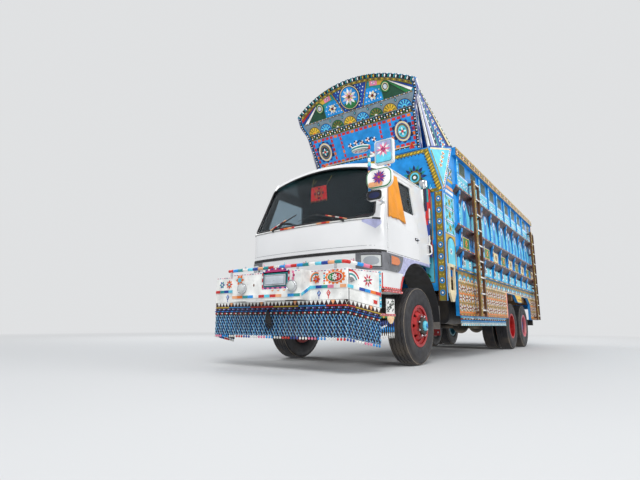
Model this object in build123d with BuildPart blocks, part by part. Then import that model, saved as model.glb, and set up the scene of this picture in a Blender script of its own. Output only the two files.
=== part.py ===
from build123d import *
import math
import os

# A decorated three-axle lorry with a tall painted body, in millimetres.
# +X is the lorry's left, +Y its rear and +Z up. The origin is on the ground,
# under the middle of the whole length. Lengths along Y are given from the
# front axle, which lies FRONT_AXLE away from the origin.

# Whole length, from the fog lamps to the tail step
FRONT_REACH = -1955
REAR_REACH = 8440
FRONT_AXLE = -(FRONT_REACH + REAR_REACH) / 2

# Clearance left between pieces that sit on, in or round each other
RUNNING_GAP = 0.3

# Axles and tyres
REAR_AXLES = (5242, 6546)
TYRE_RADIUS = 525
TYRE_WIDTH = 278
TYRE_BORE = 262
BEAD_TOP = TYRE_BORE + 30
FRONT_TYRE_X = 1020
DUAL_OUTER_X = 1086
DUAL_SPACING = 312
KINGPIN_X = 860
AXLE_TUBE_RADIUS = 70

# Chassis
RAIL_HALF = 430
RAIL_TOP = 1050
RAIL_DEPTH = 250
RAIL_FLANGE = 80
RAIL_PLATE = 10
RAIL_FRONT = -1100
RAIL_REAR = 7900
CROSS_MEMBERS = (-950, 1050, 1900, 2900, 3900, 4700, 5894, 7050, 7850)
CROSS_DEPTH = 100
CROSS_WIDTH = 90
CROSS_DROP = 20
CAB_REST_Y = 480

# Springs
FRONT_SPRING_X = RAIL_HALF - 30
REAR_SPRING_X = 520
LEAF_WIDTH = 80
REAR_SPRING_TOP = 760

# Cab
CAB_HALF = 1100
CAB_ROOF_HALF = 1000
CAB_FRONT = -1170
CAB_CORNER_FRONT = -1060
CAB_BACK = 560
CAB_RAKE = 400
CAB_WALL = 55
CAB_CORNER_RADIUS = 230
BELT_Z = 1840
ROOF_SIDE_Z = 2650
ROOF_TOP_Z = 2810
CAB_FLOOR_Z = 1400
CAB_FLOOR_THICK = 40
SKIRT_Z = 975
LAMP_PANEL_Z = 1200
CORNER_PANEL_X = CAB_HALF - 260

# Pivot at the front of the frame, about which the cab tilts
CAB_PIVOT_Y = -1050
CAB_PIVOT_Z = RAIL_TOP + 60
PIVOT_PIN = 15
PIVOT_EYE = 36
PIVOT_PLATE = 30
PIVOT_EAR_X = RAIL_HALF - 29
PIVOT_ARM_X = PIVOT_EAR_X - PIVOT_PLATE - 6

# Wheel arch in the cab's side
ARCH_Y = 50
ARCH_Z = 850
ARCH_RADIUS = 550

# Doors and windows of the cab
DOOR_FRONT = -830
DOOR_BACK = 190
DOOR_BOTTOM = 1450
DOOR_TOP = 2590
DOOR_GAP = 6
DOOR_RAKE = 190
HINGE_OUT = 2
HINGE_RADIUS = 14
HINGE_LENGTH = 70
HINGE_HEIGHTS = (1540, 1780)
SILL_Z = 2110
SILL_DROP = 110
WINDOW_TOP_Z = 2540
GLASS = 6
SCREEN_BASE_Z = 1880
SCREEN_SIDE_Z = 2610
SCREEN_TOP_Z = 2745
SCREEN_BASE_HALF = CAB_HALF - 90
SCREEN_TOP_HALF = CAB_ROOF_HALF - 70

# Load body
BODY_FRONT = 740
BODY_REAR = 7970
BODY_HALF = 1300
BODY_WALL = 60
BODY_TOP = 3545
SKIRT_FRONT = 1240
SKIRT_BOTTOM = 685
BAY_BOTTOM = 1420
LEDGE_OUT = 60
LEDGES = (2840, 2178, 1780)
LEDGE_FRONT = 1200
LEDGE_DEPTH = 110
CORNICE_Z = BODY_TOP - 145
FLOOR_TOP = 1300
FLOOR_PLANK = 50
BEARER_BOTTOM = RAIL_TOP + 60

# Crown over the cab: where its face starts and a place higher up on it, as Y and Z
CROWN_FOOT = (620, BODY_TOP - 185)
CROWN_BOARD = (110, BODY_TOP + 795)
CROWN_THICK = 60
CROWN_FOOT_HALF = BODY_HALF - 280
CROWN_NECK_HALF = CROWN_FOOT_HALF + 60
CROWN_HEAD_HALF = CROWN_NECK_HALF + 90
CROWN_SIDE_X = CROWN_FOOT_HALF + 100
CROWN_SIDE_THICK = 40
CROWN_TAIL_Y = 1290
HEADBOARD_KNEE = 2620

# Front bumper
BUMPER_FRONT = -1730
BUMPER_BOX_FRONT = -1900
BUMPER_BOX_HALF = 550
BUMPER_HALF = CAB_HALF - 45
BUMPER_END_X = CAB_HALF + 100
BUMPER_END_Y = -1220
BUMPER_BOTTOM = 810
BUMPER_END_BOTTOM = 725
BUMPER_TOP = 1150
BUMPER_PLATE = 40
FOG_LAMP_X = (-370, 430)
FOG_LAMP_Z = 965

pieces = {}


def at(y):
    """A place along the lorry, from its distance behind the front axle."""
    return FRONT_AXLE + y


def rod(start, end, radius):
    """A round bar between two places, each with its Y from the front axle."""
    foot = Vector(start[0], at(start[1]), start[2])
    reach = Vector(end[0], at(end[1]), end[2]) - foot
    with BuildPart() as bar:
        with BuildSketch(Plane(origin=foot, z_dir=reach)):
            Circle(radius)
        extrude(amount=reach.length)
    return bar.part


def facing_front(y):
    """The upright plane across the lorry at y, drawn with X and Z."""
    return Plane.XZ.offset(-at(y))


def keep(name, part):
    """Label a finished piece and add it to those that are written."""
    part.label = name
    pieces[name] = part


def keep_pair(name, part):
    """Keep a piece of the left side and its mirror image on the right."""
    keep("left_" + name, part)
    keep("right_" + name, mirror(part, about=Plane.YZ))


# Chassis frame: two channel rails joined by cross members
RAIL_MIDDLE_X = RAIL_HALF - RAIL_FLANGE / 2
REST_SIZE = (70, 90)
SADDLE_LENGTH = 220
SADDLE_TOP = 960
with BuildPart() as chassis_frame:
    rail_z = RAIL_TOP - RAIL_DEPTH / 2
    rest_top = CAB_FLOOR_Z - RUNNING_GAP
    saddle_bottom = REAR_SPRING_TOP + RUNNING_GAP
    saddle_outer = REAR_SPRING_X + LEAF_WIDTH / 2
    saddle_y = at(sum(REAR_AXLES) / 2)
    for side in (-1, 1):
        with BuildSketch(facing_front(RAIL_FRONT)):
            with Locations((side * RAIL_MIDDLE_X, rail_z)):
                Rectangle(RAIL_FLANGE, RAIL_DEPTH)
            with Locations((side * (RAIL_MIDDLE_X - RAIL_PLATE), rail_z)):
                Rectangle(RAIL_FLANGE, RAIL_DEPTH - 2 * RAIL_PLATE, mode=Mode.SUBTRACT)
        extrude(amount=RAIL_FRONT - RAIL_REAR)
    with Locations([(0, at(y), RAIL_TOP - CROSS_DROP - CROSS_DEPTH / 2) for y in CROSS_MEMBERS]):
        Box(2 * (RAIL_HALF - RAIL_PLATE), CROSS_WIDTH, CROSS_DEPTH)
    for side in (-1, 1):
        with Locations((side * RAIL_MIDDLE_X, at(CAB_REST_Y), (RAIL_TOP + rest_top) / 2)):
            Box(*REST_SIZE, rest_top - RAIL_TOP)
        with Locations((side * PIVOT_EAR_X, at(CAB_PIVOT_Y), (RAIL_TOP + CAB_PIVOT_Z) / 2)):
            Box(PIVOT_PLATE, 2 * PIVOT_EYE, CAB_PIVOT_Z - RAIL_TOP)
        with Locations((side * PIVOT_EAR_X, at(CAB_PIVOT_Y), CAB_PIVOT_Z)):
            Cylinder(PIVOT_EYE, PIVOT_PLATE, rotation=(0, 90, 0))
            Cylinder(PIVOT_PIN + RUNNING_GAP, PIVOT_PLATE, rotation=(0, 90, 0), mode=Mode.SUBTRACT)
        saddle_x = side * (RAIL_HALF + saddle_outer) / 2
        with Locations((saddle_x, saddle_y, (saddle_bottom + SADDLE_TOP) / 2)):
            Box(saddle_outer - RAIL_HALF, SADDLE_LENGTH, SADDLE_TOP - saddle_bottom)
keep("chassis_frame", chassis_frame.part)

# Front axle: a dropped beam with an eye for each kingpin
BEAM_DEPTH = 90
BEAM_HALF = 50
BEAM_Z = TYRE_RADIUS - 95
BEAM_FLAT_X = KINGPIN_X - 80
BEAM_LOW_X = 600
EYE_RADIUS = 55
EYE_HEIGHT = 110
KINGPIN_RADIUS = 24
with BuildPart() as front_axle:
    with BuildSketch(facing_front(-BEAM_DEPTH / 2)):
        with BuildLine():
            Polyline(
                (0, BEAM_Z - BEAM_HALF), (BEAM_LOW_X, BEAM_Z - BEAM_HALF), (BEAM_FLAT_X, TYRE_RADIUS - 45),
                (KINGPIN_X, TYRE_RADIUS - 45), (KINGPIN_X, TYRE_RADIUS + 45), (BEAM_FLAT_X, TYRE_RADIUS + 45),
                (BEAM_LOW_X - 20, BEAM_Z + BEAM_HALF), (0, BEAM_Z + BEAM_HALF), close=True,
            )
        make_face()
        mirror(about=Plane.YZ)
    extrude(amount=-BEAM_DEPTH)
    for side in (-1, 1):
        with Locations((side * KINGPIN_X, at(0), TYRE_RADIUS)):
            Cylinder(EYE_RADIUS, EYE_HEIGHT)
            Cylinder(KINGPIN_RADIUS + RUNNING_GAP, EYE_HEIGHT, mode=Mode.SUBTRACT)
keep("front_axle", front_axle.part)

# Steering knuckle: a yoke round the axle's eye, its kingpin and the stub axle
YOKE_GAP = 0.5
YOKE_PLATE = 30
YOKE_DEPTH = 2 * EYE_RADIUS - 20
STUB_RADIUS = 38
STUB_START = KINGPIN_X + 75
STUB_END = FRONT_TYRE_X + 80
STEERING_ARM = 190
with BuildPart() as left_knuckle:
    yoke_height = EYE_HEIGHT + 2 * (YOKE_GAP + YOKE_PLATE)
    with Locations((KINGPIN_X, at(0), TYRE_RADIUS)):
        Cylinder(KINGPIN_RADIUS, yoke_height)
    for side in (-1, 1):
        yoke_z = TYRE_RADIUS + side * (yoke_height - YOKE_PLATE) / 2
        with Locations((KINGPIN_X, at(0), yoke_z)):
            Cylinder(EYE_RADIUS, YOKE_PLATE)
        with Locations(((KINGPIN_X + STUB_START) / 2, at(0), yoke_z)):
            Box(STUB_START - KINGPIN_X, YOKE_DEPTH, YOKE_PLATE)
    with Locations((STUB_START, at(0), TYRE_RADIUS)):
        Box(YOKE_PLATE, YOKE_DEPTH, yoke_height)
    with Locations(((STUB_START + STUB_END) / 2, at(0), TYRE_RADIUS)):
        Cylinder(STUB_RADIUS, STUB_END - STUB_START, rotation=(0, 90, 0))
    with Locations((KINGPIN_X, at(STEERING_ARM / 2), TYRE_RADIUS - (yoke_height - YOKE_PLATE) / 2)):
        Box(50, STEERING_ARM, YOKE_PLATE)
keep_pair("knuckle", left_knuckle.part)

# Rear axles: a tube with a differential and a stub for each pair of wheels
DIFF_RADIUS = 190
DIFF_NOSE_RADIUS = 80
DIFF_NOSE = 215
SHAFT_REAR_Z = TYRE_RADIUS + 35
REAR_STUB_RADIUS = 60
AXLE_TUBE_LENGTH = 1200
AXLE_LENGTH = 1900
with BuildPart() as rear_axles:
    for axle_y in REAR_AXLES:
        with Locations((0, at(axle_y), TYRE_RADIUS)):
            Cylinder(AXLE_TUBE_RADIUS, AXLE_TUBE_LENGTH, rotation=(0, 90, 0))
            Cylinder(REAR_STUB_RADIUS, AXLE_LENGTH, rotation=(0, 90, 0))
            Sphere(DIFF_RADIUS)
        with Locations((0, at(axle_y), SHAFT_REAR_Z)):
            Cylinder(DIFF_NOSE_RADIUS, 2 * DIFF_NOSE, rotation=(90, 0, 0))
keep("rear_axles", rear_axles.part)


def tyre(x, y):
    """A tyre whose middle stands at x and y, with rounded shoulders and sides."""
    half = TYRE_WIDTH / 2
    flat = half - 26
    edge = (flat, TYRE_RADIUS - 4)
    shoulder = (half - 2, TYRE_RADIUS - 60)
    bead = (flat, BEAD_TOP)
    with BuildPart() as ring:
        with BuildSketch(Plane((x, at(y), TYRE_RADIUS))):
            with BuildLine():
                ThreePointArc((0, TYRE_RADIUS), (flat / 2, TYRE_RADIUS - 1), edge)
                ThreePointArc(edge, (half - 7, TYRE_RADIUS - 24), shoulder)
                ThreePointArc(shoulder, (half, TYRE_RADIUS - 130), bead)
                Polyline(bead, (flat, TYRE_BORE), (0, TYRE_BORE), (0, TYRE_RADIUS))
            make_face()
            mirror(about=Plane.YZ)
        revolve(axis=Axis((x, at(y), TYRE_RADIUS), (1, 0, 0)))
    return ring.part


def turned(x, y, outline):
    """A solid turned about a wheel's axis, from points of offset and radius."""
    with BuildPart() as body:
        with BuildSketch(Plane((x, at(y), TYRE_RADIUS))):
            with BuildLine():
                Polyline(*outline, close=True)
            make_face()
        revolve(axis=Axis((x, at(y), TYRE_RADIUS), (1, 0, 0)))
    return body.part


RIM_RADIUS = TYRE_BORE - RUNNING_GAP
RIM_HALF = TYRE_WIDTH / 2 - 26
FLANGE_RADIUS = TYRE_BORE + 22
FLANGE_WIDTH = 12
BARREL = 14
FRONT_BORE = STUB_RADIUS + RUNNING_GAP
REAR_BORE = REAR_STUB_RADIUS + RUNNING_GAP


def barrel_outline():
    """The section of a rim's barrel with its two flanges, from the rim's middle."""
    inner = RIM_HALF + RUNNING_GAP
    outer = inner + FLANGE_WIDTH
    return [
        (-outer, RIM_RADIUS - BARREL), (outer, RIM_RADIUS - BARREL), (outer, FLANGE_RADIUS),
        (inner, FLANGE_RADIUS), (inner, RIM_RADIUS), (-inner, RIM_RADIUS), (-inner, FLANGE_RADIUS),
        (-outer, FLANGE_RADIUS),
    ]


# Front wheels: a bulged disc, hub and cap outboard of the stub axle
HAND_HOLES = 8
DISC_EDGE = RIM_RADIUS - BARREL / 2
with BuildPart() as left_front_rim:
    add(turned(FRONT_TYRE_X, 0, barrel_outline()))
    add(turned(FRONT_TYRE_X, 0, [
        (88, DISC_EDGE), (104, DISC_EDGE), (92, 205), (150, 160), (150, 112), (190, 106), (190, 70),
        (215, 60), (228, 0), (200, 0), (100, 0), (100, FRONT_BORE), (-60, FRONT_BORE), (-60, 100),
        (100, 110), (132, 118), (132, 155), (76, 203),
    ]))
    with Locations(Plane(origin=(FRONT_TYRE_X, at(0), TYRE_RADIUS), z_dir=(1, 0, 0))):
        with PolarLocations(190, HAND_HOLES):
            Cylinder(24, 400, mode=Mode.SUBTRACT)
keep_pair("front_rim", left_front_rim.part)
keep_pair("front_tyre", tyre(FRONT_TYRE_X, 0))

# Rear wheels: two rims bolted back to back, deep dished outboard
DUAL_INNER_X = DUAL_OUTER_X - DUAL_SPACING
DUAL_MIDDLE_X = (DUAL_INNER_X + DUAL_OUTER_X) / 2
for name, axle_y in zip(("middle", "rear"), REAR_AXLES):
    with BuildPart() as left_rims:
        add(turned(DUAL_OUTER_X, axle_y, barrel_outline()))
        add(turned(DUAL_INNER_X, axle_y, barrel_outline()))
        add(turned(DUAL_MIDDLE_X, axle_y, [
            (30, DISC_EDGE), (46, DISC_EDGE), (14, 190), (14, 112), (150, 106), (150, 66), (166, 56),
            (170, 0), (30, 0), (30, REAR_BORE), (-60, REAR_BORE), (-60, 130), (-14, 140), (-14, 190),
            (-46, DISC_EDGE), (-30, DISC_EDGE), (0, 196),
        ]))
        with Locations(Plane(origin=(DUAL_MIDDLE_X, at(axle_y), TYRE_RADIUS), z_dir=(1, 0, 0))):
            with PolarLocations(222, HAND_HOLES):
                Cylinder(18, 120, mode=Mode.SUBTRACT)
    with BuildPart() as left_tyres:
        add(tyre(DUAL_OUTER_X, axle_y))
        add(tyre(DUAL_INNER_X, axle_y))
    keep_pair(name + "_rims", left_rims.part)
    keep_pair(name + "_tyres", left_tyres.part)

# Springs: front packs over the axle and one long pack a side between the rear axles
FRONT_SPRING_HALF = 700
FRONT_SPRING_FOOT = BEAM_Z + BEAM_HALF + RUNNING_GAP
FRONT_SPRING_THICK = 70
REAR_SPRING_FOOT = TYRE_RADIUS + AXLE_TUBE_RADIUS + RUNNING_GAP
REAR_SPRING_THICK = 40
SPRING_CLAMP = 150
with BuildPart() as springs:
    eye_z = RAIL_TOP - RAIL_DEPTH
    pack_start = at(-FRONT_SPRING_HALF)
    pack_end = at(FRONT_SPRING_HALF)
    saddle_start = saddle_y - SPRING_CLAMP
    saddle_end = saddle_y + SPRING_CLAMP
    for side in (-1, 1):
        with BuildSketch(Plane.YZ.offset(side * FRONT_SPRING_X - LEAF_WIDTH / 2)):
            with BuildLine():
                ThreePointArc((pack_start, eye_z - 40), (at(0), FRONT_SPRING_FOOT), (pack_end, eye_z - 40))
                Line((pack_end, eye_z - 40), (pack_end, eye_z))
                ThreePointArc(
                    (pack_end, eye_z), (at(0), FRONT_SPRING_FOOT + FRONT_SPRING_THICK), (pack_start, eye_z)
                )
                Line((pack_start, eye_z), (pack_start, eye_z - 40))
            make_face()
        extrude(amount=LEAF_WIDTH)
        with BuildSketch(Plane.YZ.offset(side * REAR_SPRING_X - LEAF_WIDTH / 2)):
            with BuildLine():
                Polyline(
                    (at(REAR_AXLES[0] - 60), REAR_SPRING_FOOT), (at(REAR_AXLES[1] + 60), REAR_SPRING_FOOT),
                    (at(REAR_AXLES[1] + 60), REAR_SPRING_FOOT + REAR_SPRING_THICK),
                    (saddle_end, REAR_SPRING_TOP), (saddle_start, REAR_SPRING_TOP),
                    (at(REAR_AXLES[0] - 60), REAR_SPRING_FOOT + REAR_SPRING_THICK), close=True,
                )
            make_face()
        extrude(amount=LEAF_WIDTH)
keep("springs", springs.part)

# Engine: one plain block between the rails, on four mounts
ENGINE_REAR = 245
ENGINE_SIZE = (640, 1050, 700)
ENGINE_Z = RAIL_TOP - 65
ENGINE_MOUNT = 80
with BuildPart() as engine:
    with Locations((0, at(ENGINE_REAR - ENGINE_SIZE[1] / 2), ENGINE_Z)):
        Box(*ENGINE_SIZE)
    with Locations([(0, at(y), RAIL_TOP - 100) for y in (-600, 60)]):
        Box(2 * (RAIL_HALF - RAIL_PLATE - RUNNING_GAP), ENGINE_MOUNT, ENGINE_MOUNT)
keep("engine", engine.part)

# Driveline: gearbox, long shaft to the first rear axle and short shaft to the second
GEARBOX_REAR = 950
GEARBOX_Z = RAIL_TOP - 190
GEARBOX_SECTION = (380, 320)
SHAFT_RADIUS = 50
YOKE_RADIUS = 65
YOKE_LENGTH = 40
SHAFTS = (
    ((GEARBOX_REAR, GEARBOX_Z), (REAR_AXLES[0] - DIFF_NOSE, SHAFT_REAR_Z)),
    ((REAR_AXLES[0] + DIFF_NOSE, SHAFT_REAR_Z), (REAR_AXLES[1] - DIFF_NOSE, SHAFT_REAR_Z)),
)
with BuildPart() as driveline:
    with Locations((0, at((ENGINE_REAR + GEARBOX_REAR) / 2), GEARBOX_Z)):
        Box(GEARBOX_SECTION[0], GEARBOX_REAR - ENGINE_REAR, GEARBOX_SECTION[1])
    for (start_y, start_z), (end_y, end_z) in SHAFTS:
        shaft_start = start_y + YOKE_LENGTH / 2
        shaft_end = end_y - YOKE_LENGTH / 2
        with Locations((0, at(shaft_start), start_z), (0, at(shaft_end), end_z)):
            Cylinder(YOKE_RADIUS, YOKE_LENGTH, rotation=(90, 0, 0))
        add(rod((0, shaft_start, start_z), (0, shaft_end, end_z), SHAFT_RADIUS))
keep("driveline", driveline.part)

# Fuel tank on the left, battery box and exhaust silencer on the right, hung on the rails
HANGER = 60
with BuildPart() as fuel_tank:
    with Locations((RAIL_HALF + 370, at(1950), 800)):
        Box(560, 1200, 480)
    fillet(fuel_tank.edges().filter_by(Axis.Y), 90)
    with Locations([(RAIL_HALF + 45, at(y), 870) for y in (1600, 2300)]):
        Box(90, HANGER, 240)
keep("fuel_tank", fuel_tank.part)
with BuildPart() as battery_box:
    with Locations((-RAIL_HALF - 370, at(1750), 800)):
        Box(560, 800, 420)
    with Locations([(-RAIL_HALF - 45, at(y), 870) for y in (1500, 2000)]):
        Box(90, HANGER, 240)
keep("battery_box", battery_box.part)
SILENCER_X = -RAIL_HALF - 270
SILENCER_Y = 2700
SILENCER_Z = 830
SILENCER_RADIUS = 100
SILENCER_LENGTH = 700
TAILPIPE_RADIUS = 40
with BuildPart() as exhaust:
    with Locations((SILENCER_X, at(SILENCER_Y), SILENCER_Z)):
        Cylinder(SILENCER_RADIUS, SILENCER_LENGTH, rotation=(90, 0, 0))
    with Locations((SILENCER_X, at(SILENCER_Y + SILENCER_LENGTH / 2 + 150), SILENCER_Z)):
        Cylinder(TAILPIPE_RADIUS, 300, rotation=(90, 0, 0))
    hanger_x = (SILENCER_X - RAIL_HALF) / 2
    with Locations([(hanger_x, at(SILENCER_Y + y), SILENCER_Z + 60) for y in (-200, 200)]):
        Box(-SILENCER_X - RAIL_HALF, HANGER, 30)
keep("exhaust", exhaust.part)


def cab_section(z, inset):
    """The cab's plan at height z, drawn inset from its outer skin."""
    rise = max(0, z - BELT_Z) / (ROOF_TOP_Z - BELT_Z)
    half = CAB_HALF + (CAB_ROOF_HALF - CAB_HALF) * rise - inset
    middle = at(CAB_FRONT + CAB_RAKE * rise + inset)
    corner = at(CAB_CORNER_FRONT + CAB_RAKE * rise + inset)
    back = at(CAB_BACK - inset)
    with BuildSketch(Plane.XY.offset(z)) as section:
        with BuildLine():
            ThreePointArc((half, corner), (0, middle), (-half, corner))
            Polyline((-half, corner), (-half, back), (half, back), (half, corner))
        make_face()
        fillet(section.vertices().group_by(Axis.Y)[0], CAB_CORNER_RADIUS - inset)
    return section.sketch


def cab_body(inset, bottom):
    """The cab's whole form, inset from its outer skin and closed at the bottom."""
    roof_side = ROOF_SIDE_Z - inset
    with BuildPart() as body:
        add(extrude(cab_section(BELT_Z, inset), amount=bottom - BELT_Z))
        loft([cab_section(BELT_Z, inset).face(), cab_section(ROOF_TOP_Z, inset).face()])
        with BuildSketch(facing_front(CAB_FRONT - 230)):
            with BuildLine():
                ThreePointArc((-CAB_HALF, roof_side), (0, ROOF_TOP_Z - inset), (CAB_HALF, roof_side))
                Polyline(
                    (CAB_HALF, roof_side), (CAB_HALF, bottom), (-CAB_HALF, bottom), (-CAB_HALF, roof_side)
                )
            make_face()
        extrude(amount=-2400, mode=Mode.INTERSECT)
    return body.part


# Planes that every cut through the left side starts and ends at, clear of the skin
SIDE_CUT_START = CAB_ROOF_HALF - 100
SIDE_CUT_END = CAB_HALF + 200


def door_prism(gap):
    """The block that takes the left door out of the cab's wall, less a gap."""
    with BuildPart() as prism:
        with BuildSketch(Plane.YZ.offset(SIDE_CUT_START)):
            with BuildLine():
                Polyline(
                    (at(DOOR_FRONT + gap), DOOR_BOTTOM + gap), (at(DOOR_BACK - gap), DOOR_BOTTOM + gap),
                    (at(DOOR_BACK - gap), DOOR_TOP - gap), (at(DOOR_FRONT + DOOR_RAKE + gap), DOOR_TOP - gap),
                    (at(DOOR_FRONT + gap), SILL_Z), close=True,
                )
            make_face()
        extrude(amount=SIDE_CUT_END - SIDE_CUT_START)
    return prism.part


def window_prism(gap):
    """The block that cuts the left door's window, less a gap."""
    front = DOOR_FRONT + 80 + gap
    back = DOOR_BACK - 70 - gap
    sill = SILL_Z + gap
    low_sill = sill - SILL_DROP
    top = WINDOW_TOP_Z - gap
    with BuildPart() as prism:
        with BuildSketch(Plane.YZ.offset(SIDE_CUT_START)) as outline:
            with BuildLine():
                Polyline(
                    (at(front), low_sill), (at(DOOR_FRONT + 340), low_sill), (at(DOOR_FRONT + 470), sill),
                    (at(back), sill), (at(back - 40), top), (at(front + DOOR_RAKE - 10), top), close=True,
                )
            make_face()
            fillet(outline.vertices(), 35)
        extrude(amount=SIDE_CUT_END - SIDE_CUT_START)
    return prism.part


def screen_prism(gap):
    """The block that cuts the windscreen's opening, less a gap."""
    top = (SCREEN_TOP_HALF - gap, SCREEN_SIDE_Z - gap)
    base = (SCREEN_BASE_HALF - gap, SCREEN_BASE_Z + gap)
    with BuildPart() as prism:
        with BuildSketch(facing_front(CAB_FRONT - 230)) as outline:
            with BuildLine():
                ThreePointArc((-top[0], top[1]), (0, SCREEN_TOP_Z - gap), top)
                Polyline(top, base, (-base[0], base[1]), (-top[0], top[1]))
            make_face()
            fillet(outline.vertices(), 60)
        extrude(amount=-1000)
    return prism.part


def rear_window_prism(gap):
    """The block that cuts the window in the cab's back, less a gap."""
    with BuildPart() as prism:
        with BuildSketch(facing_front(CAB_BACK - 200)):
            with Locations((0, 2300)):
                RectangleRounded(1200 - 2 * gap, 380 - 2 * gap, 50)
        extrude(amount=-400)
    return prism.part


cab_outer = cab_body(0, SKIRT_Z)
cab_inner = cab_body(CAB_WALL, CAB_FLOOR_Z + CAB_FLOOR_THICK)

# Cab shell: floor, walls and roof, with the arches, doors and windows cut out.
# Its raked, rounded and tapered form takes the most skill: doors, glass, lamps and cloth follow it.
SKIRT_WALL = CAB_WALL - 15
SKIRT_CUT_Z = SKIRT_Z - 10
with BuildPart() as cab_shell:
    add(cab_outer)
    add(cab_inner, mode=Mode.SUBTRACT)
    with BuildSketch(Plane.XY.offset(SKIRT_CUT_Z)):
        add(cab_section(BELT_Z, SKIRT_WALL).moved(Location((0, 0, SKIRT_CUT_Z - BELT_Z))))
    extrude(amount=CAB_FLOOR_Z - SKIRT_CUT_Z, mode=Mode.SUBTRACT)
    with BuildSketch(Plane.YZ.offset(-CAB_HALF - 50)):
        with BuildLine():
            arch_foot = math.sqrt(ARCH_RADIUS ** 2 - (SKIRT_Z - ARCH_Z) ** 2)
            arch_front = at(ARCH_Y - arch_foot)
            arch_middle = Vector(at(ARCH_Y), ARCH_Z) + Vector(-ARCH_RADIUS, 0).rotate(Axis.Z, -50)
            ThreePointArc((arch_front, SKIRT_Z), arch_middle, (at(ARCH_Y), ARCH_Z + ARCH_RADIUS))
            Polyline(
                (at(ARCH_Y), ARCH_Z + ARCH_RADIUS), (at(CAB_BACK + 100), ARCH_Z + ARCH_RADIUS),
                (at(CAB_BACK + 100), SKIRT_Z - 50), (arch_front, SKIRT_Z - 50), (arch_front, SKIRT_Z),
            )
        make_face()
    extrude(amount=2 * CAB_HALF + 100, mode=Mode.SUBTRACT)
    with Locations((0, at(-900), (SKIRT_Z + LAMP_PANEL_Z) / 2)):
        Box(2 * CORNER_PANEL_X, 1000, LAMP_PANEL_Z - SKIRT_Z, mode=Mode.SUBTRACT)
    add(door_prism(0), mode=Mode.SUBTRACT)
    add(mirror(door_prism(0), about=Plane.YZ), mode=Mode.SUBTRACT)
    add(screen_prism(0), mode=Mode.SUBTRACT)
    add(rear_window_prism(0), mode=Mode.SUBTRACT)
    arm_top = CAB_FLOOR_Z + 10
    pin_end = PIVOT_EAR_X + PIVOT_PLATE / 2
    for side in (-1, 1):
        hinge_x = side * (CAB_HALF + HINGE_OUT)
        with Locations([(hinge_x, at(DOOR_FRONT + DOOR_GAP), z) for z in HINGE_HEIGHTS]):
            Cylinder(HINGE_RADIUS + RUNNING_GAP, HINGE_LENGTH + 2 * RUNNING_GAP, mode=Mode.SUBTRACT)
        with Locations((side * PIVOT_ARM_X, at(CAB_PIVOT_Y), (CAB_PIVOT_Z + arm_top) / 2)):
            Box(PIVOT_PLATE, 2 * PIVOT_EYE, arm_top - CAB_PIVOT_Z)
        with Locations((side * PIVOT_ARM_X, at(CAB_PIVOT_Y), CAB_PIVOT_Z)):
            Cylinder(PIVOT_EYE, PIVOT_PLATE, rotation=(0, 90, 0))
        with Locations((side * (PIVOT_ARM_X + pin_end) / 2, at(CAB_PIVOT_Y), CAB_PIVOT_Z)):
            Cylinder(PIVOT_PIN, pin_end - PIVOT_ARM_X, rotation=(0, 90, 0))
keep("cab_shell", cab_shell.part)

# Cab doors and their window glass
with BuildPart() as left_door:
    add(cab_outer)
    add(cab_inner, mode=Mode.SUBTRACT)
    add(door_prism(DOOR_GAP), mode=Mode.INTERSECT)
    add(window_prism(0), mode=Mode.SUBTRACT)
    with Locations([(CAB_HALF + HINGE_OUT, at(DOOR_FRONT + DOOR_GAP), z) for z in HINGE_HEIGHTS]):
        Cylinder(HINGE_RADIUS, HINGE_LENGTH)
keep_pair("door", left_door.part)

glass_outer = cab_body((CAB_WALL - GLASS) / 2, CAB_FLOOR_Z + 40)
glass_inner = cab_body((CAB_WALL + GLASS) / 2, CAB_FLOOR_Z + 30)
with BuildPart() as left_door_glass:
    add(glass_outer)
    add(glass_inner, mode=Mode.SUBTRACT)
    add(window_prism(RUNNING_GAP), mode=Mode.INTERSECT)
keep_pair("door_glass", left_door_glass.part)

# Fixed glass: the windscreen and the rear window
for name, opening in (("windscreen", screen_prism), ("rear_window", rear_window_prism)):
    with BuildPart() as fixed_glass:
        add(glass_outer)
        add(glass_inner, mode=Mode.SUBTRACT)
        add(opening(RUNNING_GAP), mode=Mode.INTERSECT)
    keep(name, fixed_glass.part)

# Cloth hung outside the left door's window, close to the door's skin
CLOTH_FRONT = -790
CLOTH_BACK = -430
CLOTH_TOP = 2575
CLOTH_BOTTOM = 1900
CLOTH_SPREAD = 110
CLOTH_THICK = 14
with BuildPart() as window_cloth:
    add(cab_body(-CLOTH_THICK, CAB_FLOOR_Z))
    add(cab_body(-RUNNING_GAP, CAB_FLOOR_Z), mode=Mode.SUBTRACT)
    with BuildSketch(Plane.YZ.offset(SIDE_CUT_START)):
        with BuildLine():
            Polyline(
                (at(CLOTH_FRONT + 170), CLOTH_TOP), (at(CLOTH_BACK), CLOTH_TOP),
                (at(CLOTH_BACK + CLOTH_SPREAD), CLOTH_BOTTOM), (at(CLOTH_FRONT), CLOTH_BOTTOM),
                (at(CLOTH_FRONT), SILL_Z), close=True,
            )
        make_face()
    extrude(amount=SIDE_CUT_END - SIDE_CUT_START, mode=Mode.INTERSECT)
keep("window_cloth", window_cloth.part)

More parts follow.
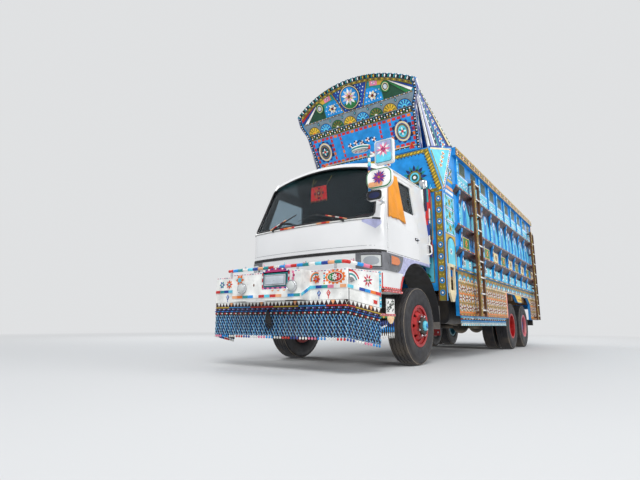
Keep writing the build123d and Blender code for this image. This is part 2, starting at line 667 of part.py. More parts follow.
# Seats: one for the driver on the right and a double one on the left
SEAT_BASE_Z = CAB_FLOOR_Z + CAB_FLOOR_THICK
SEAT_HEIGHT = 420
SEAT_LENGTH = 500
SEAT_Y = -60
BACKREST_HEIGHT = 860
BACKREST_THICK = 130
BACKREST_Y = SEAT_Y + SEAT_LENGTH / 2 + 60
with BuildPart() as seats:
    for middle_x, width in ((-620, 520), (420, 1000)):
        with Locations((middle_x, at(SEAT_Y), SEAT_BASE_Z + SEAT_HEIGHT / 2)):
            Box(width, SEAT_LENGTH, SEAT_HEIGHT)
        with Locations((middle_x, at(BACKREST_Y), SEAT_BASE_Z + BACKREST_HEIGHT / 2)):
            Box(width, BACKREST_THICK, BACKREST_HEIGHT)
keep("seats", seats.part)

# Dashboard with the steering wheel on its column
WHEEL_X = -620
with BuildPart() as dashboard:
    with Locations((0, at(-880), 1730)):
        Box(2 * (CAB_HALF - 150), 260, 240)
    with Locations((0, at(-960), 1530)):
        Box(2 * (CAB_HALF - 250), 80, 180)
    column = Plane(origin=(WHEEL_X, at(-760), 1720), x_dir=(1, 0, 0), z_dir=(0, 0.55, 1))
    with Locations(column):
        Cylinder(30, 240, align=(Align.CENTER, Align.CENTER, Align.MIN))
    with Locations(column.offset(235)):
        Torus(215, 16)
        Box(400, 40, 16)
keep("dashboard", dashboard.part)

# Radiator, between the rails behind the first cross member
RADIATOR_SIZE = (2 * (RAIL_HALF - RAIL_FLANGE - RUNNING_GAP), 70, 560)
with BuildPart() as radiator:
    radiator_front = CROSS_MEMBERS[0] + CROSS_WIDTH / 2 + RUNNING_GAP
    with Locations((0, at(radiator_front + RADIATOR_SIZE[1] / 2), RAIL_TOP - 50)):
        Box(*RADIATOR_SIZE)
keep("radiator", radiator.part)


# Headlamps on the cab's lower corners
LAMP_OUT = 10
LAMP_SIZE = (230, 400, 150)
with BuildPart() as headlamps:
    add(cab_body(-LAMP_OUT, LAMP_PANEL_Z))
    add(cab_body(0, LAMP_PANEL_Z - 20), mode=Mode.SUBTRACT)
    with Locations([(side * (CAB_HALF - 135), at(-1100), 1315) for side in (-1, 1)]):
        Box(*LAMP_SIZE, mode=Mode.INTERSECT)
keep("headlamps", headlamps.part)

# Fog lamps on the bumper's face
with BuildPart() as fog_lamps:
    with Locations([(x, at((FRONT_REACH + BUMPER_BOX_FRONT) / 2), FOG_LAMP_Z) for x in FOG_LAMP_X]):
        Cylinder(62, BUMPER_BOX_FRONT - FRONT_REACH, rotation=(90, 0, 0))
keep("fog_lamps", fog_lamps.part)

# Air intake: an upright pipe behind the cab with a domed top, on two brackets
INTAKE_X = CAB_HALF - 80
INTAKE_Y = 632
INTAKE_RADIUS = 58
INTAKE_BOTTOM = 1450
INTAKE_HEAD_Z = 2700
INTAKE_HEAD_RADIUS = 72
INTAKE_HEAD_HEIGHT = 120
with BuildPart() as air_intake:
    with Locations((INTAKE_X, at(INTAKE_Y), INTAKE_BOTTOM)):
        Cylinder(
            INTAKE_RADIUS, INTAKE_HEAD_Z - INTAKE_BOTTOM + 20, align=(Align.CENTER, Align.CENTER, Align.MIN)
        )
    with Locations((INTAKE_X, at(INTAKE_Y), INTAKE_HEAD_Z)):
        Cylinder(INTAKE_HEAD_RADIUS, INTAKE_HEAD_HEIGHT, align=(Align.CENTER, Align.CENTER, Align.MIN))
    fillet(air_intake.faces().sort_by(Axis.Z)[-1].edges(), INTAKE_HEAD_RADIUS / 2)
    bracket_start = INTAKE_Y + INTAKE_RADIUS - 8
    bracket_end = BODY_FRONT - RUNNING_GAP
    with Locations([(INTAKE_X, at((bracket_start + bracket_end) / 2), z) for z in (1700, 2400)]):
        Box(50, bracket_end - bracket_start, 60)
keep("air_intake", air_intake.part)


def bumper_outline(inset):
    """Half the bumper's plan, from its left end to the middle, moved inwards."""
    return [
        (BUMPER_END_X - inset, at(BUMPER_END_Y)), (BUMPER_HALF - inset, at(BUMPER_FRONT + inset)),
        (BUMPER_BOX_HALF - inset, at(BUMPER_FRONT + inset)),
        (BUMPER_BOX_HALF - inset, at(BUMPER_BOX_FRONT + inset)), (0, at(BUMPER_BOX_FRONT + inset)),
    ]


def below_bumper(gap):
    """The space under the bumper's lower edge, which falls along its ends, less a gap."""
    ahead = at(BUMPER_BOX_FRONT - 50)
    with BuildPart() as space:
        with BuildSketch(Plane.YZ.offset(-BUMPER_END_X - 50)):
            with BuildLine():
                Polyline(
                    (ahead, 0), (ahead, BUMPER_BOTTOM - gap), (at(BUMPER_FRONT), BUMPER_BOTTOM - gap),
                    (at(BUMPER_END_Y), BUMPER_END_BOTTOM - gap), (at(BUMPER_END_Y), 0), close=True,
                )
            make_face()
        extrude(amount=2 * BUMPER_END_X + 100)
    return space.part


# Front bumper: a plate that wraps the corners, with a deeper middle box and a top flange
BUMPER_FLANGE = 180
FLANGE_THICK = 25
BUMPER_STAY = (70, 180)
BUMPER_STAY_Z = 930
with BuildPart() as front_bumper:
    plate = (BUMPER_PLATE, BUMPER_END_BOTTOM, BUMPER_TOP - BUMPER_END_BOTTOM)
    flange = (BUMPER_FLANGE, BUMPER_TOP - FLANGE_THICK, FLANGE_THICK)
    for inset, z, depth in (plate, flange):
        with BuildSketch(Plane.XY.offset(z)):
            with BuildLine():
                Polyline(*bumper_outline(0), *reversed(bumper_outline(inset)), close=True)
            make_face()
        extrude(amount=depth)
    add(below_bumper(0), mode=Mode.SUBTRACT)
    mirror(about=Plane.YZ)
    stay_front = BUMPER_BOX_FRONT + BUMPER_PLATE
    stay_y = at((stay_front + RAIL_FRONT) / 2)
    with Locations([(side * RAIL_MIDDLE_X, stay_y, BUMPER_STAY_Z) for side in (-1, 1)]):
        Box(BUMPER_STAY[0], RAIL_FRONT - stay_front, BUMPER_STAY[1])
keep("front_bumper", front_bumper.part)

# Guard pipe carried over the bumper on short stays
PIPE_RADIUS = 18
PIPE_Z = BUMPER_TOP + 90
PIPE_Y = BUMPER_FRONT + 80
PIPE_START_X = 200 - CAB_HALF
PIPE_STAYS = (PIPE_START_X + 50, -300, 300, CAB_HALF - 250)
with BuildPart() as bumper_pipe:
    start = (PIPE_START_X, at(PIPE_Y), PIPE_Z)
    with BuildLine():
        FilletPolyline(
            start, (CAB_HALF - 120, at(PIPE_Y), PIPE_Z),
            (CAB_HALF + 20, at(BUMPER_END_Y - 80), PIPE_Z - 40), radius=90,
        )
    with BuildSketch(Plane(origin=start, z_dir=(1, 0, 0))):
        Circle(PIPE_RADIUS)
    sweep()
    with Locations([(x, at(PIPE_Y), (BUMPER_TOP + PIPE_Z) / 2) for x in PIPE_STAYS]):
        Box(24, 24, PIPE_Z - BUMPER_TOP)
keep("bumper_pipe", bumper_pipe.part)

# Fringe hung under the bumper and round its corners
FRINGE_BOTTOM = 375
FRINGE_LOWEST = 200
FRINGE_THICK = 16
FRINGE_SET_BACK = 5
with BuildPart() as bumper_fringe:
    front = BUMPER_FRONT + FRINGE_SET_BACK
    end_y = BUMPER_END_Y - 20
    corner_x = BUMPER_HALF - FRINGE_SET_BACK
    end_x = BUMPER_END_X - FRINGE_SET_BACK
    with BuildSketch(Plane.XY.offset(FRINGE_LOWEST)):
        with BuildLine():
            Polyline(
                (0, at(front)), (corner_x, at(front)), (end_x, at(end_y)),
                (end_x - FRINGE_THICK, at(end_y)), (corner_x - FRINGE_THICK, at(front + FRINGE_THICK)),
                (0, at(front + FRINGE_THICK)), close=True,
            )
        make_face()
    extrude(amount=BUMPER_BOTTOM - FRINGE_LOWEST)
    add(below_bumper(0), mode=Mode.INTERSECT)
    add(below_bumper(BUMPER_BOTTOM - FRINGE_BOTTOM), mode=Mode.SUBTRACT)
    mirror(about=Plane.YZ)
keep("bumper_fringe", bumper_fringe.part)

# Two steps a side behind the bumper, joined by a plate and carried by a bracket from the rail
STEP_X = CAB_HALF - 100
STEP_WIDTH = 240
STEP_THICK = 30
LOW_STEP = (-900, 655, 400)
HIGH_STEP = (-700, 950, 460)
STEP_PLATE_Y = -815
STEP_BRACKET = 60
with BuildPart() as cab_steps:
    for side in (-1, 1):
        for step_y, step_z, step_length in (LOW_STEP, HIGH_STEP):
            with Locations((side * STEP_X, at(step_y), step_z)):
                Box(STEP_WIDTH, step_length, STEP_THICK)
        inner_x = STEP_X - STEP_WIDTH / 2
        with Locations((side * (inner_x + 10), at(STEP_PLATE_Y), (LOW_STEP[1] + HIGH_STEP[1]) / 2)):
            Box(20, 220, HIGH_STEP[1] - LOW_STEP[1])
        with Locations((side * (RAIL_HALF + inner_x) / 2, at(STEP_PLATE_Y), 880)):
            Box(inner_x - RAIL_HALF, STEP_BRACKET, STEP_BRACKET)
keep("cab_steps", cab_steps.part)

# Front mudguards: a curved sheet behind each front wheel, with a flap below it
GUARD_RADIUS = TYRE_RADIUS + 345
GUARD_THICK = 15
GUARD_X = 910
GUARD_WIDTH = 400
GUARD_ARM_Z = 900
FLAP_BOTTOM = 380
with BuildPart() as front_mudguards:
    guard_inner = GUARD_RADIUS - GUARD_THICK
    for side in (-1, 1):
        with BuildSketch(Plane.YZ.offset(side * GUARD_X - GUARD_WIDTH / 2)):
            with BuildLine():
                CenterArc((at(0), TYRE_RADIUS), GUARD_RADIUS, 0, 90)
                Line((at(0), TYRE_RADIUS + GUARD_RADIUS), (at(0), TYRE_RADIUS + guard_inner))
                CenterArc((at(0), TYRE_RADIUS), guard_inner, 90, -90)
                Polyline(
                    (at(guard_inner), TYRE_RADIUS), (at(guard_inner), FLAP_BOTTOM),
                    (at(GUARD_RADIUS), FLAP_BOTTOM), (at(GUARD_RADIUS), TYRE_RADIUS),
                )
            make_face()
        extrude(amount=GUARD_WIDTH)
        arm_end = GUARD_X - GUARD_WIDTH / 2 + 40
        with Locations((side * (RAIL_HALF + arm_end) / 2, at(GUARD_RADIUS - 95), GUARD_ARM_Z)):
            Box(arm_end - RAIL_HALF, HANGER, HANGER)
keep("front_mudguards", front_mudguards.part)

# Mirrors on the left: a bent stay from the front pillar that carries four mirrors of their own shapes
STAY_X = CAB_HALF + 30
STAY_Y = -1330
STAY_BEND = 90
STAY_FEET = ((2060, -870, CAB_HALF - 90), (2615, -690, CAB_ROOF_HALF - 80))
MIRROR_Y = STAY_Y - 45
MIRRORS = (
    (STAY_X + 220, 2550, 240, 300, 28),
    (STAY_X + 150, 2235, 330, 240, 90),
    (STAY_X + 85, 2035, 200, 120, 40),
)
MIRROR_THICK = 50
KERB_MIRROR = (STAY_X - 120, 2680, 120, 65)
with BuildPart() as left_mirrors:
    add(rod((STAY_X, STAY_Y, 2000), (STAY_X, STAY_Y, 2700), 14))
    for foot_z, foot_y, foot_x in STAY_FEET:
        bend_y = foot_y - STAY_BEND
        add(rod((STAY_X, STAY_Y, foot_z), (STAY_X, bend_y, foot_z), 12))
        add(rod((STAY_X, bend_y, foot_z), (foot_x, foot_y, foot_z), 12))
        with Locations((STAY_X, at(bend_y), foot_z)):
            Sphere(16)
    for mirror_x, mirror_z, width, height, rounding in MIRRORS:
        with BuildSketch(facing_front(MIRROR_Y)):
            with Locations((mirror_x, mirror_z)):
                RectangleRounded(width, height, rounding)
        extrude(amount=-MIRROR_THICK)
    with Locations((STAY_X + 55, at(STAY_Y), MIRRORS[0][1])):
        Box(110, 20, 20)
    with BuildSketch(Plane.XY.offset(KERB_MIRROR[1] - MIRROR_THICK / 2)):
        with Locations((KERB_MIRROR[0], at(STAY_Y))):
            Ellipse(*KERB_MIRROR[2:])
    extrude(amount=MIRROR_THICK)
    add(cab_outer, mode=Mode.SUBTRACT)
keep("left_mirrors", left_mirrors.part)

# Cargo floor: a deck on cross bearers, and two runners under them that lie on the rails
FLOOR_HALF = BODY_HALF - BODY_WALL
FLOOR_LENGTH = BODY_REAR - BODY_FRONT - BODY_WALL
FLOOR_Y = BODY_FRONT + BODY_WALL + FLOOR_LENGTH / 2
BEARER_TOP = FLOOR_TOP - FLOOR_PLANK - RUNNING_GAP
BEARER_FIRST = BODY_FRONT + 200
BEARER_COUNT = 12
BEARER_PITCH = 620
BEARER_WIDTH = 90
RUNNER_WIDTH = 80
with BuildPart() as cargo_floor:
    with Locations((0, at(FLOOR_Y), FLOOR_TOP - FLOOR_PLANK / 2)):
        Box(2 * FLOOR_HALF, FLOOR_LENGTH, FLOOR_PLANK)
    bearer_ys = [at(BEARER_FIRST + BEARER_PITCH * i) for i in range(BEARER_COUNT)]
    with Locations([(0, y, (BEARER_TOP + BEARER_BOTTOM) / 2) for y in bearer_ys]):
        Box(2 * FLOOR_HALF, BEARER_WIDTH, BEARER_TOP - BEARER_BOTTOM)
    runner_height = BEARER_BOTTOM - RUNNING_GAP - RAIL_TOP
    runner_z = RAIL_TOP + runner_height / 2
    with Locations([(side * RAIL_MIDDLE_X, at(FLOOR_Y), runner_z) for side in (-1, 1)]):
        Box(RUNNER_WIDTH, FLOOR_LENGTH, runner_height)
keep("cargo_floor", cargo_floor.part)

# Ladders stand on the side walls at these places
LADDER_YS = (2260, 7700)
LADDER_HALF = 190

# Side walls: a panel with arch cut-outs, ledges on gussets, a band, a cornice and posts
ARCHES = ((4500, 5310, 5600), (6020, 6830, 7100))
ARCH_TOP_Z = 1240
ARCH_JOIN_Z = 1080
POST_FIRST = 1440
POST_PITCH = 668
POST_COUNT = 10
POST_WIDTH = 70
POST_OUT = 25
GUSSET_DROP = 150
BAND_HEIGHT = 40
wall_posts = [POST_FIRST + POST_PITCH * i for i in range(POST_COUNT)]
clear_posts = [
    y for y in wall_posts if all(abs(y - ladder_y) > LADDER_HALF + POST_WIDTH for ladder_y in LADDER_YS)
]
with BuildPart() as left_side_wall:
    with BuildSketch(Plane.YZ.offset(BODY_HALF - BODY_WALL)):
        with BuildLine():
            (arch_1, head_1, join_1), (arch_2, head_2, join_2) = ARCHES
            Polyline(
                (at(BODY_FRONT), BAY_BOTTOM), (at(SKIRT_FRONT), BAY_BOTTOM), (at(SKIRT_FRONT), SKIRT_BOTTOM),
                (at(arch_1), SKIRT_BOTTOM), (at(arch_1), ARCH_TOP_Z), (at(head_1), ARCH_TOP_Z),
                (at(join_1), ARCH_JOIN_Z), (at(arch_2), ARCH_JOIN_Z), (at(arch_2), ARCH_TOP_Z),
                (at(head_2), ARCH_TOP_Z), (at(join_2), ARCH_JOIN_Z), (at(join_2), SKIRT_BOTTOM),
                (at(BODY_REAR), SKIRT_BOTTOM), (at(BODY_REAR), BODY_TOP), (at(CROWN_TAIL_Y), BODY_TOP),
                (at(BODY_FRONT + BODY_WALL + 1), HEADBOARD_KNEE), (at(BODY_FRONT), HEADBOARD_KNEE),
                close=True,
            )
        make_face()
    extrude(amount=BODY_WALL)
    for ledge_z in LEDGES:
        with BuildSketch(facing_front(LEDGE_FRONT)):
            with BuildLine():
                Polyline(
                    (BODY_HALF - 5, ledge_z + 25), (BODY_HALF + LEDGE_OUT, ledge_z + 15),
                    (BODY_HALF + LEDGE_OUT, ledge_z - 15), (BODY_HALF - 5, ledge_z - LEDGE_DEPTH), close=True,
                )
            make_face()
        extrude(amount=LEDGE_FRONT - BODY_REAR)
        for post_y in clear_posts:
            with BuildSketch(facing_front(post_y - POST_WIDTH / 2)):
                with BuildLine():
                    Polyline(
                        (BODY_HALF - 5, ledge_z), (BODY_HALF + LEDGE_OUT - 5, ledge_z),
                        (BODY_HALF + POST_OUT, ledge_z - LEDGE_DEPTH - GUSSET_DROP),
                        (BODY_HALF - 5, ledge_z - LEDGE_DEPTH - GUSSET_DROP), close=True,
                    )
                make_face()
            extrude(amount=-POST_WIDTH)
    post_z = (BAY_BOTTOM + CORNICE_Z) / 2
    with Locations([(BODY_HALF + POST_OUT / 2, at(y), post_z) for y in clear_posts]):
        Box(POST_OUT, POST_WIDTH, CORNICE_Z - BAY_BOTTOM)
    band_middle = at((SKIRT_FRONT + BODY_REAR) / 2)
    with Locations((BODY_HALF + POST_OUT / 2, band_middle, BAY_BOTTOM + BAND_HEIGHT / 2)):
        Box(POST_OUT, BODY_REAR - SKIRT_FRONT, BAND_HEIGHT)
    cornice_middle = at((CROWN_TAIL_Y + BODY_REAR) / 2)
    with Locations((BODY_HALF + LEDGE_OUT / 2, cornice_middle, (CORNICE_Z + BODY_TOP) / 2)):
        Box(LEDGE_OUT, BODY_REAR - CROWN_TAIL_Y, BODY_TOP - CORNICE_Z)
keep_pair("side_wall", left_side_wall.part)

# Headboard: an upright front wall with corner posts, and a panel that leans over the cab
CORNER_POST = 130
CORNER_POST_OUT = 40
CORNER_POST_BOTTOM = 900
HEADBOARD_BOTTOM = RAIL_TOP + 10
with BuildPart() as headboard:
    with BuildSketch(facing_front(BODY_FRONT)):
        with Locations((0, (HEADBOARD_BOTTOM + HEADBOARD_KNEE) / 2)):
            Rectangle(2 * (FLOOR_HALF - RUNNING_GAP), HEADBOARD_KNEE - HEADBOARD_BOTTOM)
    extrude(amount=-BODY_WALL + 1)
    for side in (-1, 1):
        post_z = (CORNER_POST_BOTTOM + HEADBOARD_KNEE) / 2
        with Locations((side * (BODY_HALF - CORNER_POST / 2), at(BODY_FRONT - CORNER_POST_OUT / 2), post_z)):
            Box(CORNER_POST, CORNER_POST_OUT, HEADBOARD_KNEE - CORNER_POST_BOTTOM)
    lean = Plane(
        origin=(0, at(BODY_FRONT), HEADBOARD_KNEE + RUNNING_GAP), x_dir=(1, 0, 0),
        z_dir=(0, HEADBOARD_KNEE - CROWN_FOOT[1], CROWN_FOOT[0] - BODY_FRONT),
    )
    lean_height = math.hypot(CROWN_FOOT[0] - BODY_FRONT, CROWN_FOOT[1] - HEADBOARD_KNEE)
    with BuildSketch(lean):
        with BuildLine():
            Polyline(
                (-BODY_HALF, 0), (BODY_HALF, 0), (CROWN_SIDE_X, lean_height), (-CROWN_SIDE_X, lean_height),
                close=True,
            )
        make_face()
    extrude(amount=-BODY_WALL)
keep("headboard", headboard.part)

# Racks that hang below the walls' front corners
RACK_FRONT = 765
RACK_BACK = 1035
RACK_TOP = 1470
RACK_KNEE = 1020
RACK_BOTTOM = 890
RACK_BAR = 45
RACK_THICK = 30
with BuildPart() as side_racks:
    rack_y = at((RACK_FRONT + RACK_BACK) / 2)
    rack_gap = (RACK_BACK - RACK_FRONT - 2 * RACK_BAR, RACK_TOP - RACK_KNEE - 2 * RACK_BAR)
    for side in (-1, 1):
        with BuildSketch(Plane.YZ.offset(side * (BODY_HALF + RACK_THICK / 2) - RACK_THICK / 2)):
            with BuildLine():
                Polyline(
                    (at(RACK_FRONT), RACK_TOP), (at(RACK_BACK), RACK_TOP), (at(RACK_BACK), RACK_KNEE),
                    (rack_y + RACK_BAR, RACK_BOTTOM), (rack_y - RACK_BAR, RACK_BOTTOM),
                    (at(RACK_FRONT), RACK_KNEE), close=True,
                )
            make_face()
            with Locations((rack_y, (RACK_TOP + RACK_KNEE) / 2)):
                Rectangle(*rack_gap, mode=Mode.SUBTRACT)
        extrude(amount=RACK_THICK)
keep("side_racks", side_racks.part)

# Crown front: a board that leans out over the cab, with an arched head and a raised rim
crown_rise = math.hypot(CROWN_BOARD[0] - CROWN_FOOT[0], CROWN_BOARD[1] - CROWN_FOOT[1])
crown_plane = Plane(
    origin=(0, at(CROWN_FOOT[0]), CROWN_FOOT[1]), x_dir=(1, 0, 0),
    z_dir=(0, CROWN_FOOT[1] - CROWN_BOARD[1], CROWN_BOARD[0] - CROWN_FOOT[0]),
)
NECK_UP = 700
HEAD_UP = 900
HEAD_SIDE_UP = 1095
HEAD_TOP_UP = 1420
CROWN_RIM = 60
CROWN_RIM_OUT = 14


def crown_sheet(inset):
    """The crown's outline on its plane, from its foot to its arched head, moved inwards."""
    corner = (CROWN_HEAD_HALF, HEAD_SIDE_UP)
    with BuildSketch(crown_plane) as sheet:
        with BuildLine():
            Polyline(
                (-CROWN_HEAD_HALF, HEAD_SIDE_UP), (-CROWN_HEAD_HALF, HEAD_UP), (-CROWN_NECK_HALF, NECK_UP),
                (-CROWN_FOOT_HALF, 5), (CROWN_FOOT_HALF, 5), (CROWN_NECK_HALF, NECK_UP),
                (CROWN_HEAD_HALF, HEAD_UP), corner,
            )
            ThreePointArc(corner, (0, HEAD_TOP_UP), (-CROWN_HEAD_HALF, HEAD_SIDE_UP))
        make_face()
        offset(amount=-inset, kind=Kind.INTERSECTION)
    return sheet.sketch


with BuildPart() as crown_front:
    extrude(crown_sheet(0), amount=-CROWN_THICK)
    extrude(crown_sheet(0) - crown_sheet(CROWN_RIM), amount=CROWN_RIM_OUT)
keep("crown_front", crown_front.part)

# Crown sides: two flat facets a side close the corner between board, headboard and wall
BOARD_BACK = CROWN_THICK * crown_rise / (CROWN_BOARD[1] - CROWN_FOOT[1]) + 1
with BuildPart() as crown_sides:
    foot = Vector(CROWN_SIDE_X, at(CROWN_FOOT[0] + BOARD_BACK), CROWN_FOOT[1] + 14)
    head = Vector(CROWN_SIDE_X, at(CROWN_BOARD[0] + BOARD_BACK + 8), CROWN_BOARD[1] - 16)
    tail = Vector(BODY_HALF, at(CROWN_TAIL_Y), BODY_TOP + 0.5)
    knee = Vector(BODY_HALF, at(BODY_FRONT + BODY_WALL + 1), HEADBOARD_KNEE + 12)
    for corners in ((foot, head, tail), (foot, tail, knee)):
        extrude(Face(Wire.make_polygon(corners, close=True)), amount=CROWN_SIDE_THICK, dir=(-1, 0, 0))
    mirror(about=Plane.YZ)
keep("crown_sides", crown_sides.part)

# Crown deck: a sheet that slopes from the board's head to the body's top
DECK_THICK = 20
DECK_SHORT = 90
DECK_FOOT_IN = 12.6
with BuildPart() as crown_deck:
    deck_top = Vector(0, head.Y, head.Z) + Vector(0, 46, -44)
    deck_run = Vector(0, tail.Y, tail.Z) - Vector(0, head.Y, head.Z)
    deck_start = CROWN_SIDE_X - CROWN_SIDE_THICK - RUNNING_GAP
    deck_end = BODY_HALF - CROWN_SIDE_THICK - DECK_FOOT_IN
    deck_length = deck_run.length - DECK_SHORT
    with BuildSketch(Plane(origin=deck_top, x_dir=(1, 0, 0), z_dir=(0, -deck_run.Z, deck_run.Y))):
        with BuildLine():
            Polyline(
                (-deck_start, 0), (deck_start, 0), (deck_end, deck_length), (-deck_end, deck_length),
                close=True,
            )
        make_face()
    extrude(amount=-DECK_THICK)
keep("crown_deck", crown_deck.part)

# Bars across the open top, which hold the walls apart
TOP_BAR_YS = (2400, 3900, 5400, 6900)
TOP_BAR_DROP = 60
TOP_BAR = 60
with BuildPart() as top_bars:
    with Locations([(0, at(y), BODY_TOP - TOP_BAR_DROP) for y in TOP_BAR_YS]):
        Box(2 * FLOOR_HALF, TOP_BAR, TOP_BAR)
keep("top_bars", top_bars.part)

# Side fringes under the skirts
SIDE_FRINGE_BOTTOM = 500
SIDE_FRINGE_Y = 2870
SIDE_FRINGE_LENGTH = 3000
with BuildPart() as side_fringes:
    fringe_top = SKIRT_BOTTOM - 2 * RUNNING_GAP
    fringe_x = BODY_HALF - BODY_WALL / 2
    with Locations([
        (side * fringe_x, at(SIDE_FRINGE_Y), (SIDE_FRINGE_BOTTOM + fringe_top) / 2) for side in (-1, 1)
    ]):
        Box(FRINGE_THICK, SIDE_FRINGE_LENGTH, fringe_top - SIDE_FRINGE_BOTTOM)
keep("side_fringes", side_fringes.part)

# Ladders: a broad board and a narrow bar held off the wall by brackets, with rungs between them
LADDER_OFF = LEDGE_OUT + 5
LADDER_DEPTH = 40
LADDER_BOARD = 110
LADDER_BAR = 45
LADDER_BOTTOM = 690
LADDER_TOP = 3155
RUNG = 28
RUNG_FIRST = 800
RUNG_PITCH = 290
RUNG_COUNT = 9
LADDER_BRACKET = 40
LADDER_BRACKETS = (760, 1550, 2500, 3100)
with BuildPart() as ladders:
    rail_x = BODY_HALF + LADDER_OFF + LADDER_DEPTH / 2
    rail_height = LADDER_TOP - LADDER_BOTTOM
    rung_length = 2 * LADDER_HALF - LADDER_BOARD - LADDER_BAR - 2 * RUNNING_GAP
    bracket_length = LADDER_OFF - RUNNING_GAP
    for ladder_y in LADDER_YS:
        board_y = at(ladder_y - LADDER_HALF + LADDER_BOARD / 2)
        bar_y = at(ladder_y + LADDER_HALF - LADDER_BAR / 2)
        rung_y = at(ladder_y + (LADDER_BOARD - LADDER_BAR) / 2)
        with Locations((rail_x, board_y, LADDER_BOTTOM + rail_height / 2)):
            Box(LADDER_DEPTH, LADDER_BOARD, rail_height)
        with Locations((rail_x, bar_y, LADDER_BOTTOM + rail_height / 2)):
            Box(LADDER_DEPTH, LADDER_BAR, rail_height)
        with Locations([(rail_x, rung_y, RUNG_FIRST + RUNG_PITCH * i) for i in range(RUNG_COUNT)]):
            Box(RUNG, rung_length, RUNG)
        for bracket_z in LADDER_BRACKETS:
            with Locations([(BODY_HALF + bracket_length / 2, y, bracket_z) for y in (board_y, bar_y)]):
                Box(bracket_length, LADDER_BRACKET, LADDER_BRACKET)
    mirror(about=Plane.YZ)
keep("ladders", ladders.part)

# Rear frame: corner posts, header with ribs, fixed upper panel and sill
GATE_TOP = 2350
GATE_THICK = 60
GATE_OUT = BODY_REAR + 70
GATE_BOTTOM = FLOOR_TOP + 2
GATE_HINGES = (-900, 0, 900)
GATE_HALF = FLOOR_HALF - 7
REAR_POST_DEPTH = 90
REAR_POST_WIDTH = BODY_WALL + 20
FRAME_HALF = FLOOR_HALF + 10
RIB = 50
RIB_OUT = 20
RIB_XS = (-980, -490, 0, 490, 980)
with BuildPart() as rear_frame:
    post_x = BODY_HALF + 20 - REAR_POST_WIDTH / 2
    post_y = at(BODY_REAR + RUNNING_GAP + REAR_POST_DEPTH / 2)
    with Locations([(side * post_x, post_y, (SKIRT_BOTTOM + BODY_TOP) / 2) for side in (-1, 1)]):
        Box(REAR_POST_WIDTH, REAR_POST_DEPTH, BODY_TOP - SKIRT_BOTTOM)
    panel_bottom = GATE_TOP + 10
    with Locations((0, at(BODY_REAR + 30), (panel_bottom + BODY_TOP) / 2)):
        Box(2 * FRAME_HALF, 50, BODY_TOP - panel_bottom)
    rib_y = at(BODY_REAR + 55 + RIB_OUT / 2)
    with Locations([(x, rib_y, (panel_bottom + BODY_TOP) / 2) for x in RIB_XS]):
        Box(RIB, RIB_OUT, BODY_TOP - panel_bottom)
    with Locations((0, at(BODY_REAR + 40 + RUNNING_GAP), FLOOR_TOP - 60)):
        Box(2 * FRAME_HALF, 80, 110)
    pocket = (HINGE_RADIUS + RUNNING_GAP, HINGE_LENGTH + 2 * RUNNING_GAP)
    with Locations([(x, at(GATE_OUT), GATE_BOTTOM) for x in GATE_HINGES]):
        Cylinder(*pocket, rotation=(0, 90, 0), mode=Mode.SUBTRACT)
keep("rear_frame", rear_frame.part)

# Tailgate: a ribbed panel that drops about its lower edge
GATE_RIB_BOTTOM = GATE_BOTTOM + 60
GATE_RAIL_ZS = (GATE_RIB_BOTTOM + RIB / 2, (GATE_RIB_BOTTOM + GATE_TOP) / 2, GATE_TOP - RIB / 2)
with BuildPart() as tailgate:
    with Locations((0, at(GATE_OUT - GATE_THICK / 2), (GATE_BOTTOM + GATE_TOP) / 2)):
        Box(2 * GATE_HALF, GATE_THICK, GATE_TOP - GATE_BOTTOM)
    with Locations([(x, at(GATE_OUT + RIB_OUT / 2), (GATE_RIB_BOTTOM + GATE_TOP) / 2) for x in RIB_XS]):
        Box(RIB, RIB_OUT, GATE_TOP - GATE_RIB_BOTTOM)
    with Locations([(0, at(GATE_OUT + RIB_OUT / 2), z) for z in GATE_RAIL_ZS]):
        Box(2 * GATE_HALF, RIB_OUT, RIB)
    with Locations([(x, at(GATE_OUT), GATE_BOTTOM) for x in GATE_HINGES]):
        Cylinder(HINGE_RADIUS, HINGE_LENGTH, rotation=(0, 90, 0))
keep("tailgate", tailgate.part)

# Rear bumper with an eye for a tow pin, and the two brackets that carry it from the frame's ends
REAR_BUMPER_Y = 8130
REAR_BUMPER_Z = 620
REAR_BUMPER_SIZE = (2300, 90, 160)
TOW_EYE_RADIUS = 20
TOW_EYE_OUTER = 60
TOW_EYE_THICK = 40
TOW_EYE_Y = REAR_BUMPER_Y + 105
DROP_WIDTH = 70
DROP_TOP = 1000
DROP_BOTTOM = 540
with BuildPart() as rear_bumper:
    with Locations((0, at(REAR_BUMPER_Y), REAR_BUMPER_Z)):
        Box(*REAR_BUMPER_SIZE)
    with Locations((0, at(TOW_EYE_Y - TOW_EYE_OUTER / 2), REAR_BUMPER_Z)):
        Box(2 * TOW_EYE_OUTER, TOW_EYE_OUTER, TOW_EYE_THICK)
    with Locations((0, at(TOW_EYE_Y), REAR_BUMPER_Z)):
        Cylinder(TOW_EYE_OUTER, TOW_EYE_THICK)
        Cylinder(TOW_EYE_RADIUS, TOW_EYE_THICK, mode=Mode.SUBTRACT)
    drop_end = REAR_BUMPER_Y - REAR_BUMPER_SIZE[1] / 2 - RUNNING_GAP
    drop_y = at((RAIL_REAR + drop_end) / 2)
    with Locations([(side * RAIL_MIDDLE_X, drop_y, (DROP_TOP + DROP_BOTTOM) / 2) for side in (-1, 1)]):
        Box(DROP_WIDTH, drop_end - RAIL_REAR, DROP_TOP - DROP_BOTTOM)
keep("rear_bumper", rear_bumper.part)

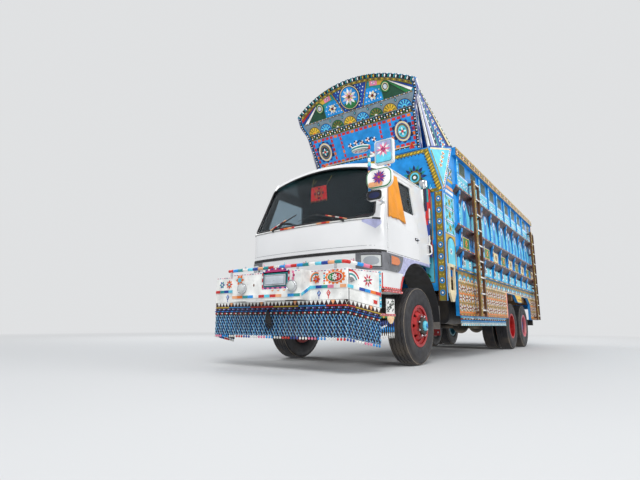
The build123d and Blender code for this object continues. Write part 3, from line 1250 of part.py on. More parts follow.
# Tail step: a shallow painted box across the back
STEP_FRONT = BODY_REAR + REAR_POST_DEPTH + 2 * RUNNING_GAP
TAIL_STEP_Z = 1090
TAIL_STEP_HEIGHT = 170
with BuildPart() as tail_step:
    with Locations((0, at((STEP_FRONT + REAR_REACH) / 2), TAIL_STEP_Z)):
        Box(2 * (BODY_HALF - 50), REAR_REACH - STEP_FRONT, TAIL_STEP_HEIGHT)
keep("tail_step", tail_step.part)

os.makedirs("parts", exist_ok=True)
for name, part in pieces.items():
    export_step(part, f"parts/{name}.step")
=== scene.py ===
import math
import random

import bmesh
import bpy
from mathutils import Matrix, Vector


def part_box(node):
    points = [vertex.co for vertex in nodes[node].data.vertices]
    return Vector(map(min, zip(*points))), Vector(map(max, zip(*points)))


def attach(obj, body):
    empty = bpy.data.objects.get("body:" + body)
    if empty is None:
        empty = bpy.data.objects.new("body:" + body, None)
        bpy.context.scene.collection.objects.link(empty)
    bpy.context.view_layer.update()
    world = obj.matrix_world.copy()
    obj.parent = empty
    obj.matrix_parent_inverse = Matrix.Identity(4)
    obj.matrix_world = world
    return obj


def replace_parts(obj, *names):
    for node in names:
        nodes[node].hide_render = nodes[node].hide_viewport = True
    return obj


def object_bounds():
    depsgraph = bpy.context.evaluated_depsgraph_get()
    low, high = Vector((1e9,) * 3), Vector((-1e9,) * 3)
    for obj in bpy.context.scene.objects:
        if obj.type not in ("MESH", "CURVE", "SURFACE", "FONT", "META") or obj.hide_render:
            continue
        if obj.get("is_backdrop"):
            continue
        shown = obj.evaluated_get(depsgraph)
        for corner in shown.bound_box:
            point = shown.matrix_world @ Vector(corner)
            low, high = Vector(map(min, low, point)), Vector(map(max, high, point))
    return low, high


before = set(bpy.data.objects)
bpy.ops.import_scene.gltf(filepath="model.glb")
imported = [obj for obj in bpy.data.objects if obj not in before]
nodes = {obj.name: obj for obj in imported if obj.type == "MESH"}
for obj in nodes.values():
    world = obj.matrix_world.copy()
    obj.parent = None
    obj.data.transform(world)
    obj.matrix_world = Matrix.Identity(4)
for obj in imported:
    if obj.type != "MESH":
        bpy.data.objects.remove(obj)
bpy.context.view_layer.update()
random.seed(7)

SIDES = (("left", 1), ("right", -1))

# Everything here is in metres. Lengths along Y are given from the front axle.
axle_low, axle_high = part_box("front_axle")
AXLE_Y = (axle_low.y + axle_high.y) / 2


def at(y):
    """A place along the lorry, from its distance behind the front axle."""
    return AXLE_Y + y


def turns(count):
    """Angles evenly round a circle."""
    return [2 * math.pi * k / count for k in range(count)]


def hoop(centre, reach_x, reach_y, count):
    """A level closed path round a centre."""
    x, y, z = centre
    return [(x + reach_x * math.cos(a), y + reach_y * math.sin(a), z) for a in turns(count) + [2 * math.pi]]


def middles(start, end, count):
    """The middles of as many equal parts between two values."""
    return [start + (end - start) * (k + 0.5) / count for k in range(count)]


def mirrored(points, side):
    """Points with their first coordinate on the given side."""
    return [(side * u, v) for u, v in points]


def put_in_scene(name, data):
    piece = bpy.data.objects.new(name, data)
    bpy.context.scene.collection.objects.link(piece)
    return piece


# Paints and other finishes, as colours on screen

COLOURS = {
    "sky": (22, 144, 220), "deep": (18, 62, 150), "navy": (22, 32, 78), "aqua": (96, 204, 228),
    "teal": (22, 142, 146), "white": (240, 240, 236), "cream": (232, 214, 172), "gold": (204, 168, 52),
    "olive": (126, 116, 38), "orange": (234, 118, 34), "red": (206, 36, 34), "crimson": (104, 16, 20),
    "green": (32, 122, 62), "forest": (18, 72, 48), "pink": (232, 128, 162), "magenta": (184, 40, 108),
    "lilac": (166, 172, 212), "purple": (92, 60, 146), "black": (22, 22, 26), "brown": (98, 60, 34),
    "yellow": (244, 196, 52), "ochre": (178, 124, 40), "rim": (176, 18, 26), "peach": (240, 172, 124),
           "grey": (128, 130, 132),
    "silver": (196, 204, 212), "slate": (122, 140, 150), "shade": (44, 12, 16),
}


def linear(colour):
    """Screen colour, 0 to 255, as the renderer's linear colour."""
    parts = [c / 255 for c in colour]
    return [c / 12.92 if c <= 0.04045 else ((c + 0.055) / 1.055) ** 2.4 for c in parts]


class Nodes:
    """A material's node tree, with short ways to add what the finishes here share."""

    def __init__(self, name):
        self.material = bpy.data.materials.new(name)
        self.material.use_nodes = True
        self.tree = self.material.node_tree
        self.shader = self.tree.nodes["Principled BSDF"]
        self.coords = self.tree.nodes.new("ShaderNodeTexCoord").outputs["Object"]

    def add(self, kind, inputs=(), **settings):
        """A new node; a value in inputs is a link if it is a socket, and else a number or colour."""
        node = self.tree.nodes.new(kind)
        for key, value in settings.items():
            setattr(node, key, value)
        for key, value in dict(inputs).items():
            if isinstance(value, bpy.types.NodeSocket):
                self.tree.links.new(value, node.inputs[key])
            else:
                node.inputs[key].default_value = value
        return node

    def noise(self, scale, detail, stretch=None):
        """Noise from 0 to 1, scale in cells a metre, pulled longer along an axis by stretch."""
        coords = self.coords
        if stretch:
            coords = self.add("ShaderNodeMapping", {"Vector": coords, "Scale": stretch}).outputs["Vector"]
        return self.add("ShaderNodeTexNoise",
                        {"Vector": coords, "Scale": scale, "Detail": detail}).outputs["Fac"]

    def levels(self, value, low, high, to_low=0.0, to_high=1.0):
        return self.add("ShaderNodeMapRange", {
            "Value": value, "From Min": low, "From Max": high, "To Min": to_low, "To Max": to_high,
        }).outputs["Result"]

    def times(self, a, b):
        return self.add("ShaderNodeMath", {0: a, 1: b}, operation="MULTIPLY").outputs[0]

    def mix(self, factor, a, b):
        node = self.add("ShaderNodeMix", {"Factor": factor}, data_type="RGBA")
        for index, value in ((6, a), (7, b)):
            if isinstance(value, bpy.types.NodeSocket):
                self.tree.links.new(value, node.inputs[index])
            else:
                node.inputs[index].default_value = (*value, 1.0)
        return node.outputs[2]

    def height(self):
        """How high above the ground a point is at rest, in metres."""
        return self.add("ShaderNodeSeparateXYZ", {"Vector": self.coords}).outputs["Z"]

    def dusty(self, colour, amount, top=1.5):
        """Road dust in patches, thicker towards the ground."""
        low = self.levels(self.height(), top, 0.3)
        patches = self.levels(self.noise(3.5, 6.0), 0.42, 0.72)
        return self.mix(self.times(self.times(low, patches), amount), colour, linear((168, 150, 126)))

    def colour(self, value):
        self.tree.links.new(value, self.shader.inputs["Base Color"])

    def rough(self, low, high, scale=14.0):
        value = self.levels(self.noise(scale, 5.0), 0.3, 0.7, low, high)
        self.tree.links.new(value, self.shader.inputs["Roughness"])

    def bump(self, value, strength, distance):
        node = self.add("ShaderNodeBump", {"Height": value, "Strength": strength, "Distance": distance})
        self.tree.links.new(node.outputs["Normal"], self.shader.inputs["Normal"])

    def set(self, **values):
        for key, value in values.items():
            self.shader.inputs[key.replace("_", " ")].default_value = value


finishes = {}


def paint(name):
    """Brushed gloss enamel in a named colour, a little uneven and chipped."""
    key = "paint_" + name
    if key not in finishes:
        n = Nodes(key)
        base = linear(COLOURS[name])
        light = [min(1, c * 1.14 + 0.006) for c in base]
        dark = [c * 0.80 for c in base]
        colour = n.mix(n.levels(n.noise(7.0, 5.0), 0.35, 0.65), dark, light)
        chips = n.levels(n.noise(52.0, 2.0), 0.70, 0.74)
        colour = n.mix(n.times(chips, 0.45), colour, linear((88, 80, 72)))
        n.colour(n.dusty(colour, 0.15))
        n.rough(0.32, 0.5)
        n.bump(n.noise(38.0, 3.0), 0.12, 0.004)
        n.set(Coat_Weight=0.1, Coat_Roughness=0.2, Specular_IOR_Level=0.35)
        finishes[key] = n.material
    return finishes[key]


def plain_finish(key, colour, low, high, dust=0.5, top=1.5, bump=(60.0, 0.2, 0.003), **values):
    """A finish that is one uneven colour with its own gloss, dust and grain."""
    if key not in finishes:
        n = Nodes(key)
        base = linear(colour)
        mixed = n.mix(n.levels(n.noise(11.0, 4.0), 0.35, 0.65), [c * 0.82 for c in base],
                      [c * 1.12 for c in base])
        n.colour(n.dusty(mixed, dust, top))
        n.rough(low, high)
        n.bump(n.noise(bump[0], 4.0), bump[1], bump[2])
        n.set(**values)
        finishes[key] = n.material
    return finishes[key]


# The cab's form, as in the CAD, with Y from the front axle
BELT_Z, ROOF_Z = 1.84, 2.81
CAB_NOSE, CAB_BACK = -1.17, 0.56
FRONT_RADIUS, FRONT_ANGLE = 5.555, 0.16412
CORNER_X, CORNER_Y, CORNER_RADIUS = 0.87, -0.8684, 0.23
SIDE_LONG = 1.4284
CAB_SECTIONS = (
    # at the belt, then at the roof: arc radius, arc centre Y, half angle, corner centre X and Y, half width
    (FRONT_RADIUS, 4.385, FRONT_ANGLE, CORNER_X, CORNER_Y, 1.10),
    (4.6005, 3.8305, 0.17710, 0.77, -0.4716, 1.00),
)
# Above the belt the sides lean in and the front leans back, by these shares of the rise
SIDE_LEAN, FRONT_LEAN = 0.103, 0.4124
# The front and the roof bow by these times the square of X
FRONT_BOW, ROOF_BOW = 0.09, 0.13
# The lining starts inside these
LINING_REACH, LINING_BACK, LINING_TOP = 0.21, 0.54, 2.775


def cab_white():
    """White gloss outside and a dark lining inside, told apart by how deep a point lies under the skin."""
    if "cab_white" not in finishes:
        n = Nodes("cab_white")

        def math_node(operation, *values):
            return n.add("ShaderNodeMath", dict(enumerate(values)), operation=operation).outputs[0]

        place = n.add("ShaderNodeSeparateXYZ", {"Vector": n.coords})
        rise = math_node("MAXIMUM", math_node("SUBTRACT", place.outputs["Z"], BELT_Z), 0.0)
        x = math_node("ABSOLUTE", place.outputs["X"])
        bend_x = math_node("SUBTRACT", CORNER_X, n.times(rise, SIDE_LEAN))
        front_x = math_node("MINIMUM", x, bend_x)
        front = math_node("ADD", n.times(n.times(front_x, front_x), FRONT_BOW), n.times(rise, FRONT_LEAN))
        corner_y = math_node("ADD", front, AXLE_Y + CAB_NOSE + CORNER_RADIUS)
        deep_x = math_node("MAXIMUM", math_node("SUBTRACT", x, bend_x), 0.0)
        deep_y = math_node("MAXIMUM", math_node("SUBTRACT", corner_y, place.outputs["Y"]), 0.0)
        reach = math_node("SQRT", math_node("ADD", n.times(deep_x, deep_x), n.times(deep_y, deep_y)))
        inside = math_node("LESS_THAN", reach, LINING_REACH)
        inside = n.times(inside, math_node("LESS_THAN", place.outputs["Y"], AXLE_Y + LINING_BACK))
        roof = math_node("SUBTRACT", LINING_TOP, n.times(n.times(x, x), ROOF_BOW))
        inside = n.times(inside, math_node("LESS_THAN", place.outputs["Z"], roof))
        base = linear((239, 239, 239))
        shade = n.mix(n.levels(n.noise(1.6, 3.0), 0.3, 0.7), [c * 0.95 for c in base], base)
        n.colour(n.mix(inside, n.dusty(shade, 0.14, 1.5), linear((14, 14, 18))))
        n.rough(0.16, 0.26, 5.0)
        n.set(Coat_Weight=0.6, Coat_Roughness=0.05)
        finishes["cab_white"] = n.material
    return finishes["cab_white"]


def chassis_black():
    return plain_finish("chassis_black", (34, 33, 35), 0.5, 0.8, 0.35, 1.2)


def cast_metal():
    return plain_finish("cast_metal", (58, 54, 50), 0.5, 0.8, 0.7, 1.2, (90.0, 0.5, 0.004), Metallic=0.6)


def steel():
    return plain_finish("steel", (188, 190, 194), 0.25, 0.45, 0.25, 1.2, (120.0, 0.15, 0.002), Metallic=1.0)


def chrome():
    return plain_finish("chrome", (214, 216, 220), 0.06, 0.16, 0.15, 1.2, (30.0, 0.03, 0.002), Metallic=1.0)


def rubber():
    return plain_finish("rubber", (27, 27, 33), 0.5, 0.7, 0.08, 0.9, (160.0, 0.25, 0.0015))


def tread_rubber():
    return plain_finish("tread_rubber", (44, 44, 48), 0.75, 0.9, 0.22, 1.0, (160.0, 0.3, 0.0015))


def dull_plastic():
    return plain_finish("dull_plastic", (30, 30, 33), 0.45, 0.65, 0.2, 1.5, (220.0, 0.25, 0.001))


def timber():
    if "timber" not in finishes:
        n = Nodes("timber")
        grain = n.noise(9.0, 6.0, (14.0, 1.0, 14.0))
        colour = n.mix(n.levels(grain, 0.3, 0.7), linear((104, 74, 46)), linear((168, 128, 84)))
        n.colour(n.mix(n.times(n.levels(n.noise(2.0, 4.0), 0.4, 0.7), 0.5), colour, linear((130, 122, 110))))
        n.rough(0.6, 0.85)
        n.bump(grain, 0.4, 0.004)
        finishes["timber"] = n.material
    return finishes["timber"]


def glass():
    """Clear glass with a green shade band along the windscreen's top."""
    if "glass" not in finishes:
        n = Nodes("glass")
        smears = n.levels(n.noise(5.0, 5.0), 0.4, 0.75)
        clear = n.mix(n.times(smears, 0.12), linear((184, 198, 206)), linear((176, 180, 178)))
        n.colour(n.mix(n.levels(n.height(), 2.56, 2.63), clear, linear((96, 146, 150))))
        n.rough(0.01, 0.04, 5.0)
        n.set(Transmission_Weight=0.97, IOR=1.12, Specular_IOR_Level=0.2)
        finishes["glass"] = n.material
    return finishes["glass"]


def lens(name, colour):
    """Moulded lamp lens with fine upright ribs."""
    key = "lens_" + name
    if key not in finishes:
        n = Nodes(key)
        ribs = n.add("ShaderNodeTexWave",
                     {"Vector": n.coords, "Scale": 28.0, "Distortion": 0.2}).outputs["Fac"]
        base = linear(colour)
        n.colour(n.mix(n.levels(ribs, 0.2, 0.8), [c * 0.72 for c in base], base))
        n.rough(0.08, 0.18)
        n.bump(ribs, 0.5, 0.003)
        n.set(Coat_Weight=0.8, Coat_Roughness=0.05)
        finishes[key] = n.material
    return finishes[key]


def woven(name, colour, scale=260.0):
    """Plain woven cloth: crossed threads, slub and a soft sheen."""
    key = "woven_" + name
    if key not in finishes:
        n = Nodes(key)
        warp = n.add("ShaderNodeTexWave", {"Vector": n.coords, "Scale": scale, "Distortion": 1.0},
                     bands_direction="Y").outputs["Fac"]
        weft = n.add("ShaderNodeTexWave", {"Vector": n.coords, "Scale": scale, "Distortion": 1.0},
                     bands_direction="Z").outputs["Fac"]
        weave = n.times(warp, weft)
        base = linear(colour)
        shade = n.mix(n.levels(n.noise(6.0, 5.0), 0.3, 0.7), [c * 0.80 for c in base],
                      [min(1, c * 1.12) for c in base])
        n.colour(n.mix(n.times(weave, 0.35), shade, [min(1, c * 1.3) for c in base]))
        n.rough(0.75, 0.95)
        n.bump(weave, 0.5, 0.001)
        n.set(Sheen_Weight=0.08)
        finishes[key] = n.material
    return finishes[key]


# Shapes: closed solids gathered into one mesh

class Shapes:
    """Solids that end up as one piece, each with its own finish."""

    def __init__(self, name, body, slot):
        self.name, self.body, self.slot = name, body, slot
        self.points, self.faces, self.marks, self.smooth, self.finishes = [], [], [], [], []

    def mark(self, finish):
        """The number of a finish on this piece; a colour's name stands for that paint."""
        if isinstance(finish, str):
            finish = paint(finish)
        if finish not in self.finishes:
            self.finishes.append(finish)
        return self.finishes.index(finish)

    def solid(self, points, faces, finish, smooth=False):
        start = len(self.points)
        self.points += [tuple(p) for p in points]
        self.faces += [[start + i for i in face] for face in faces]
        self.marks += [self.mark(finish)] * len(faces)
        self.smooth += [smooth] * len(faces)

    def box(self, low, high, finish):
        (x0, y0, z0), (x1, y1, z1) = low, high
        points = [(x, y, z) for z in (z0, z1) for y in (y0, y1) for x in (x0, x1)]
        self.solid(points,
                   [(0, 2, 3, 1), (4, 5, 7, 6), (0, 1, 5, 4), (2, 6, 7, 3), (0, 4, 6, 2), (1, 3, 7, 5)],
                   finish)

    def loft(self, rings, finish, smooth=True, looped=False):
        """Rings of as many points each, joined in turn, with flat ends or the last joined to the first."""
        count = len(rings[0])
        points = [p for ring in rings for p in ring]
        faces = []
        for r in range(len(rings) if looped else len(rings) - 1):
            low, high = r * count, (r + 1) % len(rings) * count
            for i in range(count):
                j = (i + 1) % count
                faces.append((low + i, low + j, high + j, high + i))
        if not looped:
            faces += [tuple(reversed(range(count))), tuple(range((len(rings) - 1) * count, len(points)))]
        self.solid(points, faces, finish, smooth)

    def tube(self, path, radius, finish, sides):
        """A round bar along a path; radius is a number, or one for each point."""
        path = [Vector(p) for p in path]
        radii = radius if isinstance(radius, (list, tuple)) else [radius] * len(path)
        rings, side = [], None
        for i, point in enumerate(path):
            along = (path[min(i + 1, len(path) - 1)] - path[max(i - 1, 0)]).normalized()
            if side is None:
                side = along.orthogonal().normalized()
            side = (side - along * side.dot(along)).normalized()
            other = along.cross(side)
            rings.append([point + (side * math.cos(a) + other * math.sin(a)) * radii[i]
                          for a in turns(sides)])
        self.loft(rings, finish)

    def ball(self, centre, radius, finish, sides, rows, squash=(1, 1, 1)):
        rings = []
        for r in range(1, rows):
            tilt = math.pi * r / rows
            ring_radius, z = radius * math.sin(tilt), -radius * math.cos(tilt)
            rings.append([
                (centre[0] + squash[0] * ring_radius * math.cos(a),
                 centre[1] + squash[1] * ring_radius * math.sin(a), centre[2] + squash[2] * z)
                for a in turns(sides)
            ])
        self.loft(rings, finish)

    def turned(self, centre, axis, profile, finish, sides, smooth=True):
        """A profile of distances along an axis and radii, turned about it, closed if it ends at its start."""
        axis = Vector(axis).normalized()
        side = axis.orthogonal().normalized()
        other = axis.cross(side)
        looped = profile[0] == profile[-1]
        rings = []
        for along, radius in profile[:-1] if looped else profile:
            rings.append([
                Vector(centre) + axis * along + (side * math.cos(a) + other * math.sin(a)) * radius
                for a in turns(sides)
            ])
        self.loft(rings, finish, smooth, looped)

    def make(self):
        mesh = bpy.data.meshes.new(self.name)
        mesh.from_pydata([Vector(p) for p in self.points], [], self.faces)
        for finish in self.finishes:
            mesh.materials.append(finish)
        mesh.polygons.foreach_set("material_index", self.marks)
        mesh.polygons.foreach_set("use_smooth", self.smooth)
        mesh.validate()
        piece = put_in_scene(self.name, mesh)
        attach(piece, self.body)
        return piece


LEVEL = 0.0022
SUNK = 0.002


class Board:
    """A flat face to paint on, with u across it and v up it, in metres from its origin."""

    def __init__(self, shapes, origin, across, up, flip=False):
        self.shapes = shapes
        self.origin = Vector(origin)
        self.across, self.up = Vector(across).normalized(), Vector(up).normalized()
        self.flip = flip
        self.out = self.across.cross(self.up) * (-1 if flip else 1)

    def place(self, u, v, height=0.0):
        return self.origin + self.across * u + self.up * v + self.out * height

    def shape(self, outline, colour, level=1):
        """A flat closed shape that stands a hair above what lies under it, in a named colour or a finish."""
        area = sum(a[0] * b[1] - b[0] * a[1] for a, b in zip(outline, outline[1:] + outline[:1]))
        if (area < 0) != self.flip:
            outline = outline[::-1]
        count = len(outline)
        points = [self.place(u, v, height) for height in (-SUNK, level * LEVEL) for u, v in outline]
        faces = [tuple(reversed(range(count))), tuple(range(count, 2 * count))]
        faces += [(i, (i + 1) % count, count + (i + 1) % count, count + i) for i in range(count)]
        self.shapes.solid(points, faces, colour)

    def strip(self, u0, v0, u1, v1, colour, level=1):
        self.shape([(u0, v0), (u1, v0), (u1, v1), (u0, v1)], colour, level)

    def line(self, start, end, width, colour, level):
        """A painted line of a set width."""
        du, dv = end[0] - start[0], end[1] - start[1]
        length = math.hypot(du, dv)
        nu, nv = -dv / length * width / 2, du / length * width / 2
        self.shape([
            (start[0] - nu, start[1] - nv), (end[0] - nu, end[1] - nv),
            (end[0] + nu, end[1] + nv), (start[0] + nu, start[1] + nv),
        ], colour, level)

    def oval(self, u, v, ru, rv, colour, level, sides, turn=0.0):
        self.shape([
            (u + ru * math.cos(a) * math.cos(turn) - rv * math.sin(a) * math.sin(turn),
             v + ru * math.cos(a) * math.sin(turn) + rv * math.sin(a) * math.cos(turn))
            for a in turns(sides)
        ], colour, level)

    def nested(self, u, v, rows):
        """Ovals round one point, from rows of half width, half height, colour, level and sides."""
        for ru, rv, colour, level, sides in rows:
            self.oval(u, v, ru, rv, colour, level, sides)

    def petals(self, u, v, inner, outer, count, colours, level, width=0.8, turn=0.0):
        """Leaf shapes round a point."""
        for k in range(count):
            a = 2 * math.pi * k / count + turn
            half = width * math.pi * (inner + outer) / 2 / count
            middle = (inner + outer) / 2
            points = []
            for along, side in ((inner, 0), (middle * 0.85, -half), (middle * 1.15, -half), (outer, 0),
                                (middle * 1.15, half), (middle * 0.85, half)):
                points.append((u + along * math.cos(a) - side * math.sin(a),
                               v + along * math.sin(a) + side * math.cos(a)))
            self.shape(points, colours[k % len(colours)], level)

    def flower(self, u, v, radius, petals, heart, count, level, ground=None):
        """A petalled flower, on a round ground if one is named."""
        if ground:
            self.oval(u, v, radius * 1.12, radius * 1.12, ground, level, 20)
            level += 1
        self.petals(u, v, radius * 0.2, radius, count, petals, level)
        self.oval(u, v, radius * 0.34, radius * 0.34, heart[0], level + 1, 12)
        self.oval(u, v, radius * 0.18, radius * 0.18, heart[-1], level + 2, 8)

    def rings(self, u, v, radius, colours, level, sides):
        """Nested discs, from the outside in."""
        for k, colour in enumerate(colours):
            r = radius * (1 - k / len(colours))
            self.oval(u, v, r, r, colour, level + k, sides)

    def dashes(self, start, end, count, width, colours, level, fill=0.72):
        """Short bars end to end along a line."""
        for k in range(count):
            a = [s + (e - s) * (k + (1 - fill) / 2) / count for s, e in zip(start, end)]
            b = [s + (e - s) * (k + (1 + fill) / 2) / count for s, e in zip(start, end)]
            self.line(a, b, width, colours[k % len(colours)], level)

    def dots(self, start, end, count, radius, colours, level, sides=7):
        for k, (u, v) in enumerate(zip(*(middles(s, e, count) for s, e in zip(start, end)))):
            self.oval(u, v, radius, radius, colours[k % len(colours)], level, sides)

    def frame(self, u0, v0, u1, v1, width, ground, colours, pitch, level):
        """A border with a ground colour and short bars or dots on it."""
        for a, b in (((u0, v0), (u1, v0)), ((u1, v0), (u1, v1)), ((u1, v1), (u0, v1)), ((u0, v1), (u0, v0))):
            if ground:
                self.line(a, b, width, ground, level)
            count = max(2, round(math.hypot(b[0] - a[0], b[1] - a[1]) / pitch))
            self.dashes(a, b, count, width * 0.55, colours, level + 1)

    def fan(self, u, v, radius, start, end, colours, level=1, inner=0.0, steps=1):
        """Rays that spread from a point between two directions, in degrees."""
        count = len(colours)
        for k in range(count):
            a0 = math.radians(start + (end - start) * k / count)
            a1 = math.radians(start + (end - start) * (k + 1) / count)
            angles = [a0 + (a1 - a0) * s / steps for s in range(steps + 1)]
            points = [(u + radius * math.cos(a), v + radius * math.sin(a)) for a in angles]
            if inner:
                points += [(u + inner * math.cos(a), v + inner * math.sin(a)) for a in reversed(angles)]
            else:
                points.append((u, v))
            self.shape(points, colours[k], level)

    def shell(self, u, v, radius, colours, level):
        """A half round with ribs, flat side down."""
        self.fan(u, v, radius, 0, 180, [colours[0]], level, 0, 14)
        self.fan(u, v, radius * 0.9, 6, 174, [colours[k % 2 + 1] for k in range(11)], level + 1,
                 radius * 0.45, 1)
        self.fan(u, v, radius * 0.36, 0, 180, [colours[2]], level + 2, 0, 8)
        self.fan(u, v, radius * 0.2, 0, 180, [colours[3]], level + 3, 0, 6)

def side_board(shapes, side, x, y=None, z=0.0):
    """A board on the lorry's left (side 1) or right (-1) that faces outwards, with u towards the rear."""
    return Board(shapes, (side * x, 0 if y is None else at(y), z), (0, 1, 0), (0, 0, 1), side < 0)


def outer_board(shapes, side, x, y, z=0.0):
    """A board on one side that faces outwards, with u from left to right as seen from there."""
    return Board(shapes, (side * x, at(y), z), (0, side, 0), (0, 0, 1))


def front_board(shapes, x, y, z=0.0):
    """A board that faces forwards, with u towards the lorry's left."""
    return Board(shapes, (x, at(y), z), (1, 0, 0), (0, 0, 1))


def back_board(shapes, y, z=0.0):
    """A board that faces backwards, with u towards the lorry's right."""
    return Board(shapes, (0, at(y), z), (-1, 0, 0), (0, 0, 1))


def dress(finish, *names):
    """Give CAD nodes one finish."""
    for name in names:
        mesh = nodes[name].data
        mesh.materials.clear()
        mesh.materials.append(finish)


# Finishes of the frame's own nodes
dress(chassis_black(), "chassis_frame", "fuel_tank", "battery_box", "radiator", "springs", "rear_bumper",
      "exhaust")
dress(cast_metal(), "front_axle", "left_knuckle", "right_knuckle", "rear_axles", "engine", "driveline")
dress(cab_white(), "cab_shell", "left_door", "right_door")
dress(glass(), "windscreen", "left_door_glass", "right_door_glass")
dress(plain_finish("dark_glass", (24, 27, 28), 0.06, 0.14, 0.1, 1.2, (8.0, 0.02, 0.001)), "rear_window")
dress(dull_plastic(), "dashboard", "front_mudguards")
dress(woven("seat", (116, 34, 40)), "seats")
dress(lens("clear", (220, 224, 222)), "headlamps", "fog_lamps")
dress(paint("white"), "front_bumper", "cab_steps", "left_mirrors")
dress(chrome(), "bumper_pipe", "air_intake")
dress(paint("sky"), "left_side_wall", "right_side_wall", "headboard", "crown_front", "crown_sides",
      "crown_deck", "rear_frame", "tailgate", "tail_step", "top_bars")
dress(timber(), "cargo_floor")
dress(steel(), "bumper_fringe", "side_fringes")
dress(paint("brown"), "ladders")
dress(paint("cream"), "side_racks")
dress(woven("cloth", (240, 150, 22)), "window_cloth")
for side, _ in SIDES:
    dress(paint("rim"), f"{side}_front_rim", f"{side}_middle_rims")
    dress(paint("aqua"), f"{side}_rear_rims")
    dress(rubber(), f"{side}_front_tyre", f"{side}_middle_tyres", f"{side}_rear_tyres")


# Body walls: painted bays between posts and ledges
BODY_HALF = 1.30
SKIRT_Z, FLOOR_Z = 0.69, 1.24
LEDGES = (2.840, 2.178, 1.780)
WALL_FRONT = 1.24
LEDGE_FRONT, LEDGE_OUT = 1.20, 1.36
CORNICE_FRONT, CORNICE_Z = 1.29, 3.40
POSTS = [1.44 + 0.668 * k for k in range(10)]
LADDERS = (2.26, 7.70)
LADDER_CLEAR = 0.26
CLEAR_POSTS = [post for post in POSTS if all(abs(post - ladder) >= LADDER_CLEAR for ladder in LADDERS)]
# Each wheel arch's front edge, and its rear edge at the top and at the foot
ARCHES = ((4.50, 5.31, 5.60), (6.02, 6.83, 7.10))
BODY_REAR = 7.97


def pinwheel(board, u, v, r, level, turn):
    """Four white blades with black backs, round a small heart."""
    for k in range(4):
        a = math.pi / 2 * k + turn
        tip = (u + r * math.cos(a), v + r * math.sin(a))
        side = (u + 0.75 * r * math.cos(a + 0.8), v + 0.75 * r * math.sin(a + 0.8))
        back = (u + 0.75 * r * math.cos(a - 0.8), v + 0.75 * r * math.sin(a - 0.8))
        board.shape([(u, v), tip, side], "white", level)
        board.shape([(u, v), back, tip], "black", level)
    board.oval(u, v, r * 0.2, r * 0.2, "red", level + 1, 7)


def blossom_panel(board, u0, v0, u1, v1, ground, petals, heart, edge="white", level=1):
    """A framed panel with one blossom and a leaf in each corner."""
    u, v = (u0 + u1) / 2, (v0 + v1) / 2
    ru, rv = (u1 - u0) / 2, (v1 - v0) / 2
    board.strip(u0, v0, u1, v1, edge, level)
    board.strip(u0 + 0.015, v0 + 0.015, u1 - 0.015, v1 - 0.015, ground, level + 1)
    for su in (-1, 1):
        for sv in (-1, 1):
            turn = math.atan2(sv, su)
            board.oval(u + su * ru * 0.62, v + sv * rv * 0.62, 0.05, 0.018, "green", level + 2, 8, turn)
    board.flower(u, v, min(ru, rv) * 0.66, petals, heart, 8, level + 2)


def dotted(board, u0, v0, u1, v1, pitch, radius, colours, level, inside=None):
    """Dots in staggered rows over an area."""
    for r, v in enumerate(middles(v0, v1, max(1, round((v1 - v0) / pitch)))):
        count = max(1, round((u1 - u0) / pitch))
        for k in range(count):
            u = u0 + (u1 - u0) * (k + (0.25 if r % 2 else 0.75)) / count
            if inside is None or inside(u, v):
                board.oval(u, v, radius, radius, colours[(k + r) % len(colours)], level, 6)


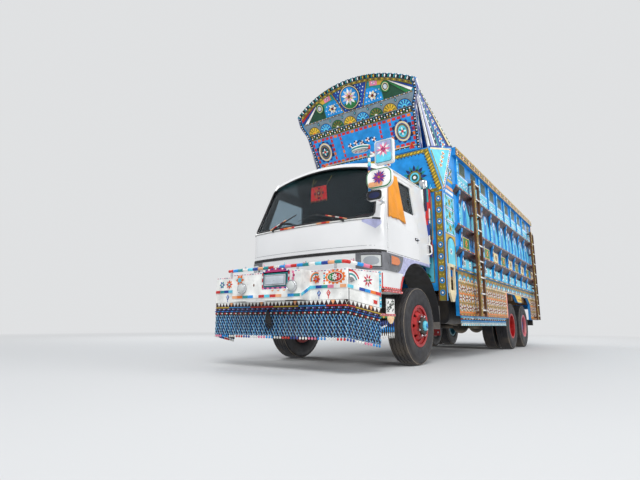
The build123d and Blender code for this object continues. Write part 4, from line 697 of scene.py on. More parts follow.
def wall_bays(board, faces):
    """The painted bays of one side wall, from the cornice down to the band, with navy triangles at the tops
    of the tiers as painted shadows of the brackets under the ledges.
    """
    edges = [WALL_FRONT] + POSTS + [BODY_REAR]
    for k, (a, b) in enumerate(zip(edges, edges[1:])):
        u0, u1 = at(a + 0.045), at(b - 0.045)
        if u1 - u0 < 0.15:
            board.strip(u0, 1.48, u1, 1.66, "aqua")
            continue
        u, half = (u0 + u1) / 2, (u1 - u0) / 2
        board.strip(u0, 2.88, u1, 3.12, "aqua")
        for j in range(4):
            board.flower(u + half * (j - 1.5) / 2.1, 3.0, 0.055, ["white"], ["sky"], 6, 2)
        board.strip(u0, 3.125, u1, 3.14, "white")
        vent = min(0.15, half * 0.7)
        board.strip(u - vent, 3.16, u + vent, 3.375, "olive", 2)
        board.strip(u - vent + 0.02, 3.18, u + vent - 0.02, 3.36, "forest", 3)
        for j in range(4):
            board.strip(u - vent + 0.03, 3.20 + 0.04 * j, u + vent - 0.03, 3.21 + 0.04 * j, "black", 4)
        for j, x in enumerate(middles(u0, u1, 3)):
            board.strip(x - half * 0.29, 2.24, x + half * 0.29, 2.69, "sky" if j == 1 else "aqua", 1)
        board.strip(u - 0.007, 2.22, u + 0.007, 2.50, "deep", 2)
        # Navy triangles in the tier's upper corners: painted shadows of the brackets under the ledge
        for su in (-1, 1):
            board.shape([(u + su * half, 2.72), (u + su * half * 0.25, 2.72), (u + su * half, 2.44)],
                        "navy", 2)
        board.shape([(u - 0.07, 2.60), (u, 2.52), (u + 0.07, 2.60), (u, 2.70)], "white", 3)
        board.shape([(u - 0.035, 2.60), (u, 2.56), (u + 0.035, 2.60), (u, 2.65)], "deep", 4)
        board.strip(u0, 1.815, u1, 2.05, "sky", 1)
        wide = min(0.17, half - 0.02)
        board.strip(u - wide, 1.83, u + wide, 2.03, "yellow", 2)
        board.strip(u - wide + 0.016, 1.845, u + wide - 0.016, 2.015, "green" if k % 2 else "cream", 3)
        board.flower(u, 1.93, 0.07, ["yellow", "orange"] if k % 2 else ["green", "olive"], ["red"], 8, 4)
        # Navy triangles in the upper corners: painted shadows of the brackets under the ledge above
        for su in (-1, 1):
            board.shape([(u + su * half, 2.06), (u + su * (wide + 0.02), 2.06), (u + su * half, 1.90)],
                        "navy", 2)
        board.strip(u0, 1.475, u1, 1.66, "aqua", 1)
        for x in middles(u0, u1, max(1, round(2 * half / 0.26))):
            board.flower(x, 1.565, 0.075, ["white"], ["black", "white"], 9, 2)
            # A navy triangle over each rosette: painted shadow under the ledge above
            board.shape([(x - 0.10, 1.67), (x + 0.10, 1.67), (x, 1.62)], "navy", 3)
    for post in CLEAR_POSTS:
        u = at(post)
        for low, high in ((2.87, 3.39), (2.21, 2.57), (1.81, 1.91), (1.47, 1.51)):
            faces.strip(u - 0.03, low, u + 0.03, high, "aqua")
            count = max(1, round((high - low) / 0.07))
            faces.dots((u, low), (u, high), count, 0.014, ["white", "navy"], 2)


def wall_base(board, faces):
    """The lower part of one side wall: arches on olive, then rows of pinwheels on ochre."""
    u0, u1 = at(WALL_FRONT), at(BODY_REAR)
    board.strip(u0, 1.25, u1, 1.415, "olive")
    board.strip(u0, 1.245, u1, 1.262, "cream", 2)
    for k, u in enumerate(middles(u0, u1, round((u1 - u0) / 0.21))):
        board.fan(u, 1.268, 0.088, 0, 180, ["sky" if k % 2 else "aqua"], 2, 0, 8)
        board.fan(u, 1.268, 0.05, 0, 180, ["yellow" if k % 2 else "white"], 3, 0, 6)
        board.fan(u, 1.268, 0.025, 0, 180, ["red"], 4, 0, 5)
        board.oval(u + 0.105, 1.375, 0.022, 0.022, "orange", 2, 7)
    faces.strip(u0, 1.425, u1, 1.455, "brown")
    faces.dashes((u0, 1.44), (u1, 1.44), round((u1 - u0) / 0.11), 0.016, ["gold", "white", "gold", "green"],
                 2)
    for a, b in ((WALL_FRONT, ARCHES[0][0]), (ARCHES[1][2], BODY_REAR)):
        w0, w1 = at(a), at(b)
        board.strip(w0, SKIRT_Z, w1, FLOOR_Z, "ochre")
        for z, colour in ((1.215, "olive"), (1.045, "orange"), (0.895, "olive"), (0.745, "orange")):
            board.strip(w0, z - 0.008, w1, z + 0.008, colour, 2)
            board.dots((w0, z + 0.022), (w1, z + 0.022), round((w1 - w0) / 0.09), 0.011, ["yellow", "white"],
                       2, 6)
        for row, z in enumerate((1.13, 0.975, 0.82)):
            for k, u in enumerate(middles(w0, w1, round((w1 - w0) / 0.165))):
                pinwheel(board, u, z, 0.070, 2, 0.4 if (k + row) % 2 else 0.0)
        board.strip(w0, SKIRT_Z, w1, 0.715, "brown", 3)
        board.dashes((w0, 0.703), (w1, 0.703), round((w1 - w0) / 0.08), 0.012, ["red", "yellow"], 4)
    (a1, h1, j1), (a2, h2, j2) = ARCHES
    board.strip(at(a1) - 0.10, SKIRT_Z, at(a1) - 0.005, FLOOR_Z, "peach", 3)
    board.strip(at(a1) - 0.022, SKIRT_Z, at(a1) - 0.005, FLOOR_Z, "pink", 4)
    board.shape([(at(j1), 1.09), (at(a2), 1.09), (at(a2), FLOOR_Z), (at(h1), FLOOR_Z)], "yellow", 2)
    board.dots((at(j1), 1.15), (at(a2), 1.15), 6, 0.02, ["green", "red"], 3)
    board.shape([(at(h2), FLOOR_Z), (at(j2), 1.09), (at(j2), FLOOR_Z)], "yellow", 2)


def wall_front(board):
    """The wall's front bay: three framed flowers over an arched false door."""
    u0, u1 = at(0.765), at(1.215)
    for k in range(3):
        z = 1.965 + 0.215 * k
        blossom_panel(board, u0, z, u1, z + 0.20, "aqua", ["yellow", "olive"], ["green"])
    board.strip(u0, 1.435, u1, 1.95, "gold")
    outline = [(u0 + 0.04, 1.45), (u1 - 0.04, 1.45), (u1 - 0.04, 1.78)]
    middle, reach = (u0 + u1) / 2, (u1 - u0) / 2 - 0.04
    outline += [(middle + reach * math.cos(a), 1.78 + 0.14 * math.sin(a))
                for a in turns(16)[1:8]]
    outline.append((u0 + 0.04, 1.78))
    board.shape(outline, "black", 2)
    inner = [(middle + (u - middle) * 0.86, 1.46 + (v - 1.45) * 0.93) for u, v in outline]
    board.shape(inner, "aqua", 3)
    board.flower(middle - 0.03, 1.68, 0.06, ["white", "cream"], ["deep"], 8, 4)
    board.strip(u0, 1.385, at(WALL_FRONT), 1.43, "brown", 2)
    for z, colour in ((2.64, "white"), (2.72, "peach"), (2.79, "sky"), (2.85, "gold")):
        reach = (z - 2.62) * 0.53
        board.shape([(at(0.83) + reach, z), (at(1.20), z), (at(1.20), z + 0.05),
                     (at(0.86) + reach, z + 0.05)], colour, 2)
    blossom_panel(board, at(0.98), 2.93, at(1.20), 3.10, "sky", ["white", "gold"], ["red"])


def wall_ledges(art, side):
    """Soffits painted near-black as painted shade, with crimson and black ovals; trimmed edges; a scalloped
    hem in navy and painted shade; and navy gussets, on each ledge of one side.
    """
    length = BODY_REAR - LEDGE_FRONT
    for z in LEDGES:
        soffit = Board(art, (side * LEDGE_OUT, at(LEDGE_FRONT), z - 0.015), (0, 1, 0),
                       (side * 0.065, 0, 0.095), side < 0)
        # The soffit's ground is near-black: painted shade under the ledge
        soffit.strip(0, -0.112, length, -0.002, "shade")
        soffit.strip(0, -0.112, length, -0.098, "black", 2)
        for k, u in enumerate(middles(0, length, round(length / 0.167))):
            soffit.oval(u, -0.055, 0.03, 0.02, "crimson" if k % 2 else "black", 2, 8)
        edge = side_board(art, side, LEDGE_OUT, LEDGE_FRONT, z)
        edge.strip(0, -0.013, length, 0.013, "brown")
        edge.dashes((0, 0), (length, 0), round(length / 0.08), 0.014, ["red", "cream", "olive"], 2)
        # Scalloped hem under the ledge, its fans in navy and near-black: painted shade
        hem = side_board(art, side, BODY_HALF, WALL_FRONT, z - 0.11)
        for k, u in enumerate(middles(0, length - 0.04, round((length - 0.04) / 0.084))):
            hem.fan(u, 0, 0.036, 180, 360, ["navy" if k % 2 else "shade"], 3, 0, 5)
        for post in CLEAR_POSTS:
            gusset = Board(art, (side * 1.325, at(post), z - 0.26), (0, 1, 0), (side * 0.03, 0, 0.26),
                           side < 0)
            # The gusset's face is painted navy: a real bracket whose dark colour is painted shadow, with a
            # white lozenge
            gusset.strip(-0.033, 0, 0.033, 0.16, "navy")
            gusset.shape([(-0.02, 0.09), (0, 0.05), (0.02, 0.09), (0, 0.13)], "white", 2)


def cornice_art(art, side):
    length = BODY_REAR - CORNICE_FRONT
    face = side_board(art, side, LEDGE_OUT, CORNICE_FRONT, CORNICE_Z)
    face.strip(0, 0.0, length, 0.145, "brown")
    face.strip(0, 0.012, length, 0.03, "gold", 2)
    face.strip(0, 0.115, length, 0.133, "gold", 2)
    for k, u in enumerate(middles(0, length, round(length / 0.167))):
        face.shape([(u - 0.06, 0.072), (u, 0.036), (u + 0.06, 0.072), (u, 0.108)],
                   "gold" if k % 2 else "cream", 2)
        face.oval(u, 0.072, 0.02, 0.016, "forest" if k % 2 else "red", 3, 7)
        # A short black bar beside each diamond: painted shadow of a dentil
        face.strip(u + 0.075, 0.04, u + 0.092, 0.104, "black", 2)
    rear = side_board(art, side, 1.32, 8.0153, SKIRT_Z)
    lattice(rear, -0.04, 0, 0.04, 2.84, "brown", ["gold", "cream", "green"])


def lattice(board, u0, v0, u1, v1, ground, colours, level=1):
    """Crossed bars up a board, with a dot in each opening."""
    width = u1 - u0
    board.strip(u0, v0, u1, v1, ground, level)
    count = max(1, round((v1 - v0) / width / 1.4))
    step = (v1 - v0) / count
    for k in range(count):
        low, high = v0 + step * k, v0 + step * (k + 1)
        board.line((u0, low), (u1, high), width * 0.12, colours[0], level + 1)
        board.line((u1, low), (u0, high), width * 0.12, colours[0], level + 1)
        board.oval((u0 + u1) / 2, high - 0.001, width * 0.14, width * 0.14,
                   colours[1 + k % (len(colours) - 1)], level + 2, 8)


def ladder_art(art, side):
    """Lattice on the broad boards, plain paint on bars and rungs, and the narrow rail painted near-black as
    painted shade.
    """
    for ladder in LADDERS:
        board = side_board(art, side, BODY_HALF + 0.105, ladder, SKIRT_Z)
        board.strip(-0.19, 0, -0.08, 2.465, "olive")
        lattice(board, -0.182, 0.01, -0.088, 2.455, "brown", ["gold", "white", "green", "sky"], 2)
        # The narrow rail is painted near-black: painted shade, with white marks where the rungs meet it
        board.strip(0.147, 0, 0.188, 2.465, "shade")
        for k in range(9):
            z = 0.11 + 0.29 * k
            rung = side_board(art, side, BODY_HALF + 0.099, ladder, SKIRT_Z)
            rung.strip(-0.078, z - 0.013, 0.143, z + 0.013, "white")
            board.strip(0.150, z - 0.016, 0.185, z + 0.016, "white", 2)


for name, side in SIDES:
    art = Shapes(name + "_wall_art", "truck", "body_paint")
    wall = side_board(art, side, BODY_HALF)
    raised = side_board(art, side, BODY_HALF + 0.025)
    wall_bays(wall, raised)
    wall_base(wall, raised)
    wall_front(wall)
    art.make()
    trim = Shapes(name + "_wall_trim", "truck", "body_paint")
    wall_ledges(trim, side)
    cornice_art(trim, side)
    ladder_art(trim, side)
    trim.make()


# Crown: the leaning board, its sides and the panel below it
CROWN_UP = Vector((0, -0.51, 0.98)).normalized()
ARCH_CENTRE = -0.8485
ARCH_RADIUS = 2.2685
RIM = 0.06
FACET_EDGE = 1.06


def arch_top(u, inset):
    """How far up the crown's arched edge is, moved in by inset."""
    return ARCH_CENTRE + math.sqrt((ARCH_RADIUS - inset) ** 2 - u * u)


def crown_lower(board):
    """The crown's lower panel: bordered squares with ringed flowers beside a plain middle."""
    board.shape([(-0.955, 0.07), (0.955, 0.07), (1.01, 0.61), (-1.01, 0.61)], "sky", 1)
    dash = ["red", "orange", "red", "red"]
    board.dashes((-0.98, 0.575), (0.98, 0.575), 22, 0.042, dash, 2)
    board.dashes((-0.95, 0.125), (0.95, 0.125), 21, 0.040, dash, 2)
    for s in (-1, 1):
        board.dashes((s * 0.945, 0.16), (s * 0.985, 0.55), 5, 0.040, dash, 2)
        board.dashes((s * 0.575, 0.16), (s * 0.585, 0.55), 5, 0.040, dash, 2)
        board.dashes((s * 0.385, 0.16), (s * 0.395, 0.55), 5, 0.036, dash, 2)
        u, v = s * 0.775, 0.35
        board.petals(u, v, 0.10, 0.20, 12, ["deep", "navy"], 2, 0.9)
        board.nested(u, v, (
            (0.135, 0.165, "cream", 3, 22), (0.105, 0.132, "deep", 4, 20), (0.092, 0.117, "olive", 5, 20),
            (0.074, 0.096, "aqua" if s > 0 else "navy", 6, 18),
        ))
        board.petals(u, v, 0.012, 0.07, 8, ["white", "teal"], 7)
        board.oval(u, v, 0.022, 0.022, "red", 8, 8)
    for k in range(5):
        u = -0.24 + 0.12 * k
        board.flower(u, 0.345 + 0.022 * (k % 2), 0.05, ["navy", "white"], ["orange", "white"], 6, 2)
        if k < 4:
            board.oval(u + 0.06, 0.31 + 0.07 * (k % 2), 0.035, 0.012, "navy", 2, 8, 0.6 if k % 2 else -0.6)
    board.shape([(-0.955, 0.012), (0.955, 0.012), (0.957, 0.088), (-0.957, 0.088)], "black", 2)
    board.dots((-0.95, 0.035), (0.95, 0.035), 42, 0.011, ["white", "aqua", "white", "gold"], 3)
    board.dots((-0.95, 0.066), (0.95, 0.066), 42, 0.010, ["sky", "white", "green", "white"], 3)
    board.strip(-0.955, 0.088, 0.955, 0.100, "cream", 3)
    for s in (-1, 1):
        board.shape([(s * 0.875 - 0.065, 0.03), (s * 0.875 + 0.065, 0.03), (s * 0.875, 0.145)], "orange", 6)
        board.shape([(s * 0.875 - 0.048, 0.04), (s * 0.875 + 0.048, 0.04), (s * 0.875, 0.125)], "red", 8)


def crown_middle(board):
    """The dark dotted band and the row of scallops above it."""
    board.shape([(-1.01, 0.612), (1.01, 0.612), (1.02, 0.70), (-1.02, 0.70)], "black", 2)
    board.strip(-1.01, 0.606, 1.01, 0.620, "olive", 3)
    board.dots((-1.0, 0.642), (1.0, 0.642), 40, 0.013, ["white", "green", "white", "gold"], 3)
    board.dots((-1.0, 0.676), (1.0, 0.676), 40, 0.013, ["gold", "white", "teal", "white"], 3)
    board.shape([(-1.02, 0.70), (1.02, 0.70), (1.10, 0.885), (1.10, 0.915), (-1.10, 0.915), (-1.10, 0.885)],
                "slate", 1)
    sets = {
        "gold": ("gold", "olive", "yellow", "orange"), "blue": ("sky", "deep", "aqua", "navy"),
        "green": ("green", "forest", "olive", "white"),
    }
    order = ["gold", "blue", "green", "gold", "blue", "green", "gold", "blue"]
    for k, kind in enumerate(order):
        u = -0.90 + 0.257 * k
        board.fan(u, 0.715, 0.128, 0, 180, ["black"], 2, 0, 14)
        board.shell(u, 0.716, 0.118, sets[kind], 3)
        if k:
            board.oval(u - 0.128, 0.86, 0.02, 0.028, "black", 2, 8)
            board.oval(u - 0.128, 0.86, 0.01, 0.016, "aqua", 3, 6)
    board.strip(-1.08, 0.905, 1.08, 0.925, "navy", 3)
    board.dashes((-1.08, 0.915), (1.08, 0.915), 54, 0.008, ["white", "gold"], 4)


def crown_upper(board):
    """The arched field: rays, dotted panels and a flower medallion in the middle."""
    steps = [1.1 - 2.2 * k / 24 for k in range(25)]
    board.shape([(-1.10, 0.92), (1.10, 0.92)] + [(u, arch_top(u, RIM)) for u in steps], "teal", 1)
    middle = [(-0.19, 0.928), (0.19, 0.928), (0.36, arch_top(0.36, RIM))]
    middle += [(u, arch_top(u, RIM)) for u in (0.24, 0.12, 0, -0.12, -0.24)] + [(-0.36, arch_top(0.36, RIM))]
    board.shape(middle, "deep", 2)

    def in_middle(u, v):
        return abs(u) < 0.17 + (v - 0.93) * 0.4 and v < arch_top(u, RIM + 0.06)

    dotted(board, -0.36, 0.94, 0.36, 1.36, 0.055, 0.011, ["white", "aqua"], 3, in_middle)
    for s in (-1, 1):
        board.line((s * 0.19, 0.928), (s * 0.365, 1.325), 0.02, "black", 4)
        board.line((s * 0.19, 0.928), (s * 0.365, 1.325), 0.008, "gold", 5)
        hill = ((0.20, 0.93), (0.56, 0.93), (0.57, 1.04), (0.50, 1.13), (0.42, 1.17), (0.31, 1.18))
        board.shape(mirrored(hill, s), "sky", 3)
        dotted(board, min(s * 0.22, s * 0.55), 0.94, max(s * 0.22, s * 0.55), 1.14, 0.06, 0.010, ["white"], 4)
        board.petals(s * 0.40, 1.045, 0.02, 0.075, 6, ["white", "cream"], 6, 0.9)
        board.nested(s * 0.40, 1.045, ((0.085, 0.05, "navy", 5, 16), (0.024, 0.024, "crimson", 7, 9)))
        board.shape(mirrored(((0.38, 1.20), (0.62, 1.16), (0.66, 1.27), (0.40, 1.31)), s), "gold", 3)
        board.shape(mirrored(((0.40, 1.20), (0.52, 1.18), (0.54, 1.28), (0.41, 1.30)), s), "pink", 4)
        board.flower(s * 0.465, 1.24, 0.035, ["lilac", "white"], ["magenta"], 6, 5)
        board.shape(mirrored(((0.66, 1.24), (0.95, 0.93), (0.58, 0.93), (0.58, 1.10)), s), "forest", 3)
        for r, colour in ((0.086, "black"), (0.078, "green"), (0.060, "cream"), (0.050, "forest"),
                          (0.034, "silver")):
            board.oval(s * 0.655, 1.115, r, r * 1.12, colour, 5 + round((0.09 - r) * 60), 18)
        ends = [(0.80, arch_top(0.80, RIM + 0.05)), (1.10, 1.085), (1.10, 1.045), (1.10, 1.005),
                (1.10, 0.965),
                (1.06, 0.93), (0.96, 0.93)]
        rays = {1: ("white", "teal", "olive", "deep", "white", "green"),
                -1: ("cream", "green", "orange", "red", "deep", "white")}
        for a, b, colour in zip(ends, ends[1:], rays[s]):
            board.shape([(s * 0.56, 1.30), (s * a[0], a[1]), (s * b[0], b[1])], colour, 4)
            board.line((s * 0.56, 1.30), (s * b[0], b[1]), 0.006, "black", 5)
    ends = [math.degrees(math.acos(u / (ARCH_RADIUS - RIM))) for u in (1.09, -1.09)]
    board.fan(0, ARCH_CENTRE, ARCH_RADIUS - RIM, *ends, ["olive"] * 30, 6, ARCH_RADIUS - RIM - 0.045, 1)
    r = ARCH_RADIUS - RIM - 0.022
    for k, a in enumerate(map(math.radians, middles(*ends, 44))):
        board.oval(r * math.cos(a), ARCH_CENTRE + r * math.sin(a), 0.014, 0.014, "gold" if k % 2 else "brown",
                   7, 7)
    v = 1.135
    for ru, rv, colour in ((0.20, 0.205, "black"), (0.188, 0.194, "cream"), (0.176, 0.182, "navy"),
                           (0.162, 0.168, "sky")):
        board.oval(-0.02, v, ru, rv, colour, 7 + round((0.2 - ru) * 80), 28)
    board.fan(-0.02, v - 0.06, 0.125, 190, 350, ["green"], 11, 0, 10)
    board.petals(-0.02, v + 0.01, 0.03, 0.145, 10, ["white", "silver"], 12, 0.72, 0.31)
    board.petals(-0.02, v + 0.01, 0.02, 0.085, 10, ["pink", "gold"], 13, 0.7)
    board.oval(-0.02, v + 0.01, 0.026, 0.026, "brown", 14, 10)


def crown_rim(board, art):
    """Beads round the crown's raised edge."""
    first, last = (math.acos(u / ARCH_RADIUS) for u in (1.165, -1.165))
    r = ARCH_RADIUS - RIM / 2
    board.fan(0, ARCH_CENTRE, ARCH_RADIUS - 0.002, math.degrees(first) + 0.3, math.degrees(last) - 0.3,
              ["black"] * 40, 1, ARCH_RADIUS - RIM + 0.002, 1)
    for k, a in enumerate(middles(first, last, 74)):
        u, v = r * math.cos(a), ARCH_CENTRE + r * math.sin(a)
        stretch = "gold" if 20 < k < 30 or 46 < k < 56 else "white"
        colour = [stretch, "teal", "black"][k % 3]
        board.oval(u, v, 0.024, 0.011, colour, 4, 8, a)
        u, v = (ARCH_RADIUS - 0.002) * math.cos(a), ARCH_CENTRE + (ARCH_RADIUS - 0.002) * math.sin(a)
        art.ball(board.place(u, v, -0.02), 0.013, ["black", "teal", stretch][k % 3], 6, 4)
    for s in (-1, 1):
        for (u0, v0), (u1, v1) in (((1.14, 0.90), (1.14, 1.08)), ((1.05, 0.70), (1.14, 0.90)),
                                   ((0.99, 0.02), (1.05, 0.70))):
            board.line((s * u0, v0), (s * u1, v1), 0.054, "black", 1)
            length = math.hypot(u1 - u0, v1 - v0)
            board.dots((s * u0, v0), (s * u1, v1), max(3, round(length / 0.045)), 0.012,
                       ["white", "sky", "white", "lilac"], 2)
            board.line((s * (u0 + 0.023), v0), (s * (u1 + 0.023), v1), 0.008, "lilac", 3)
        edge = ((1.02, 0.005), (1.08, 0.70), (1.17, 0.90), (1.17, 1.09))
        for (u0, v0), (u1, v1) in zip(edge, edge[1:]):
            start, end = board.place(s * u0, v0, -0.037), board.place(s * u1, v1, -0.037)
            side_face = Board(art, start, end - start, board.out, s < 0)
            length = (end - start).length
            side_face.strip(0.002, -0.035, length - 0.002, 0.035, "lilac")
            side_face.strip(0.002, -0.035, length - 0.002, -0.022, "white", 2)
            side_face.strip(0.002, 0.026, length - 0.002, 0.035, "black", 2)
            side_face.dashes((0.0, 0.002), (length, 0.002), max(2, round(length / 0.085)), 0.022,
                             ["purple", "white", "teal"], 2)


def facet(shapes, a, b, c, flip):
    """A board on a triangle from a, with b across from it and c above; also where c lies on it."""
    a, b, c = Vector(a), Vector(b), Vector(c)
    across = (b - a).normalized()
    up = (c - a) - across * (c - a).dot(across)
    board = Board(shapes, a, across, up, flip)
    return board, (b - a).length, ((c - a).dot(across), up.length)


def crown_side_art(art, side):
    foot = (side * 1.12, at(0.6886), 3.374)
    head = (side * 1.12, at(0.1866), 4.324)
    tail = (side * 1.30, at(1.29), 3.5455)
    knee = (side * 1.30, at(0.801), 2.632)
    board, reach, top = facet(art, foot, tail, head, side < 0)

    def band(g0, g1, colour, level):
        points = [(top[0] * f + (reach * (1 - f)) * g, top[1] * f)
                  for f, g in ((0.03, g0), (0.97, g0), (0.97, g1), (0.03, g1))]
        board.shape(points, colour, level)

    board.shape([(0.01, 0.005), (reach - 0.02, 0.005), (top[0] + 0.004, top[1] - 0.02)], "deep", 1)
    for g0, g1, colour in (
        (0.0, 0.06, "white"), (0.06, 0.12, "black"), (0.12, 0.24, "lilac"), (0.24, 0.30, "white"),
        (0.30, 0.40, "navy"), (0.40, 0.47, "teal"), (0.90, 0.99, "cream"), (0.84, 0.90, "black"),
    ):
        band(g0, g1, colour, 2)
    for k in range(10):
        f = 0.05 + 0.09 * k
        board.oval(top[0] * f + reach * (1 - f) * 0.35, top[1] * f, 0.012, 0.018, "white", 3, 7)
        if f < 0.75:
            board.flower(top[0] * f + reach * (1 - f) * 0.65, top[1] * f, 0.07 * (1 - f), ["white", "aqua"],
                         ["orange"], 6, 2)
    # The facet's front edge is painted navy as painted shade, with a white line along it
    edge = Board(art, foot, Vector(head) - Vector(foot), (-side, 0, 0), side < 0)
    edge.strip(0.004, 0.002, FACET_EDGE, 0.038, "navy")
    edge.strip(0.004, 0.002, FACET_EDGE, 0.016, "white", 2)
    for k in range(46):
        place = Vector(head).lerp(Vector(tail), (k + 0.5) / 46)
        art.ball(place + Vector((0, 0, 0.002)), 0.014, ["black", "white", "teal"][k % 3], 6, 4)
    lower, reach, top = facet(art, knee, tail, foot, side < 0)
    lower.shape([(0.02, 0.008), (reach - 0.03, 0.008), (top[0], top[1] - 0.012)], "aqua", 1)
    lower.line((0.02, 0.03), (reach - 0.06, 0.03), 0.04, "white", 2)
    lower.dashes((0.02, 0.03), (reach - 0.06, 0.03), 20, 0.018, ["deep", "red", "green"], 3)
    lower.line((0.06, 0.012), (top[0] - 0.01, top[1] - 0.05), 0.03, "olive", 2)
    lower.line((top[0] + 0.02, top[1] - 0.03), (reach - 0.08, 0.035), 0.03, "cream", 2)
    for f in (0.35, 0.5, 0.65, 0.8):
        lower.flower(top[0] * 0.4 + reach * 0.6 * f, top[1] * 0.36, 0.045, ["white", "yellow"], ["red"], 6, 2)


crown = Shapes("crown_art", "truck", "crown_paint")
crown_board = Board(crown, (0, at(0.62), 3.36), (1, 0, 0), CROWN_UP)
crown_lower(crown_board)
crown_middle(crown_board)
crown_upper(crown_board)
rim_board = Board(crown, crown_board.place(0, 0, 0.014), (1, 0, 0), CROWN_UP)
crown_rim(rim_board, crown)
for side in (1, -1):
    crown_side_art(crown, side)
crown.make()

# Headboard: the blue panel that leans to the crown's foot, and the corner posts
headboard_art = Shapes("headboard_art", "truck", "body_paint")
lean = Board(headboard_art, (0, at(0.74), 2.62), (1, 0, 0), (0, -0.12, 0.74))
LEAN_HEIGHT = math.hypot(0.12, 0.74)
lean.shape([(-1.285, 0.01), (1.285, 0.01), (1.10, LEAN_HEIGHT - 0.01), (-1.10, LEAN_HEIGHT - 0.01)], "sky", 1)
for s in (-1, 1):
    lean.line((s * 1.255, 0.03), (s * 1.085, LEAN_HEIGHT - 0.02), 0.085, "olive", 2)
    for k, f in enumerate(middles(0, 1, 14)):
        u, v = s * (1.255 - 0.17 * f), 0.03 + (LEAN_HEIGHT - 0.05) * f
        lean.oval(u, v, 0.036, 0.014, "gold" if k % 2 else "yellow", 3, 8, 0.7)
        lean.oval(u - s * 0.05, v, 0.012, 0.012, "black", 3, 7)
    for r, petals, level in ((0.21, ["navy", "teal"], 2), (0.15, ["deep", "black"], 3)):
        lean.petals(s * 0.86, 0.30, 0.06, r, 16, petals, level, 0.9)
    lean.rings(s * 0.86, 0.30, 0.11, ["olive", "aqua", "forest", "white"], 4, 18)
    lean.flower(s * 0.42, 0.34, 0.12, ["white", "aqua"], ["orange", "red"], 10, 2, "deep")
lean.strip(-1.24, 0.012, 1.24, 0.07, "olive", 3)
lean.strip(-1.10, LEAN_HEIGHT - 0.075, 1.10, LEAN_HEIGHT - 0.015, "olive", 3)
for k, u in enumerate(middles(-1.06, 1.06, 34)):
    lean.oval(u, LEAN_HEIGHT - 0.045, 0.026, 0.012, "gold" if k % 2 else "yellow", 4, 8, 0.5)
    lean.oval(u * 1.1, 0.04, 0.026, 0.012, "gold" if k % 2 else "cream", 4, 8, -0.5)
    lean.oval(u, LEAN_HEIGHT - 0.088, 0.010, 0.010, "black", 3, 6)
upright = front_board(headboard_art, 0, 0.74, 1.06)
for k in range(4):
    u = -1.14 + 0.57 * k
    blossom_panel(upright, u + 0.03, 0.12, u + 0.54, 0.72, "aqua", ["white", "deep"], ["red", "gold"],
                  "olive")
    blossom_panel(upright, u + 0.03, 0.80, u + 0.54, 1.50, "sky", ["yellow", "white"], ["orange", "navy"],
                  "gold")
for s in (-1, 1):
    post = front_board(headboard_art, s * 1.235, 0.70, 0.90)
    post.strip(-0.063, 0, 0.063, 1.715, "olive")
    post.strip(-0.063, 0, -0.048, 1.715, "brown", 2)
    post.strip(0.048, 0, 0.063, 1.715, "brown", 2)
    for k in range(9):
        v = 0.12 + 0.185 * k
        post.nested(0, v,
                    ((0.040, 0.046, "sky", 2, 14), (0.026, 0.030, "navy", 3, 12),
                     (0.016, 0.018, "white", 4, 9)))
        for t in (-1, 1):
            post.oval(t * 0.025, v + 0.092, 0.02, 0.010, "gold", 2, 7, t * 0.8)
headboard_art.make()


# Front bumper: painted plates, a blank number plate, lamps and wrapped tape
BUMPER_Y = -1.73
BOX_Y = -1.90
BOX_HALF = 0.55
BUMPER_HALF = 1.055
BUMPER_END = (1.20, -1.22)
END_FALL = 0.085
TAPE = ["red", "sky", "teal", "white", "aqua", "deep", "peach", "teal", "red", "white", "sky", "pink"]


def rounded(points, radius, steps=5):
    """A path with its inner corners rounded by arcs."""
    points = [Vector(p) for p in points]
    path = [points[0]]
    for a, p, b in zip(points, points[1:], points[2:]):
        u, w = (a - p).normalized(), (b - p).normalized()
        half = u.angle(w) / 2
        reach = radius / math.tan(half)
        centre = p + (u + w).normalized() * (radius / math.sin(half))
        start, end = p + u * reach - centre, p + w * reach - centre
        for k in range(steps + 1):
            path.append(centre + start.slerp(end, k / steps).normalized() * radius)
    return path + [points[-1]]


def spread(path, pitch):
    """Places a set pitch apart along a path, with its ends."""
    places, left = [path[0]], pitch
    for a, b in zip(path, path[1:]):
        length, done = (b - a).length, 0.0
        while length - done > left:
            done += left
            places.append(a + (b - a) * (done / length))
            left = pitch
        left -= length - done
    return places + [path[-1]]


def wrap(shapes, path, radius, pitch, colours):
    """Tape wound round a bar, in lengths of one colour each."""
    places = spread(path, pitch / 3)
    for k in range(0, len(places) - 1, 3):
        piece = places[k:k + 4]
        if len(piece) > 1:
            shapes.tube(piece, radius + 0.0006 * (k % 2), colours[(k // 3) % len(colours)], 10)


def tape_line(board, start, end, width, colours, pitch=0.09, level=3):
    """A stuck-on tape in lengths of colour, with a pale edge."""
    length = math.hypot(end[0] - start[0], end[1] - start[1])
    board.line(start, end, width + 0.008, "white", level)
    board.dashes(start, end, max(1, round(length / pitch)), width, colours, level + 1, 0.98)


def droplet(board, u, v, colour, inner):
    board.shape([(u, v - 0.045), (u + 0.026, v), (u, v + 0.034), (u - 0.026, v)], colour, 2)
    board.shape([(u, v - 0.022), (u + 0.014, v + 0.002), (u, v + 0.02), (u - 0.014, v + 0.002)], "white", 3)
    board.oval(u, v + 0.002, 0.007, 0.010, inner, 4, 7)
    board.line((u, v - 0.045), (u, v - 0.066), 0.006, colour, 2)


